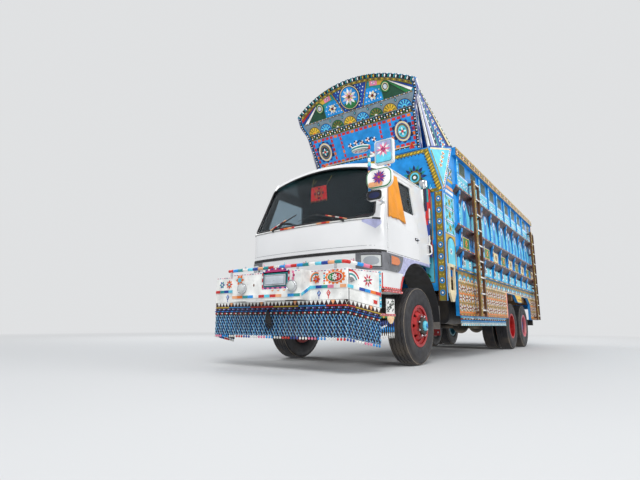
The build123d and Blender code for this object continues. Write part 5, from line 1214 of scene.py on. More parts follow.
bumper = Shapes("bumper_art", "truck", "bumper_paint")
face = front_board(bumper, 0, BOX_Y)
wing = front_board(bumper, 0, BUMPER_Y)
end_run = Vector((BUMPER_END[0] - BUMPER_HALF, BUMPER_END[1] - BUMPER_Y, 0))
END_LONG = end_run.length
near_end = Board(bumper, (BUMPER_HALF, at(BUMPER_Y), 0), end_run, (0, 0, 1))
far_end = Board(bumper, (-BUMPER_END[0], at(BUMPER_END[1]), 0), (end_run.x, -end_run.y, 0), (0, 0, 1))
near_cheek = Board(bumper, (BOX_HALF, at(BOX_Y), 0), (0, 1, 0), (0, 0, 1))
far_cheek = Board(bumper, (-BOX_HALF, at(BUMPER_Y), 0), (0, -1, 0), (0, 0, 1))

for board, u0, u1 in ((face, -0.54, 0.54), (wing, -1.05, -0.56), (wing, 0.56, 1.05),
                      (near_end, 0.01, END_LONG - 0.01),
                      (far_end, 0.01, END_LONG - 0.01)):
    count = round((u1 - u0) / 0.045)
    board.dashes((u0, 1.137), (u1, 1.137), count, 0.007, ["magenta", "deep", "pink"], 1, 0.6)

face.flower(-0.425, 1.075, 0.072, ["orange"], ["orange", "sky"], 6, 1)
face.oval(-0.425, 1.075, 0.030, 0.030, "aqua", 4, 10)
face.oval(-0.18, 1.0, 0.012, 0.018, "brown", 1, 8)
face.strip(-0.045, 0.945, 0.385, 1.142, "magenta", 1)
for k in range(11):
    u = -0.025 + 0.039 * k
    face.oval(u, 0.952, 0.019, 0.010, "purple" if k % 2 else "pink", 2, 8)
for k in range(5):
    for u in (-0.035, 0.375):
        face.oval(u, 0.975 + 0.038 * k, 0.010, 0.018, "white" if k % 2 else "red", 2, 8)
arch = [(0.17 + 0.215 * math.cos(math.pi * k / 12), 1.135 + 0.055 * math.sin(math.pi * k / 12))
        for k in range(13)]
face.shape([(0.385, 1.12)] + arch + [(-0.045, 1.12)], "magenta", 1)
for k, a in enumerate(middles(0, math.pi, 11)):
    face.oval(0.17 + 0.195 * math.cos(a), 1.140 + 0.038 * math.sin(a), 0.014, 0.009,
              "white" if k % 2 else "deep", 2, 8)
face.strip(-0.018, 0.965, 0.358, 1.126, "teal", 3)
face.strip(-0.004, 0.975, 0.344, 1.116, "black", 4)
# The blank number plate, from X, Z and distance off the box, low and high
for (x0, z0, off), (x1, z1, seat), colour in (
    ((0.008, 0.982, 0.018), (0.332, 1.108, -0.001), "silver"),
    ((0.020, 0.992, 0.021), (0.320, 1.098, 0.017), "grey"),
    ((0.026, 0.998, 0.023), (0.314, 1.092, 0.019), "silver"),
):
    bumper.box((x0, at(BOX_Y) - off, z0), (x1, at(BOX_Y) - seat, z1), colour)
for k in range(4):
    face.oval(0.435 + 0.01 * (k % 2), 1.125 - 0.036 * k, 0.016, 0.018, "magenta" if k % 2 else "pink", 2, 9)
for k in range(3):
    face.shape([(0.10 + 0.09 * k, 0.925), (0.15 + 0.09 * k, 0.935), (0.13 + 0.09 * k, 0.912)], "peach", 1)
tape_line(face, (-0.545, 0.862), (0.545, 0.862), 0.034,
          ["peach", "orange", "teal", "sky", "white", "red", "aqua", "red", "peach", "white", "sky",
           "teal", "red"])
for cheek, flip in ((near_cheek, 1), (far_cheek, -1)):
    ends = ((0.0, 0.862), (0.17, 0.955)) if flip > 0 else ((0.0, 0.955), (0.17, 0.862))
    tape_line(cheek, ends[0], ends[1], 0.034, ["aqua", "sky"], 0.06)
tape_line(wing, (-1.05, 0.955), (-0.555, 0.955), 0.036, ["red", "teal", "deep", "aqua", "white", "red"])
tape_line(wing, (0.555, 0.955), (1.05, 0.955), 0.036, ["aqua", "deep", "teal", "pink", "white", "peach"])
for end, start, stop in ((near_end, (0.0, 0.955), (END_LONG - 0.01, 0.88)),
                         (far_end, (0.01, 0.88), (END_LONG, 0.955))):
    tape_line(end, start, stop, 0.036, ["aqua", "white", "deep", "sky", "orange", "red", "teal"])
for u, colour, inner in ((-0.82, "deep", "sky"), (-0.68, "red", "deep"), (0.68, "deep", "sky"),
                         (0.81, "red", "red")):
    droplet(wing, u, 0.885, colour, inner)

# Near wing: an arch with a flower, a small upright spray and an oval medallion
for r, colour in ((0.082, "orange"), (0.066, "teal"), (0.050, "white")):
    wing.fan(0.635, 1.045, r, 60, 200, [colour], 1 + round((0.09 - r) * 60), 0, 12)
wing.flower(0.645, 1.045, 0.050, ["red", "orange"], ["orange", "sky"], 7, 5)
for k in range(5):
    wing.oval(0.752, 1.105 - 0.028 * k, 0.012, 0.010, ["red", "aqua", "teal", "red", "gold"][k], 2, 8)
for a in turns(14):
    wing.oval(0.90 + 0.118 * math.cos(a), 1.058 + 0.068 * math.sin(a), 0.022, 0.016, "orange", 1, 8, a)
wing.nested(0.90, 1.058, (
    (0.116, 0.066, "orange", 2, 26), (0.104, 0.057, "white", 3, 26), (0.096, 0.051, "brown", 4, 24),
))
for a0, colour in ((100, "green"), (-80, "red")):
    angles = [math.radians(a0 + 160 * k / 10) for k in range(11)]
    wing.shape([(0.90 + 0.09 * math.cos(a), 1.058 + 0.046 * math.sin(a)) for a in angles], colour, 5)
wing.petals(0.90, 1.058, 0.006, 0.042, 8, ["white"], 6, 0.8)
for u in (0.84, 0.96):
    wing.dots((u, 1.078), (u, 1.038), 3, 0.006, ["white"], 6)

# Far wing: a flower and a spray
wing.flower(-0.80, 1.05, 0.062, ["red", "orange"], ["teal", "white"], 8, 1)
wing.petals(-0.94, 1.05, 0.01, 0.05, 6, ["deep", "teal"], 1)

# Ends: rainbow arcs, a star flower, a turquoise strip and red steps' edge
for end, s in ((near_end, 1), (far_end, -1)):
    far = END_LONG if s < 0 else 0.0
    for r, colour in ((0.145, "red"), (0.122, "white"), (0.104, "teal"), (0.082, "white"), (0.062, "grey")):
        start, stop = (20, 100) if s > 0 else (80, 160)
        end.fan(far + s * 0.045, 0.99, r, start, stop, [colour], 1 + round((0.15 - r) * 60), 0, 10)
    u = far + s * 0.315
    end.petals(u, 1.03, 0.012, 0.075, 8, ["magenta", "red"], 1, 0.6, 0.2)
    end.petals(u, 1.03, 0.004, 0.032, 4, ["green", "white"], 2, 0.9)
    u = far + s * (END_LONG - 0.018)
    end.strip(u - 0.014, 0.735, u + 0.014, 1.148, "aqua", 2)
    end.dots((u, 0.75), (u, 1.14), 9, 0.010, ["deep", "white", "orange"], 3)
    step = ((0.40, 0.815), (0.46, 0.805), (0.455, 0.765), (0.405, 0.775))
    end.shape([(far + s * u, v) for u, v in step], "red", 2)
    u0, u1 = sorted((far + s * 0.02, far + s * 0.032))
    end.strip(u0, 0.80, u1, 1.14, "grey", 1)
bumper.make()

# Tape on the guard pipe, with small knots of ribbon
pipe = Shapes("pipe_tape", "truck", "bumper_paint")
PIPE_Y, PIPE_Z = -1.65, 1.24
pipe_path = rounded([(-0.9, at(PIPE_Y), PIPE_Z), (0.98, at(PIPE_Y), PIPE_Z),
                     (1.12, at(-1.30), PIPE_Z - 0.04)], 0.09)
wrap(pipe, pipe_path, 0.0215, 0.092, TAPE)
for place in spread(pipe_path, 0.33)[1:-1]:
    for k in range(3):
        tip = place + Vector((random.uniform(-0.03, 0.03), random.uniform(-0.02, 0.0),
                              random.uniform(0.02, 0.055)))
        pipe.tube([place, (place + tip) / 2 + Vector((0.006, 0, 0.004)), tip], [0.007, 0.005, 0.002],
                  ["aqua", "red", "pink"][k], 6)
pipe.make()


def round_lamp(shapes, x, y, z, radius):
    """A headlamp with a plated bezel and a domed ribbed glass, facing forwards."""
    rim = [(0.0, radius * 1.02), (0.02, radius * 1.06), (0.034, radius), (0.037, radius * 0.93),
           (0.03, radius * 0.88),
           (0.0, radius * 0.88), (0.0, radius * 1.02)]
    shapes.turned((x, y, z), (0, -1, 0), rim, chrome(), 28)
    dome = [(0.0, 0.0005), (0.0, radius * 0.89), (0.03, radius * 0.88), (0.042, radius * 0.72),
            (0.049, radius * 0.42),
            (0.0515, 0.0005)]
    shapes.turned((x, y, z), (0, -1, 0), dome, lens("clear", (226, 230, 230)), 28)


lamps = Shapes("round_lamps", "truck", "lamp_lens")
for x in (-0.37, 0.43):
    round_lamp(lamps, x, at(BOX_Y), 0.965, 0.066)
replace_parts(lamps.make(), "fog_lamps")

# Fringe under the bumper: a painted valance, bead rows, a chain net and pendants, with a near-black band
# behind the net as painted shade
FRINGE_PATH = [Vector(p) for p in (
    (-1.195, at(-1.24), 0), (-1.05, at(-1.725), 0), (1.05, at(-1.725), 0), (1.195, at(-1.24), 0),
)]
FRINGE_LONG = sum((b - a).length for a, b in zip(FRINGE_PATH, FRINGE_PATH[1:]))
FRINGE_END = (FRINGE_PATH[1] - FRINGE_PATH[0]).length


def link_finish(name, colour):
    return plain_finish("link_" + name, colour, 0.3, 0.5, 0.3, 0.9, (90.0, 0.2, 0.002), Metallic=0.35)


def hang(s, z, inward):
    """A place on the fringe, s along its path, with the ends falling as the bumper's do."""
    s = min(max(s, 0.0), FRINGE_LONG)
    left = s
    for a, b in zip(FRINGE_PATH, FRINGE_PATH[1:]):
        length = (b - a).length
        if left <= length + 1e-9:
            break
        left -= length
    along = (b - a).normalized()
    fall = END_FALL * max(0.0, 1 - min(s, FRINGE_LONG - s) / FRINGE_END)
    return a + along * left + Vector((-along.y, along.x, 0)) * inward + Vector((0, 0, z - fall))


def hung_band(shapes, z0, z1, finish, out, thick):
    """A thin strip that follows the fringe's path."""
    stops = [0.0, FRINGE_END, FRINGE_LONG - FRINGE_END, FRINGE_LONG]
    for s0, s1 in zip(stops, stops[1:]):
        points = [hang(s, z, -out + depth) for z in (z0, z1) for depth in (0, thick)
                  for s in (s0 + 1e-6, s1 - 1e-6)]
        shapes.solid(points,
                     [(0, 1, 3, 2), (4, 6, 7, 5), (0, 4, 5, 1), (2, 3, 7, 6), (0, 2, 6, 4), (1, 5, 7, 3)],
                     finish)


fringe = Shapes("bumper_net", "truck", "chain_steel")
hung_band(fringe, 0.742, 0.808, "shade", 0.0, 0.014)
hung_band(fringe, 0.640, 0.738, chassis_black(), -0.004, 0.006)
hung_band(fringe, 0.738, 0.750, "yellow", 0.003, 0.012)
# A near-black band behind the net: a dark sheet standing for the shade inside the fringe
hung_band(fringe, 0.402, 0.642, plain_finish("shade_backing", (20, 24, 38), 0.7, 0.9, 0.1, 0.9), -0.009, 0.004)
TEETH, BEADS, NET_CELLS, NET_ROWS, RAILS = 52, 107, 72, 7, 8
tooth = FRINGE_LONG / TEETH
for k in range(TEETH):
    s = tooth * (k + 0.5)
    front, back = [[hang(s - tooth * 0.46, 0.806, depth), hang(s + tooth * 0.46, 0.806, depth),
                    hang(s, 0.755, depth)]
                   for depth in (-0.003, 0.004)]
    fringe.solid(front + back, [(0, 1, 2), (5, 4, 3), (0, 3, 4, 1), (1, 4, 5, 2), (2, 5, 3, 0)],
                 "peach" if k % 9 == 4 else "white")
for k in range(RAILS):
    piece = [hang(FRINGE_LONG * (k + j / 12) / RAILS, 0.7445, -0.006) for j in range(13)]
    fringe.tube(piece, 0.0065, ["red", "gold", "sky"][k % 3], 6)
bead = FRINGE_LONG / BEADS
for row, (z, colours) in enumerate(((0.722, ("purple", "black", "lilac")), (0.695, ("deep", "sky", "deep")),
                                    (0.668, ("red", "white", "black")))):
    for k in range(BEADS):
        fringe.ball(hang(bead * (k + 0.5 * (row % 2)), z, -0.003), 0.0115, paint(colours[k % 3]), 6, 4)
NET_TOP, NET_LOW = 0.648, 0.392
cell = FRINGE_LONG / NET_CELLS
# The pale strings are a painted highlight on the blue net
falling = [link_finish("pale", (176, 214, 234)), link_finish("blue", (104, 172, 220))]
rising = [link_finish("blue", (104, 172, 220)), link_finish("deep", (44, 96, 168))]
for r in range(NET_ROWS):
    z0 = NET_TOP + (NET_LOW - NET_TOP) * r / NET_ROWS
    z1 = NET_TOP + (NET_LOW - NET_TOP) * (r + 1) / NET_ROWS
    for k in range(NET_CELLS):
        for strings, start in ((falling, k), (rising, k + 1)):
            s0, s1 = cell * (start + 0.5 * (r % 2)), cell * (k + 0.5 + 0.5 * (r % 2))
            a, b = hang(s0, z0, 0.002), hang(s1, z1, 0.002)
            if (a - b).length > 0.03:
                fringe.tube([a, a * 0.08 + b * 0.92], 0.0050, strings[(k + r) % 2], 4)
for k in range(NET_CELLS):
    colour = ["white", "red", "deep", "white", "pink", "sky"][(k // 3) % 6]
    fringe.ball(hang(cell * (k + 0.5), 0.380, 0.002), 0.0135, paint(colour), 7, 5, (1, 1, 1.25))
bumper_net = fringe.make()
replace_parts(bumper_net, "bumper_fringe")

# Black tassel that hangs over the net
tassel = Shapes("bumper_tassel", "truck", "chain_steel")
top = hang(1.47, 0.70, -0.012)
for k in range(34):
    swing = random.uniform(-0.03, 0.115)
    reach = random.uniform(0.20, 0.27) - abs(swing - 0.04) * 0.7
    start = top + Vector((random.uniform(-0.012, 0.012), -0.002, 0))
    tassel.tube([start, start + Vector((swing * 0.55, -0.012, -reach * 0.5)),
                 start + Vector((swing, -0.004, -reach))],
                [0.005, 0.0045, 0.0015], chassis_black(), 5)
tassel.ball(top, 0.017, "black", 10, 6)
tassel.make()

# Fringes under the body's skirts
for name, side in SIDES:
    skirt = Shapes(name + "_skirt_fringe", "truck", "chain_steel")
    x, y0, y1 = side * 1.27, at(1.375), at(4.365)
    skirt.box((x - 0.006, y0, 0.655), (x + 0.006, y1, 0.684), "aqua")
    count = 112
    pitch = (y1 - y0) / count
    for k in range(count):
        y = y0 + pitch * (k + 0.5)
        skirt.ball((x + side * 0.007, y, 0.669), 0.0095, "white" if k % 2 else "sky", 6, 4)
        skirt.ball((x, y, 0.640), 0.0115, ["red", "green", "white"][(k // 2) % 3], 6, 4)
        skirt.ball((x, y, 0.612), 0.0125, "sky", 6, 4)
        skirt.ball((x, y, 0.586), 0.0105, "deep" if k % 2 else "aqua", 6, 4)
        skirt.tube([(x, y, 0.60), (x, y + pitch / 2, 0.552)], 0.004, "white", 4)
        skirt.tube([(x, y + pitch, 0.60), (x, y + pitch / 2, 0.552)], 0.004, "white", 4)
        skirt.ball((x, y + pitch / 2, 0.540), 0.011, "white" if k % 4 < 2 else "aqua", 6, 4, (1, 1, 1.4))
    if side > 0:
        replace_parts(skirt.make(), "side_fringes")
    else:
        skirt.make()


# Cab: bands, lines and lamps that follow its skin, where s runs along the bowed front's half, CAB_ARC,
# then round the corner, CAB_CORNER, and back along the side
CAB_ARC = FRONT_RADIUS * FRONT_ANGLE
CAB_CORNER = (math.pi / 2 - FRONT_ANGLE) * CORNER_RADIUS


def on_skin(s, z, out=0.0):
    """A place on the cab's skin: s round from the front's middle, z up, and how far it stands off."""
    rise = max(0.0, z - BELT_Z) / (ROOF_Z - BELT_Z)
    a, places, ways = abs(s), [], []
    for radius, centre, angle, corner_x, corner_y, half in CAB_SECTIONS:
        if a <= CAB_ARC:
            t = angle * a / CAB_ARC
            places.append((radius * math.sin(t), centre - radius * math.cos(t)))
        elif a <= CAB_ARC + CAB_CORNER:
            t = angle + (math.pi / 2 - angle) * (a - CAB_ARC) / CAB_CORNER
            places.append((corner_x + CORNER_RADIUS * math.sin(t), corner_y - CORNER_RADIUS * math.cos(t)))
        else:
            t = math.pi / 2
            places.append((half, corner_y + (a - CAB_ARC - CAB_CORNER) * (CAB_BACK - corner_y) / SIDE_LONG))
        ways.append((math.sin(t), -math.cos(t)))
    x, y = (p + (q - p) * rise for p, q in zip(*places))
    dx, dy = (p + (q - p) * rise for p, q in zip(*ways))
    return Vector((math.copysign(x + dx * out, s), at(y + dy * out), z))


def skin_band(shapes, s0, s1, low, high, finish, out, steps):
    """A raised band on the skin; low and high are heights, or functions of s."""
    rings = []
    for k in range(steps + 1):
        s = s0 + (s1 - s0) * k / steps
        z0 = low(s) if callable(low) else low
        z1 = high(s) if callable(high) else high
        rings.append([on_skin(s, z0, -0.002), on_skin(s, z0, out), on_skin(s, z1, out),
                      on_skin(s, z1, -0.002)])
    shapes.loft(rings, finish, smooth=False)


def skin_x(x, z, out):
    """The place on the skin at a given X."""
    low, high = 0.0, 1.3
    for _ in range(26):
        middle = (low + high) / 2
        if on_skin(middle, z).x < abs(x):
            low = middle
        else:
            high = middle
    return on_skin(math.copysign(low, x), z, out)


# The wheel well in the cab's side: a quarter circle in front, then a level edge
WELL_Y, WELL_Z, WELL_RADIUS, WELL_TOP = 0.05, 0.85, 0.55, 1.40
# The lamp panel's lower edge, and the middles of the amber lens and the headlamp
PANEL_LOW, AMBER_Z, BOWL_Z = 1.205, 1.347, 1.3155


def arch_edge(y):
    if y >= WELL_Y:
        return WELL_TOP
    return WELL_Z + math.sqrt(max(0.0, WELL_RADIUS ** 2 - (y - WELL_Y) ** 2))


def side_y(s):
    """Y from the front axle on the cab's side."""
    return CORNER_Y + abs(s) - CAB_ARC - CAB_CORNER


def housing_low(s):
    """The lower edge of the lamp housing, which rises towards its back end."""
    return PANEL_LOW + 0.215 * max(0.0, (abs(s) - 1.50) / 0.215) ** 2.2


def band_low(s):
    """The lower edge of the lavender band, over the wheel arch."""
    return max(arch_edge(side_y(s)), PANEL_LOW) + 0.001


def band_high(s):
    return 1.437 if side_y(s) < 0.0 else 1.440


def pillar_low(s):
    return 1.815 - 0.09 * min(1.0, (s - 0.885) / 0.17) + 0.07 * max(0.0, (s - 1.06) / 0.085)


def amber_half(s):
    """Half the height of the amber lens, which has a round back end."""
    return 0.052 * math.sqrt(max(0.0, 1 - max(0.0, (abs(s) - 1.46) / 0.105) ** 2)) + 0.001


def bowl_half(s):
    """Half the height of the round headlamp in its frame."""
    return 0.054 * math.sqrt(max(0.0, 1 - ((abs(s) - 1.0) / 0.098) ** 2)) + 0.001


SIDE_START = CAB_ARC + CAB_CORNER
cab = Shapes("cab_trim", "cab", "cab_paint")
black, seal = chassis_black(), dull_plastic()
lavender = plain_finish("lavender", (184, 186, 224), 0.2, 0.34, 0.25, 1.3, (4.0, 0.04, 0.01), Coat_Weight=0.5)
housing = plain_finish("housing", (112, 113, 118), 0.25, 0.4, 0.05, 1.3, (6.0, 0.03, 0.004), Metallic=0.25)
skin_band(cab, -1.17, 1.235, 1.418, 1.458, black, 0.006, 40)
skin_band(cab, -1.10, 1.05, 1.505, 1.509, "grey", 0.0015, 36)
skin_band(cab, -1.13, 1.13, 1.846, 1.868, black, 0.008, 40)
for sign in (1, -1):
    skin_band(cab, sign * 1.13, sign * 1.70, housing_low, 1.432, housing, 0.012, 22)
    for low, high in ((PANEL_LOW, 1.238), (1.392, 1.414)):
        skin_band(cab, sign * 0.86, sign * 1.14, low, high, housing, 0.012, 8)
    skin_band(cab, sign * 0.80, sign * 0.862, PANEL_LOW, 1.414, housing, 0.012, 4)
    skin_band(cab, sign * (SIDE_START + 0.02), sign * (SIDE_START + 1.42), band_low, band_high,
              lavender, 0.0025, 48)
    lip = [(sign * 1.102, at(-0.484), 0.982)]
    for k in range(19):
        a = math.radians(166 - 76 * k / 18)
        lip.append((sign * 1.102, at(WELL_Y + 0.552 * math.cos(a)), WELL_Z + 0.552 * math.sin(a)))
    lip.append((sign * 1.102, at(0.55), 1.402))
    cab.tube(lip, 0.010, lavender, 8)
    cab.tube([(p[0] + sign * 0.006, p[1] - 0.006, p[2]) for p in lip[:7]], 0.009, "red", 8)
    skin_band(cab, sign * 1.13, sign * (SIDE_START + 0.38), 0.978, 0.998, "red", 0.004, 10)
    skin_band(cab, sign * 1.135, sign * 1.150, 0.998, 1.17, "red", 0.004, 2)
    for k in range(8):
        skin_band(cab, sign * (1.17 + 0.055 * k), sign * (1.18 + 0.055 * k), 0.984, 0.993, "white", 0.006, 1)
skin_band(cab, 0.885, 1.145, pillar_low, 1.843, lavender, 0.002, 12)

# Windscreen seal, its white sill, and the rain gutters along the roof's edges
outline = []
for x, z in ((-1.01, 1.94), (-1.0, 1.90), (-0.95, 1.882)):
    outline.append(skin_x(x, z, 0.003))
outline += [skin_x(-0.95 + 0.1 * k, 1.880, 0.003) for k in range(1, 19)]
outline += [skin_x(0.95, 1.882, 0.003), skin_x(1.0, 1.90, 0.003), skin_x(1.01, 1.94, 0.003)]
outline += [skin_x(1.01 - 0.073 * k / 6, 1.94 + 0.62 * k / 6, 0.003) for k in range(1, 7)]
for k in range(17):
    x = 0.915 - 0.114375 * k
    outline.append(skin_x(x, 2.61 + 0.135 * (1 - (x / 0.93) ** 2) - (0.012 if k in (0, 16) else 0), 0.003))
outline += [skin_x(-0.937 - 0.073 * k / 6, 2.56 - 0.62 * k / 6, 0.003) for k in range(0, 7)]
cab.tube(outline, 0.013, seal, 8)
cab.tube([skin_x(-1.0 + 0.1 * k, 1.855, 0.012) for k in range(21)], 0.009, "white", 8)
for sign in (1, -1):
    starts = [sign * (SIDE_START - 0.02 + 0.13 * k) for k in range(11)]
    gutter = [on_skin(s, 2.655 + 0.006 * math.sin(k / 10 * math.pi), 0.004) for k, s in enumerate(starts)]
    cab.tube(gutter, 0.009, "white", 6)
cab.make()

ambers = Shapes("corner_lamps", "cab", "lamp_lens")
for sign in (1, -1):
    skin_band(ambers, sign * 1.33, sign * 1.564, lambda s: AMBER_Z - amber_half(s),
              lambda s: AMBER_Z + amber_half(s), lens("amber", (232, 116, 0)), 0.030, 14)
    skin_band(ambers, sign * 1.318, sign * 1.33, 1.288, 1.406, chrome(), 0.026, 2)
    for z in (1.240, 1.384):
        skin_band(ambers, sign * 0.865, sign * 1.135, z, z + 0.007, black, 0.0125, 8)
    for s in (0.865, 1.128):
        skin_band(ambers, sign * s, sign * (s + 0.007), 1.240, 1.391, black, 0.0125, 1)
    skin_band(ambers, sign * 0.903, sign * 1.097, lambda s: BOWL_Z - bowl_half(s),
              lambda s: BOWL_Z + bowl_half(s), lens("bowl", (172, 178, 184)), 0.0125, 16)
ambers.make()

# Wipers with taped blades, and the tape on the sill
wipers = Shapes("wipers", "cab", "cab_paint")
for root, tip in (((-0.613, 1.862), (-0.188, 2.058)), ((0.684, 1.862), (0.152, 2.010))):
    blade = [skin_x(root[0] + (tip[0] - root[0]) * k / 8, root[1] + (tip[1] - root[1]) * k / 8, 0.016)
             for k in range(9)]
    wipers.tube(blade, 0.008, seal, 6)
    wrap(wipers, [p + Vector((0, -0.012, 0.010)) for p in blade[:6]], 0.0075, 0.06,
         ["peach", "red", "white", "crimson"])
    start = skin_x(root[0] * 0.92, 1.852, 0.02)
    wipers.tube([start, (start + blade[5]) / 2 + Vector((0, -0.018, 0.004)), blade[5]], [0.010, 0.008, 0.006],
                seal, 6)
    wipers.ball(start, 0.017, seal, 10, 6)
for x0, x1, colours in ((-0.42, -0.15, ["red", "orange", "peach"]), (0.23, 0.43, ["peach", "red", "orange"])):
    wrap(wipers, [skin_x(x0 + (x1 - x0) * k / 6, 1.857, 0.014) for k in range(7)], 0.0125, 0.075, colours)
wipers.tube([skin_x(-0.11, 1.941, 0.018), skin_x(0.125, 2.004, 0.018)], 0.004, seal, 6)
wipers.make()

# Stiff red pennant with a pointed fringe, hung inside the windscreen by three short ties; its cloth glows
# faintly as painted light
pennant = Shapes("pennant", "cab", "cab_paint")
hung = front_board(pennant, 0, -0.842)
PENNANT_RED = (240, 26, 18)
# The cloth glows though it is no lamp: painted light that lifts it out of the dark cab
pennant_glowing_cloth = plain_finish("pennant_red_glow", PENNANT_RED, 0.6, 0.8, 0.0,
                             Emission_Color=(*linear(PENNANT_RED), 1), Emission_Strength=0.6)
hung.shape([(-0.112, 2.505), (0.150, 2.505), (0.166, 2.300), (-0.118, 2.300)], pennant_glowing_cloth)
for k in range(9):
    u = -0.103 + 0.0325 * k
    hung.shape([(u - 0.014, 2.302), (u + 0.014, 2.302), (u, 2.268)], "red" if k % 2 else "orange", 1)
hung.rings(0.024, 2.402, 0.052, ["orange", "red", "crimson", "peach"], 2, 14)
hung.petals(0.024, 2.402, 0.056, 0.088, 8, ["crimson", "orange"], 2, 0.7)
hung.dashes((-0.105, 2.492), (0.143, 2.492), 9, 0.008, ["orange", "crimson"], 2)
for start, end in (((-0.105, 2.50), (-0.062, 2.632)), ((0.145, 2.50), (0.255, 2.628)),
                   ((-0.105, 2.50), (-0.02, 2.60))):
    pennant.tube([hung.place(*start, 0.001), hung.place(*end, 0.001) + Vector((0, -0.005, 0))],
                 0.0022, "olive", 5)
pennant.make()

# Door handles and the grab handles behind the doors
for side, sign in SIDES:
    handle = Shapes(side + "_door_handle", side + "_cab_door", "cab_paint")
    handle.loft([[(sign * 1.098, at(y), 1.752 + dz) if w == 0
                  else (sign * (1.098 + w), at(y), 1.752 + dz * 0.7)
                  for w, dz in ((0, -0.021), (depth, -0.021), (depth, 0.021), (0, 0.021))]
                 for y, depth in ((0.045, 0.004), (0.055, 0.016), (0.140, 0.018), (0.150, 0.004))], seal,
                smooth=False)
    handle.tube([(sign * 1.112, at(0.058), 1.748), (sign * 1.124, at(0.085), 1.755),
                 (sign * 1.119, at(0.138), 1.744)],
                [0.008, 0.011, 0.007], chrome(), 8)
    handle.turned((sign * 1.099, at(0.128), 1.708), (sign, 0, 0),
                  [(0, 0.0005), (0, 0.011), (0.005, 0.0095), (0.006, 0.0005)],
                  chrome(), 12)
    handle.make()
grabs = Shapes("grab_handles", "cab", "cab_paint")
for sign in (1, -1):
    grabs.tube(rounded([(sign * 1.09, at(0.50), 1.745), (sign * 1.150, at(0.535), 1.735),
                        (sign * 1.150, at(0.545), 1.600),
                        (sign * 1.09, at(0.50), 1.585)], 0.035), 0.011, "white", 8)
grabs.make()

# Mirrors: painted backs, a taped post and two taped stays
MIRROR_POST_X, MIRROR_POST_Y = 1.13, -1.33
mirrors = Shapes("mirror_art", "cab", "mirror_frame")
back = front_board(mirrors, 0, -1.375)


def rounded_box(u, v, width, height, radius, steps=5):
    corners = ((1, 1, 0), (-1, 1, 90), (-1, -1, 180), (1, -1, 270))
    return [
        (u + su * (width / 2 - radius) + radius * math.cos(math.radians(a0 + 90 * k / steps)),
         v + sv * (height / 2 - radius) + radius * math.sin(math.radians(a0 + 90 * k / steps)))
        for su, sv, a0 in corners for k in range(steps + 1)
    ]


back.shape(rounded_box(1.35, 2.55, 0.236, 0.296, 0.028), "silver", 1)
back.shape(rounded_box(1.35, 2.55, 0.206, 0.266, 0.022), "teal", 2)
back.shape(rounded_box(1.35, 2.55, 0.196, 0.256, 0.020), "lilac", 3)
back.shape(rounded_box(1.35, 2.475, 0.190, 0.104, 0.016), "aqua", 4)
back.petals(1.35, 2.575, 0.012, 0.094, 12, ["pink", "white"], 5, 0.85)
back.petals(1.35, 2.575, 0.006, 0.046, 8, ["magenta"], 6, 0.7, 0.2)
back.shape(rounded_box(1.28, 2.235, 0.326, 0.236, 0.088), "green", 1)
back.shape(rounded_box(1.28, 2.237, 0.302, 0.212, 0.078), "white", 2)
back.shape(rounded_box(1.235, 2.165, 0.190, 0.060, 0.028), "peach", 3)
back.petals(1.285, 2.243, 0.012, 0.092, 8, ["purple"], 4, 0.62)
back.petals(1.285, 2.243, 0.010, 0.080, 8, ["magenta"], 5, 0.34, math.pi / 8)
back.oval(1.285, 2.243, 0.012, 0.012, "gold", 6, 8)
back.shape(rounded_box(1.215, 2.035, 0.196, 0.116, 0.038), "black", 1)
back.oval(1.215, 2.035, 0.072, 0.036, "navy", 2, 18)
kerb = Board(mirrors, (0, at(MIRROR_POST_Y), 2.655), (1, 0, 0), (0, -1, 0))
for level, (ru, rv, colour) in enumerate(((0.118, 0.063, "teal"), (0.108, 0.055, "white"))):
    kerb.oval(1.01, 0, ru, rv, colour, level + 1, 24)
for k in range(7):
    kerb.oval(0.94 + 0.024 * k, 0.018 * math.sin(2.1 * k), 0.012, 0.008, "pink" if k % 2 else "magenta", 3, 7)
mirrors.tube(hoop((1.01, at(MIRROR_POST_Y), 2.68), 0.1215, 0.0665, 24), 0.010, "teal", 6)
tape_path = [Vector((MIRROR_POST_X, at(MIRROR_POST_Y), 2.695 - 0.06 * k)) for k in range(12)]
wrap(mirrors, tape_path, 0.0165, 0.055, TAPE)
for foot_z, foot_y in ((2.06, -0.87), (2.615, -0.69)):
    bend = Vector((MIRROR_POST_X, at(foot_y - 0.09), foot_z))
    start = Vector((MIRROR_POST_X, at(MIRROR_POST_Y), foot_z))
    wrap(mirrors, [start + (bend - start) * (0.06 + 0.9 * k / 6) for k in range(7)], 0.0145, 0.075,
         ["white", "teal", "red", "silver"])
mirrors.ball((MIRROR_POST_X, at(MIRROR_POST_Y), 2.44), 0.024, "aqua", 10, 6)
mirrors.make()

# Cloth hung from the top of the left door's window, with a ragged hem
CLOTH_COLUMNS, CLOTH_ROWS = 26, 30


def cloth_place(i, j):
    u, v = i / CLOTH_COLUMNS, j / CLOTH_ROWS
    y = (-0.615 - 0.175 * v ** 0.8) * (1 - u) + (-0.365 + 0.105 * v) * u
    z = 2.585 - 0.665 * v + 0.012 * math.sin(3.1 * u) * v
    if j == CLOTH_ROWS:
        z += random.uniform(-0.014, 0.016)
    rise = max(0.0, z - BELT_Z) / (ROOF_Z - BELT_Z)
    fold = 0.0055 * (0.25 + 0.75 * v) * (1 + math.sin(15.0 * u + 1.8 * v + 0.8 * math.sin(5 * v)))
    front = max(0.0, -0.70 - y) * 0.05
    return Vector((1.10 - 0.10 * rise + 0.007 - front + fold, at(y), z))


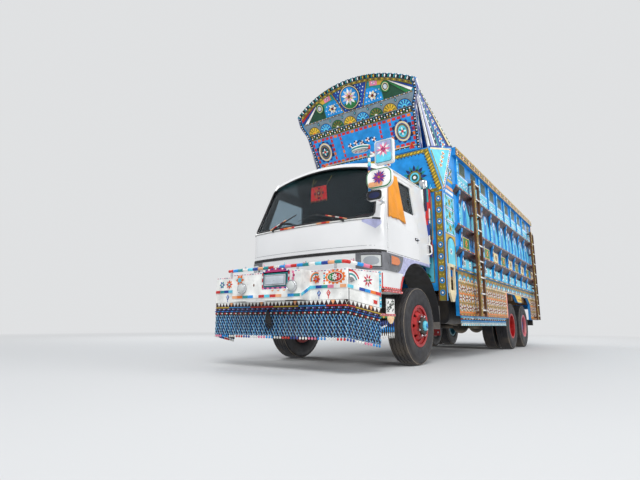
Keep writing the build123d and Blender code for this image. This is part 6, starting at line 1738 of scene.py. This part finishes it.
cloth_points = [cloth_place(i, j) for j in range(CLOTH_ROWS + 1) for i in range(CLOTH_COLUMNS + 1)]
for j in range(CLOTH_ROWS):
    for i in range(CLOTH_COLUMNS):
        a, b, c, d = (cloth_points[(j + dj) * (CLOTH_COLUMNS + 1) + i + di]
                      for dj, di in ((0, 0), (0, 1), (1, 1), (1, 0)))
cloth = Shapes("window_curtain", "left_cab_door", "cloth")
width = CLOTH_COLUMNS + 1
outer = [p + Vector((0.0016, 0, 0)) for p in cloth_points]
count = len(cloth_points)
faces = []
for j in range(CLOTH_ROWS):
    for i in range(CLOTH_COLUMNS):
        a = j * width + i
        faces.append((a, a + width, a + width + 1, a + 1))
        faces.append((count + a, count + a + 1, count + a + width + 1, count + a + width))
edge = list(range(width)) + [j * width + CLOTH_COLUMNS for j in range(1, CLOTH_ROWS + 1)]
edge += [CLOTH_ROWS * width + i for i in range(CLOTH_COLUMNS - 1, -1, -1)]
edge += [j * width for j in range(CLOTH_ROWS - 1, 0, -1)]
for a, b in zip(edge, edge[1:] + edge[:1]):
    faces.append((a, b, count + b, count + a))
cloth.solid(cloth_points + outer, faces, woven("cloth", (240, 150, 22)), True)
curtain = cloth.make()
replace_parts(curtain, "window_cloth")

# Seats: stuffed cushions on plain plinths
SEAT_FLOOR = 1.44
SEAT_FRONT, SEAT_BACK = -0.31, 0.19
PAD_CUTS, PAD_SQUARENESS = 13, 7
CHANNEL_WIDTH, CHANNEL_DEPTH = 0.035, 0.012


def cushion(name, low, high, seams, upright):
    """A stuffed pad with sewn channels, rounded off by subdivision."""
    mesh = bpy.data.meshes.new(name)
    shape = bmesh.new()
    bmesh.ops.create_cube(shape, size=2.0)
    bmesh.ops.subdivide_edges(shape, edges=shape.edges[:], cuts=PAD_CUTS, use_grid_fill=True)
    middle = [(a + b) / 2 for a, b in zip(low, high)]
    half = [(b - a) / 2 for a, b in zip(low, high)]
    for vert in shape.verts:
        p = vert.co.copy()
        norm = sum(abs(c) ** PAD_SQUARENESS for c in p) ** (1 / PAD_SQUARENESS)
        sunk = sum(math.exp(-((p.x - s) / CHANNEL_WIDTH) ** 2) for s in seams) * CHANNEL_DEPTH
        q = p / norm
        place = [m + h * c for m, h, c in zip(middle, half, q)]
        if upright:
            place[1] += sunk * max(0.0, -q.y)
        else:
            place[2] -= sunk * max(0.0, q.z)
        vert.co = place
    shape.to_mesh(mesh)
    shape.free()
    mesh.materials.append(woven("seat", (96, 30, 36)))
    mesh.polygons.foreach_set("use_smooth", [True] * len(mesh.polygons))
    piece = put_in_scene(name, mesh)
    piece.modifiers.new("smooth", "SUBSURF").render_levels = 1
    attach(piece, "cab")
    return piece


plinths = Shapes("seat_plinths", "cab", "dash_plastic")
for name, middle_x, wide, seams in (("driver", -0.62, 0.52, (-0.45, 0.0, 0.45)),
                                    ("double", 0.42, 1.0, (-0.7, -0.35, 0.0, 0.35, 0.7))):
    x0, x1 = middle_x - wide / 2, middle_x + wide / 2
    rings = []
    for inset, rise in ((0.03, 0.002), (0.03, 0.16), (0.01, 0.20), (0.01, 0.25)):
        y0, y1 = at(SEAT_FRONT + inset), at(SEAT_BACK - inset)
        rings.append([(x, y, SEAT_FLOOR + rise) for x, y in (
            (x0 + inset, y0), (x1 - inset, y0), (x1 - inset, y1), (x0 + inset, y1))])
    plinths.loft(rings, seal, smooth=False)
    cushion(name + "_cushion", (x0, at(SEAT_FRONT), SEAT_FLOOR + 0.24),
            (x1, at(SEAT_BACK), SEAT_FLOOR + 0.42), seams, False)
    cushion(name + "_backrest", (x0, at(0.185), SEAT_FLOOR + 0.22), (x1, at(0.315), SEAT_FLOOR + 0.86),
            seams, True)
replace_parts(plinths.make(), "seats")

# Air intake: long strips of tape in many colours
intake = Shapes("intake_tape", "truck", "chrome")
INTAKE_X, INTAKE_Y = 1.02, 0.632
INTAKE_LOW, INTAKE_TOP = 1.46, 2.695
STRIPS = 11
for k in range(STRIPS):
    z = INTAKE_LOW
    while z < INTAKE_TOP - 0.005:
        top = min(z + random.uniform(0.10, 0.34), INTAKE_TOP)
        a0, a1 = 2 * math.pi * k / STRIPS, 2 * math.pi * (k + 0.94) / STRIPS
        ring = []
        for radius in (0.056, 0.0608 + 0.0008 * (k % 2)):
            angles = (a0, (a0 + a1) / 2, a1) if radius < 0.06 else (a1, (a0 + a1) / 2, a0)
            ring += [(INTAKE_X + radius * math.cos(a), at(INTAKE_Y) + radius * math.sin(a)) for a in angles]
        intake.loft([[(x, y, level) for x, y in ring] for level in (z, top - 0.004)],
                    paint(random.choice(["red", "deep", "white", "teal", "black", "aqua", "navy", "white"])),
                    smooth=False)
        z = top
for z in (1.47, 2.10, 2.69):
    intake.tube(hoop((INTAKE_X, at(INTAKE_Y), z), 0.064, 0.064, 20), 0.007, "silver", 6)
intake.make()
streamers = Shapes("intake_streamers", "truck", "bumper_paint")
for k in range(12):
    turn = math.radians(-105 + 17.5 * k)
    foot = Vector((INTAKE_X + 0.098 * math.cos(turn), at(INTAKE_Y) + 0.075 * math.sin(turn), 0))
    across = Vector((-math.sin(turn), math.cos(turn), 0)) * 0.0165
    z = 2.66
    while z > 1.62:
        low = max(z - random.uniform(0.16, 0.42), 1.56)
        sway = Vector((random.uniform(-0.004, 0.012), random.uniform(-0.006, 0.006), 0))
        colour = random.choice(["deep", "navy", "red", "white", "teal", "aqua", "black", "navy",
                                "red", "orange"])
        thick = Vector((math.cos(turn), math.sin(turn), 0)) * 0.003
        outline = [foot - across, foot + across, foot + across + thick, foot - across + thick]
        streamers.loft([[p + sway * f + Vector((0, 0, level)) for p in outline]
                        for f, level in ((0, z), (1, (z + low) / 2), (0, low + 0.003))], paint(colour),
                       smooth=False)
        z = low
for z in (1.66, 2.16, 2.655):
    streamers.tube(hoop((INTAKE_X, at(INTAKE_Y), z), 0.102, 0.079, 24), 0.006, chassis_black(), 6)
for k in range(7):
    turn = math.radians(-100 + 30 * k)
    start = Vector((INTAKE_X + 0.10 * math.cos(turn), at(INTAKE_Y) + 0.08 * math.sin(turn), 2.655))
    tip = start + Vector((0.03 * math.cos(turn), 0.03 * math.sin(turn), random.uniform(0.03, 0.10)))
    streamers.tube([start, (start + tip) / 2 + Vector((0.008, 0, 0)), tip], [0.011, 0.009, 0.003],
                   ["aqua", "white", "teal"][k % 3], 7)
streamers.make()

# Steps: painted edges, a patterned plate and hanging leaves
STEP_Y = -0.93
for name, sign in SIDES:
    steps = Shapes(name + "_step_art", "truck", "bumper_paint")
    edge_board = outer_board(steps, sign, 1.12, STEP_Y)
    for z0, z1, y0, y1 in ((0.936, 0.964, 0.002, 0.458), (0.641, 0.669, -0.168, 0.228)):
        u0, u1 = (y0, y1) if sign > 0 else (-y1, -y0)
        edge_board.strip(u0, z0, u1, z1, "red", 1)
        edge_board.dots((u0, (z0 + z1) / 2), (u1, (z0 + z1) / 2), 11, 0.007, ["white", "aqua"], 2)
    front = front_board(steps, 0, STEP_Y)
    u0, u1 = (0.885, 1.118) if sign > 0 else (-1.118, -0.885)
    front.strip(u0, 0.936, u1, 0.964, "red", 1)
    front.dots((u0, 0.95), (u1, 0.95), 7, 0.007, ["white", "gold"], 2)
    plate = outer_board(steps, sign, 0.90, -0.92)
    u0, u1 = (0.0, 0.20) if sign > 0 else (-0.20, 0.0)
    plate.strip(u0, 0.672, u1, 0.932, "white", 1)
    for r in range(6):
        for c in range(4):
            if (r + c) % 2 == 0:
                plate.strip(u0 + (u1 - u0) * c / 4, 0.675 + 0.043 * r, u0 + (u1 - u0) * (c + 1) / 4,
                            0.718 + 0.043 * r, "black", 2)
    guard = outer_board(steps, sign, 1.108, -0.815, 0.668)
    guard.strip(-0.112, 0.0, 0.108, 0.196, "white", 2)
    guard.line((-0.112, 0.190), (0.108, 0.190), 0.012, "black", 3)
    for k in range(3):
        guard.petals(-0.065 + 0.062 * k, 0.055 + 0.042 * k, 0.008, 0.044, 6, ["black", "black", "forest"], 3,
                     0.7, 0.3 * k)
        guard.oval(-0.062 + 0.062 * k, 0.138 - 0.044 * k, 0.026, 0.010, "black", 3, 8, 0.8)
    hem = outer_board(steps, sign, 1.117, STEP_Y)
    hem.fan(sign * 0.10, 0.641, 0.092, 180, 360, ["cream"], 2, 0, 14)
    hem.fan(sign * 0.10, 0.641, 0.082, 184, 356, ["peach" if k % 2 else "cream" for k in range(9)], 3,
            0.02, 1)
    for k in range(7):
        u = sign * (-0.14 + 0.056 * k)
        hem.fan(u, 0.640, 0.026, 180, 360, ["gold" if k % 2 else "green"], 1, 0, 7)
        for j, colour in enumerate(("deep", "sky", "white")):
            leaf = [[(sign * (1.108 + dx), at(STEP_Y) + sign * u + dy, z - 0.072 * j)
                     for dx, dy in ((0, -w), (0.006, 0), (0, w), (-0.006, 0))]
                    for z, w in ((0.588, 0.003), (0.558, 0.016), (0.521, 0.002))]
            steps.loft(leaf, colour, smooth=False)
    steps.make()

# Mudguard flaps: a dark red foot and a pale hem
flaps = Shapes("flap_art", "truck", "guard_rubber")
flap_grey = plain_finish("flap", (122, 116, 110), 0.7, 0.9, 0.7, 1.2)
for sign in (1, -1):
    for y, way in ((0.855, 1), (0.870, -1)):
        flap = Board(flaps, (0, at(y), 0), (way, 0, 0), (0, 0, 1))
        u0, u1 = sorted((way * sign * 0.712, way * sign * 1.108))
        flap.strip(u0, 0.475, u1, 0.83, flap_grey)
        flap.strip(u0, 0.382, u1, 0.475, "crimson", 1)
        flap.line((u0, 0.480), (u1, 0.480), 0.008, "grey", 2)
        flap.dots((u0, 0.428), (u1, 0.428), 6, 0.014, ["brown", "grey"], 2, 10)
flaps.make()


# Tyres, wheel nuts and hubs
WHEEL_Z = 0.525
FRONT_TYRE_X, TWIN_TYRES_X, TWIN_HUB_X = 1.02, (0.774, 1.086), 0.93
CROWN_TOP, CROWN_FALL = 0.5245, 0.30
GROOVE_DEPTH, ZIGZAG, SLOT_DEPTH = 0.011, 0.0045, 0.009
TYRE_SIDE = [(0.104, 0.262), (0.116, 0.271), (0.124, 0.298), (0.1275, 0.301), (0.1365, 0.345), (0.139, 0.385),
             (0.1385, 0.42), (0.134, 0.452), (0.131, 0.455), (0.1275, 0.480)]
GROOVES = (-0.076, -0.026, 0.026, 0.076)
DUSTY_RING = ((0.1170, 0.5045), (0.1205, 0.5045), (0.1190, 0.5105), (0.1150, 0.5105), (0.1170, 0.5045))


def tyre_section():
    """Offsets and radii round a tyre's section, and what each point does: side, slot or groove."""
    half = [(x, r, "side") for x, r in TYRE_SIDE]
    half += [(0.121, 0.503, "slot"), (0.112, 0.5165, "slot"), (0.100, 0.5215, "rib")]
    crown = []
    for g in reversed(GROOVES):
        for dx, depth in ((0.0060, 0.0), (0.0042, GROOVE_DEPTH), (-0.0042, GROOVE_DEPTH), (-0.0060, 0.0)):
            crown.append((g + dx, CROWN_TOP - CROWN_FALL * g * g - depth, "groove"))
    return half + crown + [(-x, r, kind) for x, r, kind in reversed(half)]


def tyre(shapes, x, y, steps=132):
    """A road tyre with ribs between zigzag grooves and with slots in its shoulders."""
    section = tyre_section()
    n = len(section)
    points, faces, treads = [], [], []
    for k, a in enumerate(turns(steps)):
        for offset, radius, kind in section:
            if kind == "groove":
                offset += ZIGZAG if k % 4 < 2 else -ZIGZAG
            if kind == "slot" and k % 3 == 0:
                radius -= SLOT_DEPTH
            points.append((x + offset, at(y) + radius * math.cos(a), WHEEL_Z + radius * math.sin(a)))
    for k in range(steps):
        for i in range(n):
            j = (i + 1) % n
            m = (k + 1) % steps
            faces.append((k * n + i, m * n + i, m * n + j, k * n + j))
            treads.append(len(TYRE_SIDE) - 1 <= i < n - len(TYRE_SIDE))
    first = len(shapes.faces)
    shapes.solid(points, faces, rubber(), True)
    dust = plain_finish("dust_edge", (136, 126, 114), 0.8, 0.95)
    for way in (-1, 1):
        shapes.turned((x, at(y), WHEEL_Z), (1, 0, 0), mirrored(DUSTY_RING, way)[::way], dust, 96)
    tread = shapes.mark(tread_rubber())
    for index, is_tread in enumerate(treads):
        if is_tread:
            shapes.marks[first + index] = tread
            shapes.smooth[first + index] = False


def wheel_nuts(shapes, sign, x, y, ring, count, size):
    """Plated nuts on a ring, pointing outwards."""
    for a in middles(0, 2 * math.pi, count):
        centre = (x, at(y) + ring * math.cos(a), WHEEL_Z + ring * math.sin(a))
        nut = [(-0.002, size), (size * 1.3, size), (size * 1.55, size * 0.75)]
        stud = [(size * 1.5, size * 0.62), (size * 2.0, size * 0.6), (size * 2.3, 0.001)]
        shapes.turned(centre, (sign, 0, 0), nut, chrome(), 6, False)
        shapes.turned(centre, (sign, 0, 0), stud, chrome(), 10)


# Trims turned about the wheel's axis: distances out from the hub's middle and radii, finish and sides
FRONT_TRIMS = (
    ([(0.150, 0.100), (0.150, 0.1135), (0.1915, 0.1085), (0.1925, 0.066), (0.180, 0.060), (0.150, 0.100)],
     chassis_black(), 32),
    ([(0.188, 0.0005), (0.189, 0.0700), (0.206, 0.0675), (0.2175, 0.0600), (0.2265, 0.032), (0.2295, 0.0005)],
     "aqua", 28),
    ([(0.226, 0.0005), (0.2285, 0.034), (0.2310, 0.0005)], "sky", 20),
    ([(0.148, 0.157), (0.1525, 0.1565), (0.1525, 0.1625), (0.148, 0.1625), (0.148, 0.157)], "crimson", 32),
)
TWIN_HUB = [(0.016, 0.100), (0.016, 0.1145), (0.1515, 0.1085), (0.1525, 0.068), (0.140, 0.060),
            (0.016, 0.100)]
TWIN_CAP = [(0.149, 0.0005), (0.150, 0.069), (0.1675, 0.058), (0.1735, 0.0005)]
TWIN_RING = [(0.020, 0.212), (0.0365, 0.2385), (0.039, 0.2375), (0.0225, 0.211), (0.020, 0.212)]
# On the rearmost pair's outer rim, out from the outer tyre's middle
RIM_RINGS = (
    ([(0.050, 0.2475), (0.126, 0.2475), (0.1285, 0.2500), (0.1285, 0.2820), (0.1305, 0.2820),
      (0.1308, 0.2435), (0.050, 0.2435), (0.050, 0.2475)],
     plain_finish("ring_pink", (206, 84, 104), 0.3, 0.5), 48),
    ([(-0.100, 0.2475), (0.049, 0.2475), (0.049, 0.2445), (-0.100, 0.2445), (-0.100, 0.2475)], "sky", 48),
)


def trims(shapes, sign, x, y, rows):
    for profile, finish, sides in rows:
        shapes.turned((sign * x, at(y), WHEEL_Z), (sign, 0, 0), profile, finish, sides)


for side, sign in SIDES:
    wheel = Shapes(side + "_front_tyre_treaded", side + "_front_wheel", "tyre")
    tyre(wheel, sign * FRONT_TYRE_X, 0.0)
    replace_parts(wheel.make(), side + "_front_tyre")
    hub = Shapes(side + "_front_hub_trim", side + "_front_wheel", "rim_paint")
    wheel_nuts(hub, sign, sign * 1.170, 0.0, 0.136, 8, 0.0165)
    trims(hub, sign, FRONT_TYRE_X, 0.0, FRONT_TRIMS)
    hub.make()
    for name, y, hub_colour, cap in (("middle", 5.242, "cream", "peach"), ("rear", 6.546, "white", "pink")):
        wheels = Shapes(f"{side}_{name}_tyres_treaded", f"{side}_{name}_wheels", "tyre")
        for x in TWIN_TYRES_X:
            tyre(wheels, sign * x, y)
        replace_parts(wheels.make(), f"{side}_{name}_tyres")
        hub = Shapes(f"{side}_{name}_hub_trim", f"{side}_{name}_wheels", "rim_paint")
        wheel_nuts(hub, sign, sign * 0.944, y, 0.162, 10, 0.0155)
        trims(hub, sign, TWIN_HUB_X, y, ((TWIN_HUB, hub_colour, 32), (TWIN_CAP, cap, 28)))
        if name == "rear":
            trims(hub, sign, TWIN_TYRES_X[1], y, RIM_RINGS)
            trims(hub, sign, TWIN_HUB_X, y, ((TWIN_RING, "white", 40),))
        hub.make()

# Lamps, rope hooks and painted panels at the back
tail = Shapes("tail_lamps", "truck", "lamp_lens")
LAMP_GLASS = [(-0.004, 0.0005), (-0.003, 0.040), (0.012, 0.040), (0.016, 0.036), (0.020, 0.020),
              (0.0215, 0.0005)]
LAMP_RING = [(-0.004, 0.0395), (-0.004, 0.044), (0.013, 0.044), (0.013, 0.0395), (-0.004, 0.0395)]
RED, AMBER = ("red", (196, 24, 22)), ("amber", (240, 128, 20))
for sign in (1, -1):
    for dx, tint in ((-0.085, RED), (0.0, AMBER), (0.085, RED)):
        middle = (sign * 0.98 + dx, at(8.175), 0.62)
        tail.turned(middle, (0, 1, 0), LAMP_GLASS, lens(*tint), 24)
        tail.turned(middle, (0, 1, 0), LAMP_RING, chrome(), 24)
tail.make()

hooks = Shapes("rope_hooks", "truck", "chassis_paint")
for sign in (1, -1):
    path = [(sign * 1.285, at(y), z)
            for y, z in ((8.05, 1.955), (8.27, 1.955), (8.30, 1.72), (8.19, 1.70), (8.19, 1.78))]
    hooks.tube(rounded(path, 0.04), 0.011, steel(), 8)
    for z in (1.45, 2.15):
        path = [(sign * 1.285, at(y), z + rise)
                for y, rise in ((8.05, 0), (8.13, 0), (8.16, 0.03), (8.14, 0.065), (8.11, 0.055))]
        hooks.tube(rounded(path, 0.015, 3), 0.010, steel(), 8)
    hooks.tube([(sign * 1.28, at(8.04), 1.10), (sign * 1.28, at(8.10), 1.12), (sign * 1.29, at(8.12), 1.18)],
               0.012, steel(), 8)
hooks.make()

rear = Shapes("rear_art", "truck", "body_paint")
RIBS = [-1.22, -0.98, -0.49, 0.0, 0.49, 0.98, 1.22]
upper = back_board(rear, 8.025)
for k, (x0, x1) in enumerate(zip(RIBS, RIBS[1:])):
    u0, u1 = -x1 + 0.035, -x0 - 0.035
    if u1 - u0 < 0.15:
        continue
    ground, petals = ("deep", ["white", "pink"]) if k % 2 else ("teal", ["gold", "orange"])
    for v0, v1 in ((2.38, 2.72), (2.76, 3.10), (3.14, 3.50)):
        blossom_panel(upper, u0, v0, u1, v1, ground, petals, ["red", "white"])
for x in RIBS[1:-1]:
    rib = back_board(rear, 8.045)
    rib.dashes((-x, 2.38), (-x, 3.52), 16, 0.030, ["gold", "red", "white", "green"], 1)
for sign in (1, -1):
    post = back_board(rear, 8.063)
    post.strip(-sign * 1.28 - 0.032, 0.70, -sign * 1.28 + 0.032, 3.52, "gold", 1)
    post.dots((-sign * 1.28, 0.72), (-sign * 1.28, 3.50), 40, 0.020, ["deep", "red", "white", "green"], 2, 10)
step_back = back_board(rear, 8.44, 1.09)
step_back.strip(-1.245, -0.083, 1.245, 0.083, "peach", 1)
step_back.frame(-1.235, -0.075, 1.235, 0.075, 0.014, "crimson", ["gold", "white"], 0.05, 2)
for k in range(13):
    u = -1.14 + 0.19 * k
    step_back.flower(u, 0.0, 0.048, ["crimson", "cream"] if k % 2 else ["deep", "white"], ["gold", "red"],
                     8, 4)
for sign in (1, -1):
    end = outer_board(rear, sign, 1.25, 8.255, 1.09)
    end.strip(-0.180, -0.083, 0.180, 0.083, "peach", 1)
    end.frame(-0.168, -0.072, 0.168, 0.072, 0.012, "crimson", ["gold", "white"], 0.05, 2)
    for u in (-0.085, 0.085):
        end.rings(u, 0.0, 0.044, ["crimson", "cream", "brown", "white"], 4, 14)
rear.make()

gate = Shapes("tailgate_art", "tail_gate", "body_paint")
panel = back_board(gate, 8.040)
for k, (x0, x1) in enumerate(zip(RIBS, RIBS[1:])):
    u0, u1 = max(-x1 + 0.030, -1.17), min(-x0 - 0.030, 1.17)
    ground, petals = ("navy", ["white", "aqua"]) if k % 2 else ("green", ["peach", "red"])
    for v0, v1 in ((1.420, 1.815), (1.895, 2.290)):
        blossom_panel(panel, u0, v0, u1, v1, ground, petals, ["gold", "red"])
rails = back_board(gate, 8.060)
for v in (1.387, 1.856, 2.325):
    rails.dashes((-1.19, v), (1.19, v), 34, 0.026, ["gold", "red", "white", "deep"], 1)
gate.make()


# Camera at the photograph's place, by the road at the lorry's left front corner
CAMERA_PLACE = (3.5502, at(-5.695), 0.5445)
CAMERA_YAW = math.radians(35.825)
CAMERA_PITCH = math.radians(11.02)
CAMERA_ROLL = math.radians(0.393)
FOCAL_PIXELS = 430.06
PHOTO_WIDTH = 640
SENSOR_WIDTH = 36

forward = Vector((
    -math.sin(CAMERA_YAW) * math.cos(CAMERA_PITCH), math.cos(CAMERA_YAW) * math.cos(CAMERA_PITCH),
    math.sin(CAMERA_PITCH),
))
level_right = Vector((math.cos(CAMERA_YAW), math.sin(CAMERA_YAW), 0))
level_up = level_right.cross(forward)
right = level_right * math.cos(CAMERA_ROLL) + level_up * math.sin(CAMERA_ROLL)
up = -level_right * math.sin(CAMERA_ROLL) + level_up * math.cos(CAMERA_ROLL)
camera_data = bpy.data.cameras.new("camera")
camera_data.sensor_width = SENSOR_WIDTH
camera_data.lens = FOCAL_PIXELS * SENSOR_WIDTH / PHOTO_WIDTH
camera = put_in_scene("camera", camera_data)
camera.matrix_world = Matrix((
    (right.x, up.x, -forward.x, CAMERA_PLACE[0]), (right.y, up.y, -forward.y, CAMERA_PLACE[1]),
    (right.z, up.z, -forward.z, CAMERA_PLACE[2]), (0, 0, 0, 1),
))
bpy.context.scene.camera = camera
bpy.context.scene.view_settings.view_transform = "Standard"


# Plain pale floor that fades into the same pale background, and four soft lamps
PALE = (0.745, 0.755, 0.765)
FLOOR_REACH = 90


def floor_finish():
    """A matt floor that turns into the background's own colour far off and in gloss and glass."""
    n = Nodes("floor")
    path = n.add("ShaderNodeLightPath")
    seen = n.add("ShaderNodeMath", {0: path.outputs["Is Glossy Ray"], 1: path.outputs["Is Transmission Ray"]},
                 operation="MAXIMUM").outputs[0]
    away = n.add("ShaderNodeVectorMath", {0: n.coords}, operation="LENGTH").outputs["Value"]
    fade = n.add("ShaderNodeMath", {0: seen, 1: n.levels(away, 6.5, 20.0)}, operation="MAXIMUM").outputs[0]
    glow = n.add("ShaderNodeEmission", {"Color": (*PALE, 1), "Strength": 1.0})
    n.set(Base_Color=(0.62, 0.625, 0.625, 1), Roughness=0.9)
    both = n.add("ShaderNodeMixShader", {"Fac": fade, 1: n.shader.outputs[0], 2: glow.outputs[0]})
    n.tree.links.new(both.outputs[0], n.tree.nodes["Material Output"].inputs["Surface"])
    return n.material


floor_mesh = bpy.data.meshes.new("floor")
floor_mesh.from_pydata([
    (-FLOOR_REACH, -FLOOR_REACH, 0), (FLOOR_REACH, -FLOOR_REACH, 0), (FLOOR_REACH, FLOOR_REACH, 0),
    (-FLOOR_REACH, FLOOR_REACH, 0),
], [], [(0, 1, 2, 3)])
floor_mesh.materials.append(floor_finish())
floor = put_in_scene("floor", floor_mesh)
floor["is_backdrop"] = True

# Sky light; what the camera, gloss and glass see of it is the background's own colour
SKY_COLOUR, SKY_STRENGTH = (0.86, 0.90, 0.96, 1), 0.55
world = bpy.data.worlds.new("world")
bpy.context.scene.world = world
world.use_nodes = True
tree = world.node_tree
sky = tree.nodes["Background"]
sky.inputs["Color"].default_value = SKY_COLOUR
sky.inputs["Strength"].default_value = SKY_STRENGTH
pale = tree.nodes.new("ShaderNodeBackground")
pale.inputs["Color"].default_value = (*PALE, 1)
path = tree.nodes.new("ShaderNodeLightPath")
seen = path.outputs["Is Camera Ray"]
for ray in ("Is Glossy Ray", "Is Transmission Ray"):
    either = tree.nodes.new("ShaderNodeMath")
    either.operation = "MAXIMUM"
    tree.links.new(seen, either.inputs[0])
    tree.links.new(path.outputs[ray], either.inputs[1])
    seen = either.outputs[0]
both = tree.nodes.new("ShaderNodeMixShader")
tree.links.new(seen, both.inputs["Fac"])
tree.links.new(sky.outputs[0], both.inputs[1])
tree.links.new(pale.outputs[0], both.inputs[2])
tree.links.new(both.outputs[0], tree.nodes["World Output"].inputs["Surface"])


def lamp(name, place, target, size, power):
    data = bpy.data.lights.new(name, "AREA")
    data.size, data.energy = size, power
    away = Vector(place) - Vector(target)
    turn = away.to_track_quat("Z", "Y").to_matrix().to_4x4()
    put_in_scene(name, data).matrix_world = Matrix.Translation(Vector(place)) @ turn


lamp("key", (5, -12, 11), (0, -2, 1.5), 6, 1150)
lamp("side", (13, 2, 8), (0, 1, 1.5), 7, 800)
lamp("far", (-12, 2, 9), (0, 0, 1.5), 8, 700)
lamp("back", (0, 15, 9), (0, 3, 1.5), 8, 600)

low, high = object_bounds()
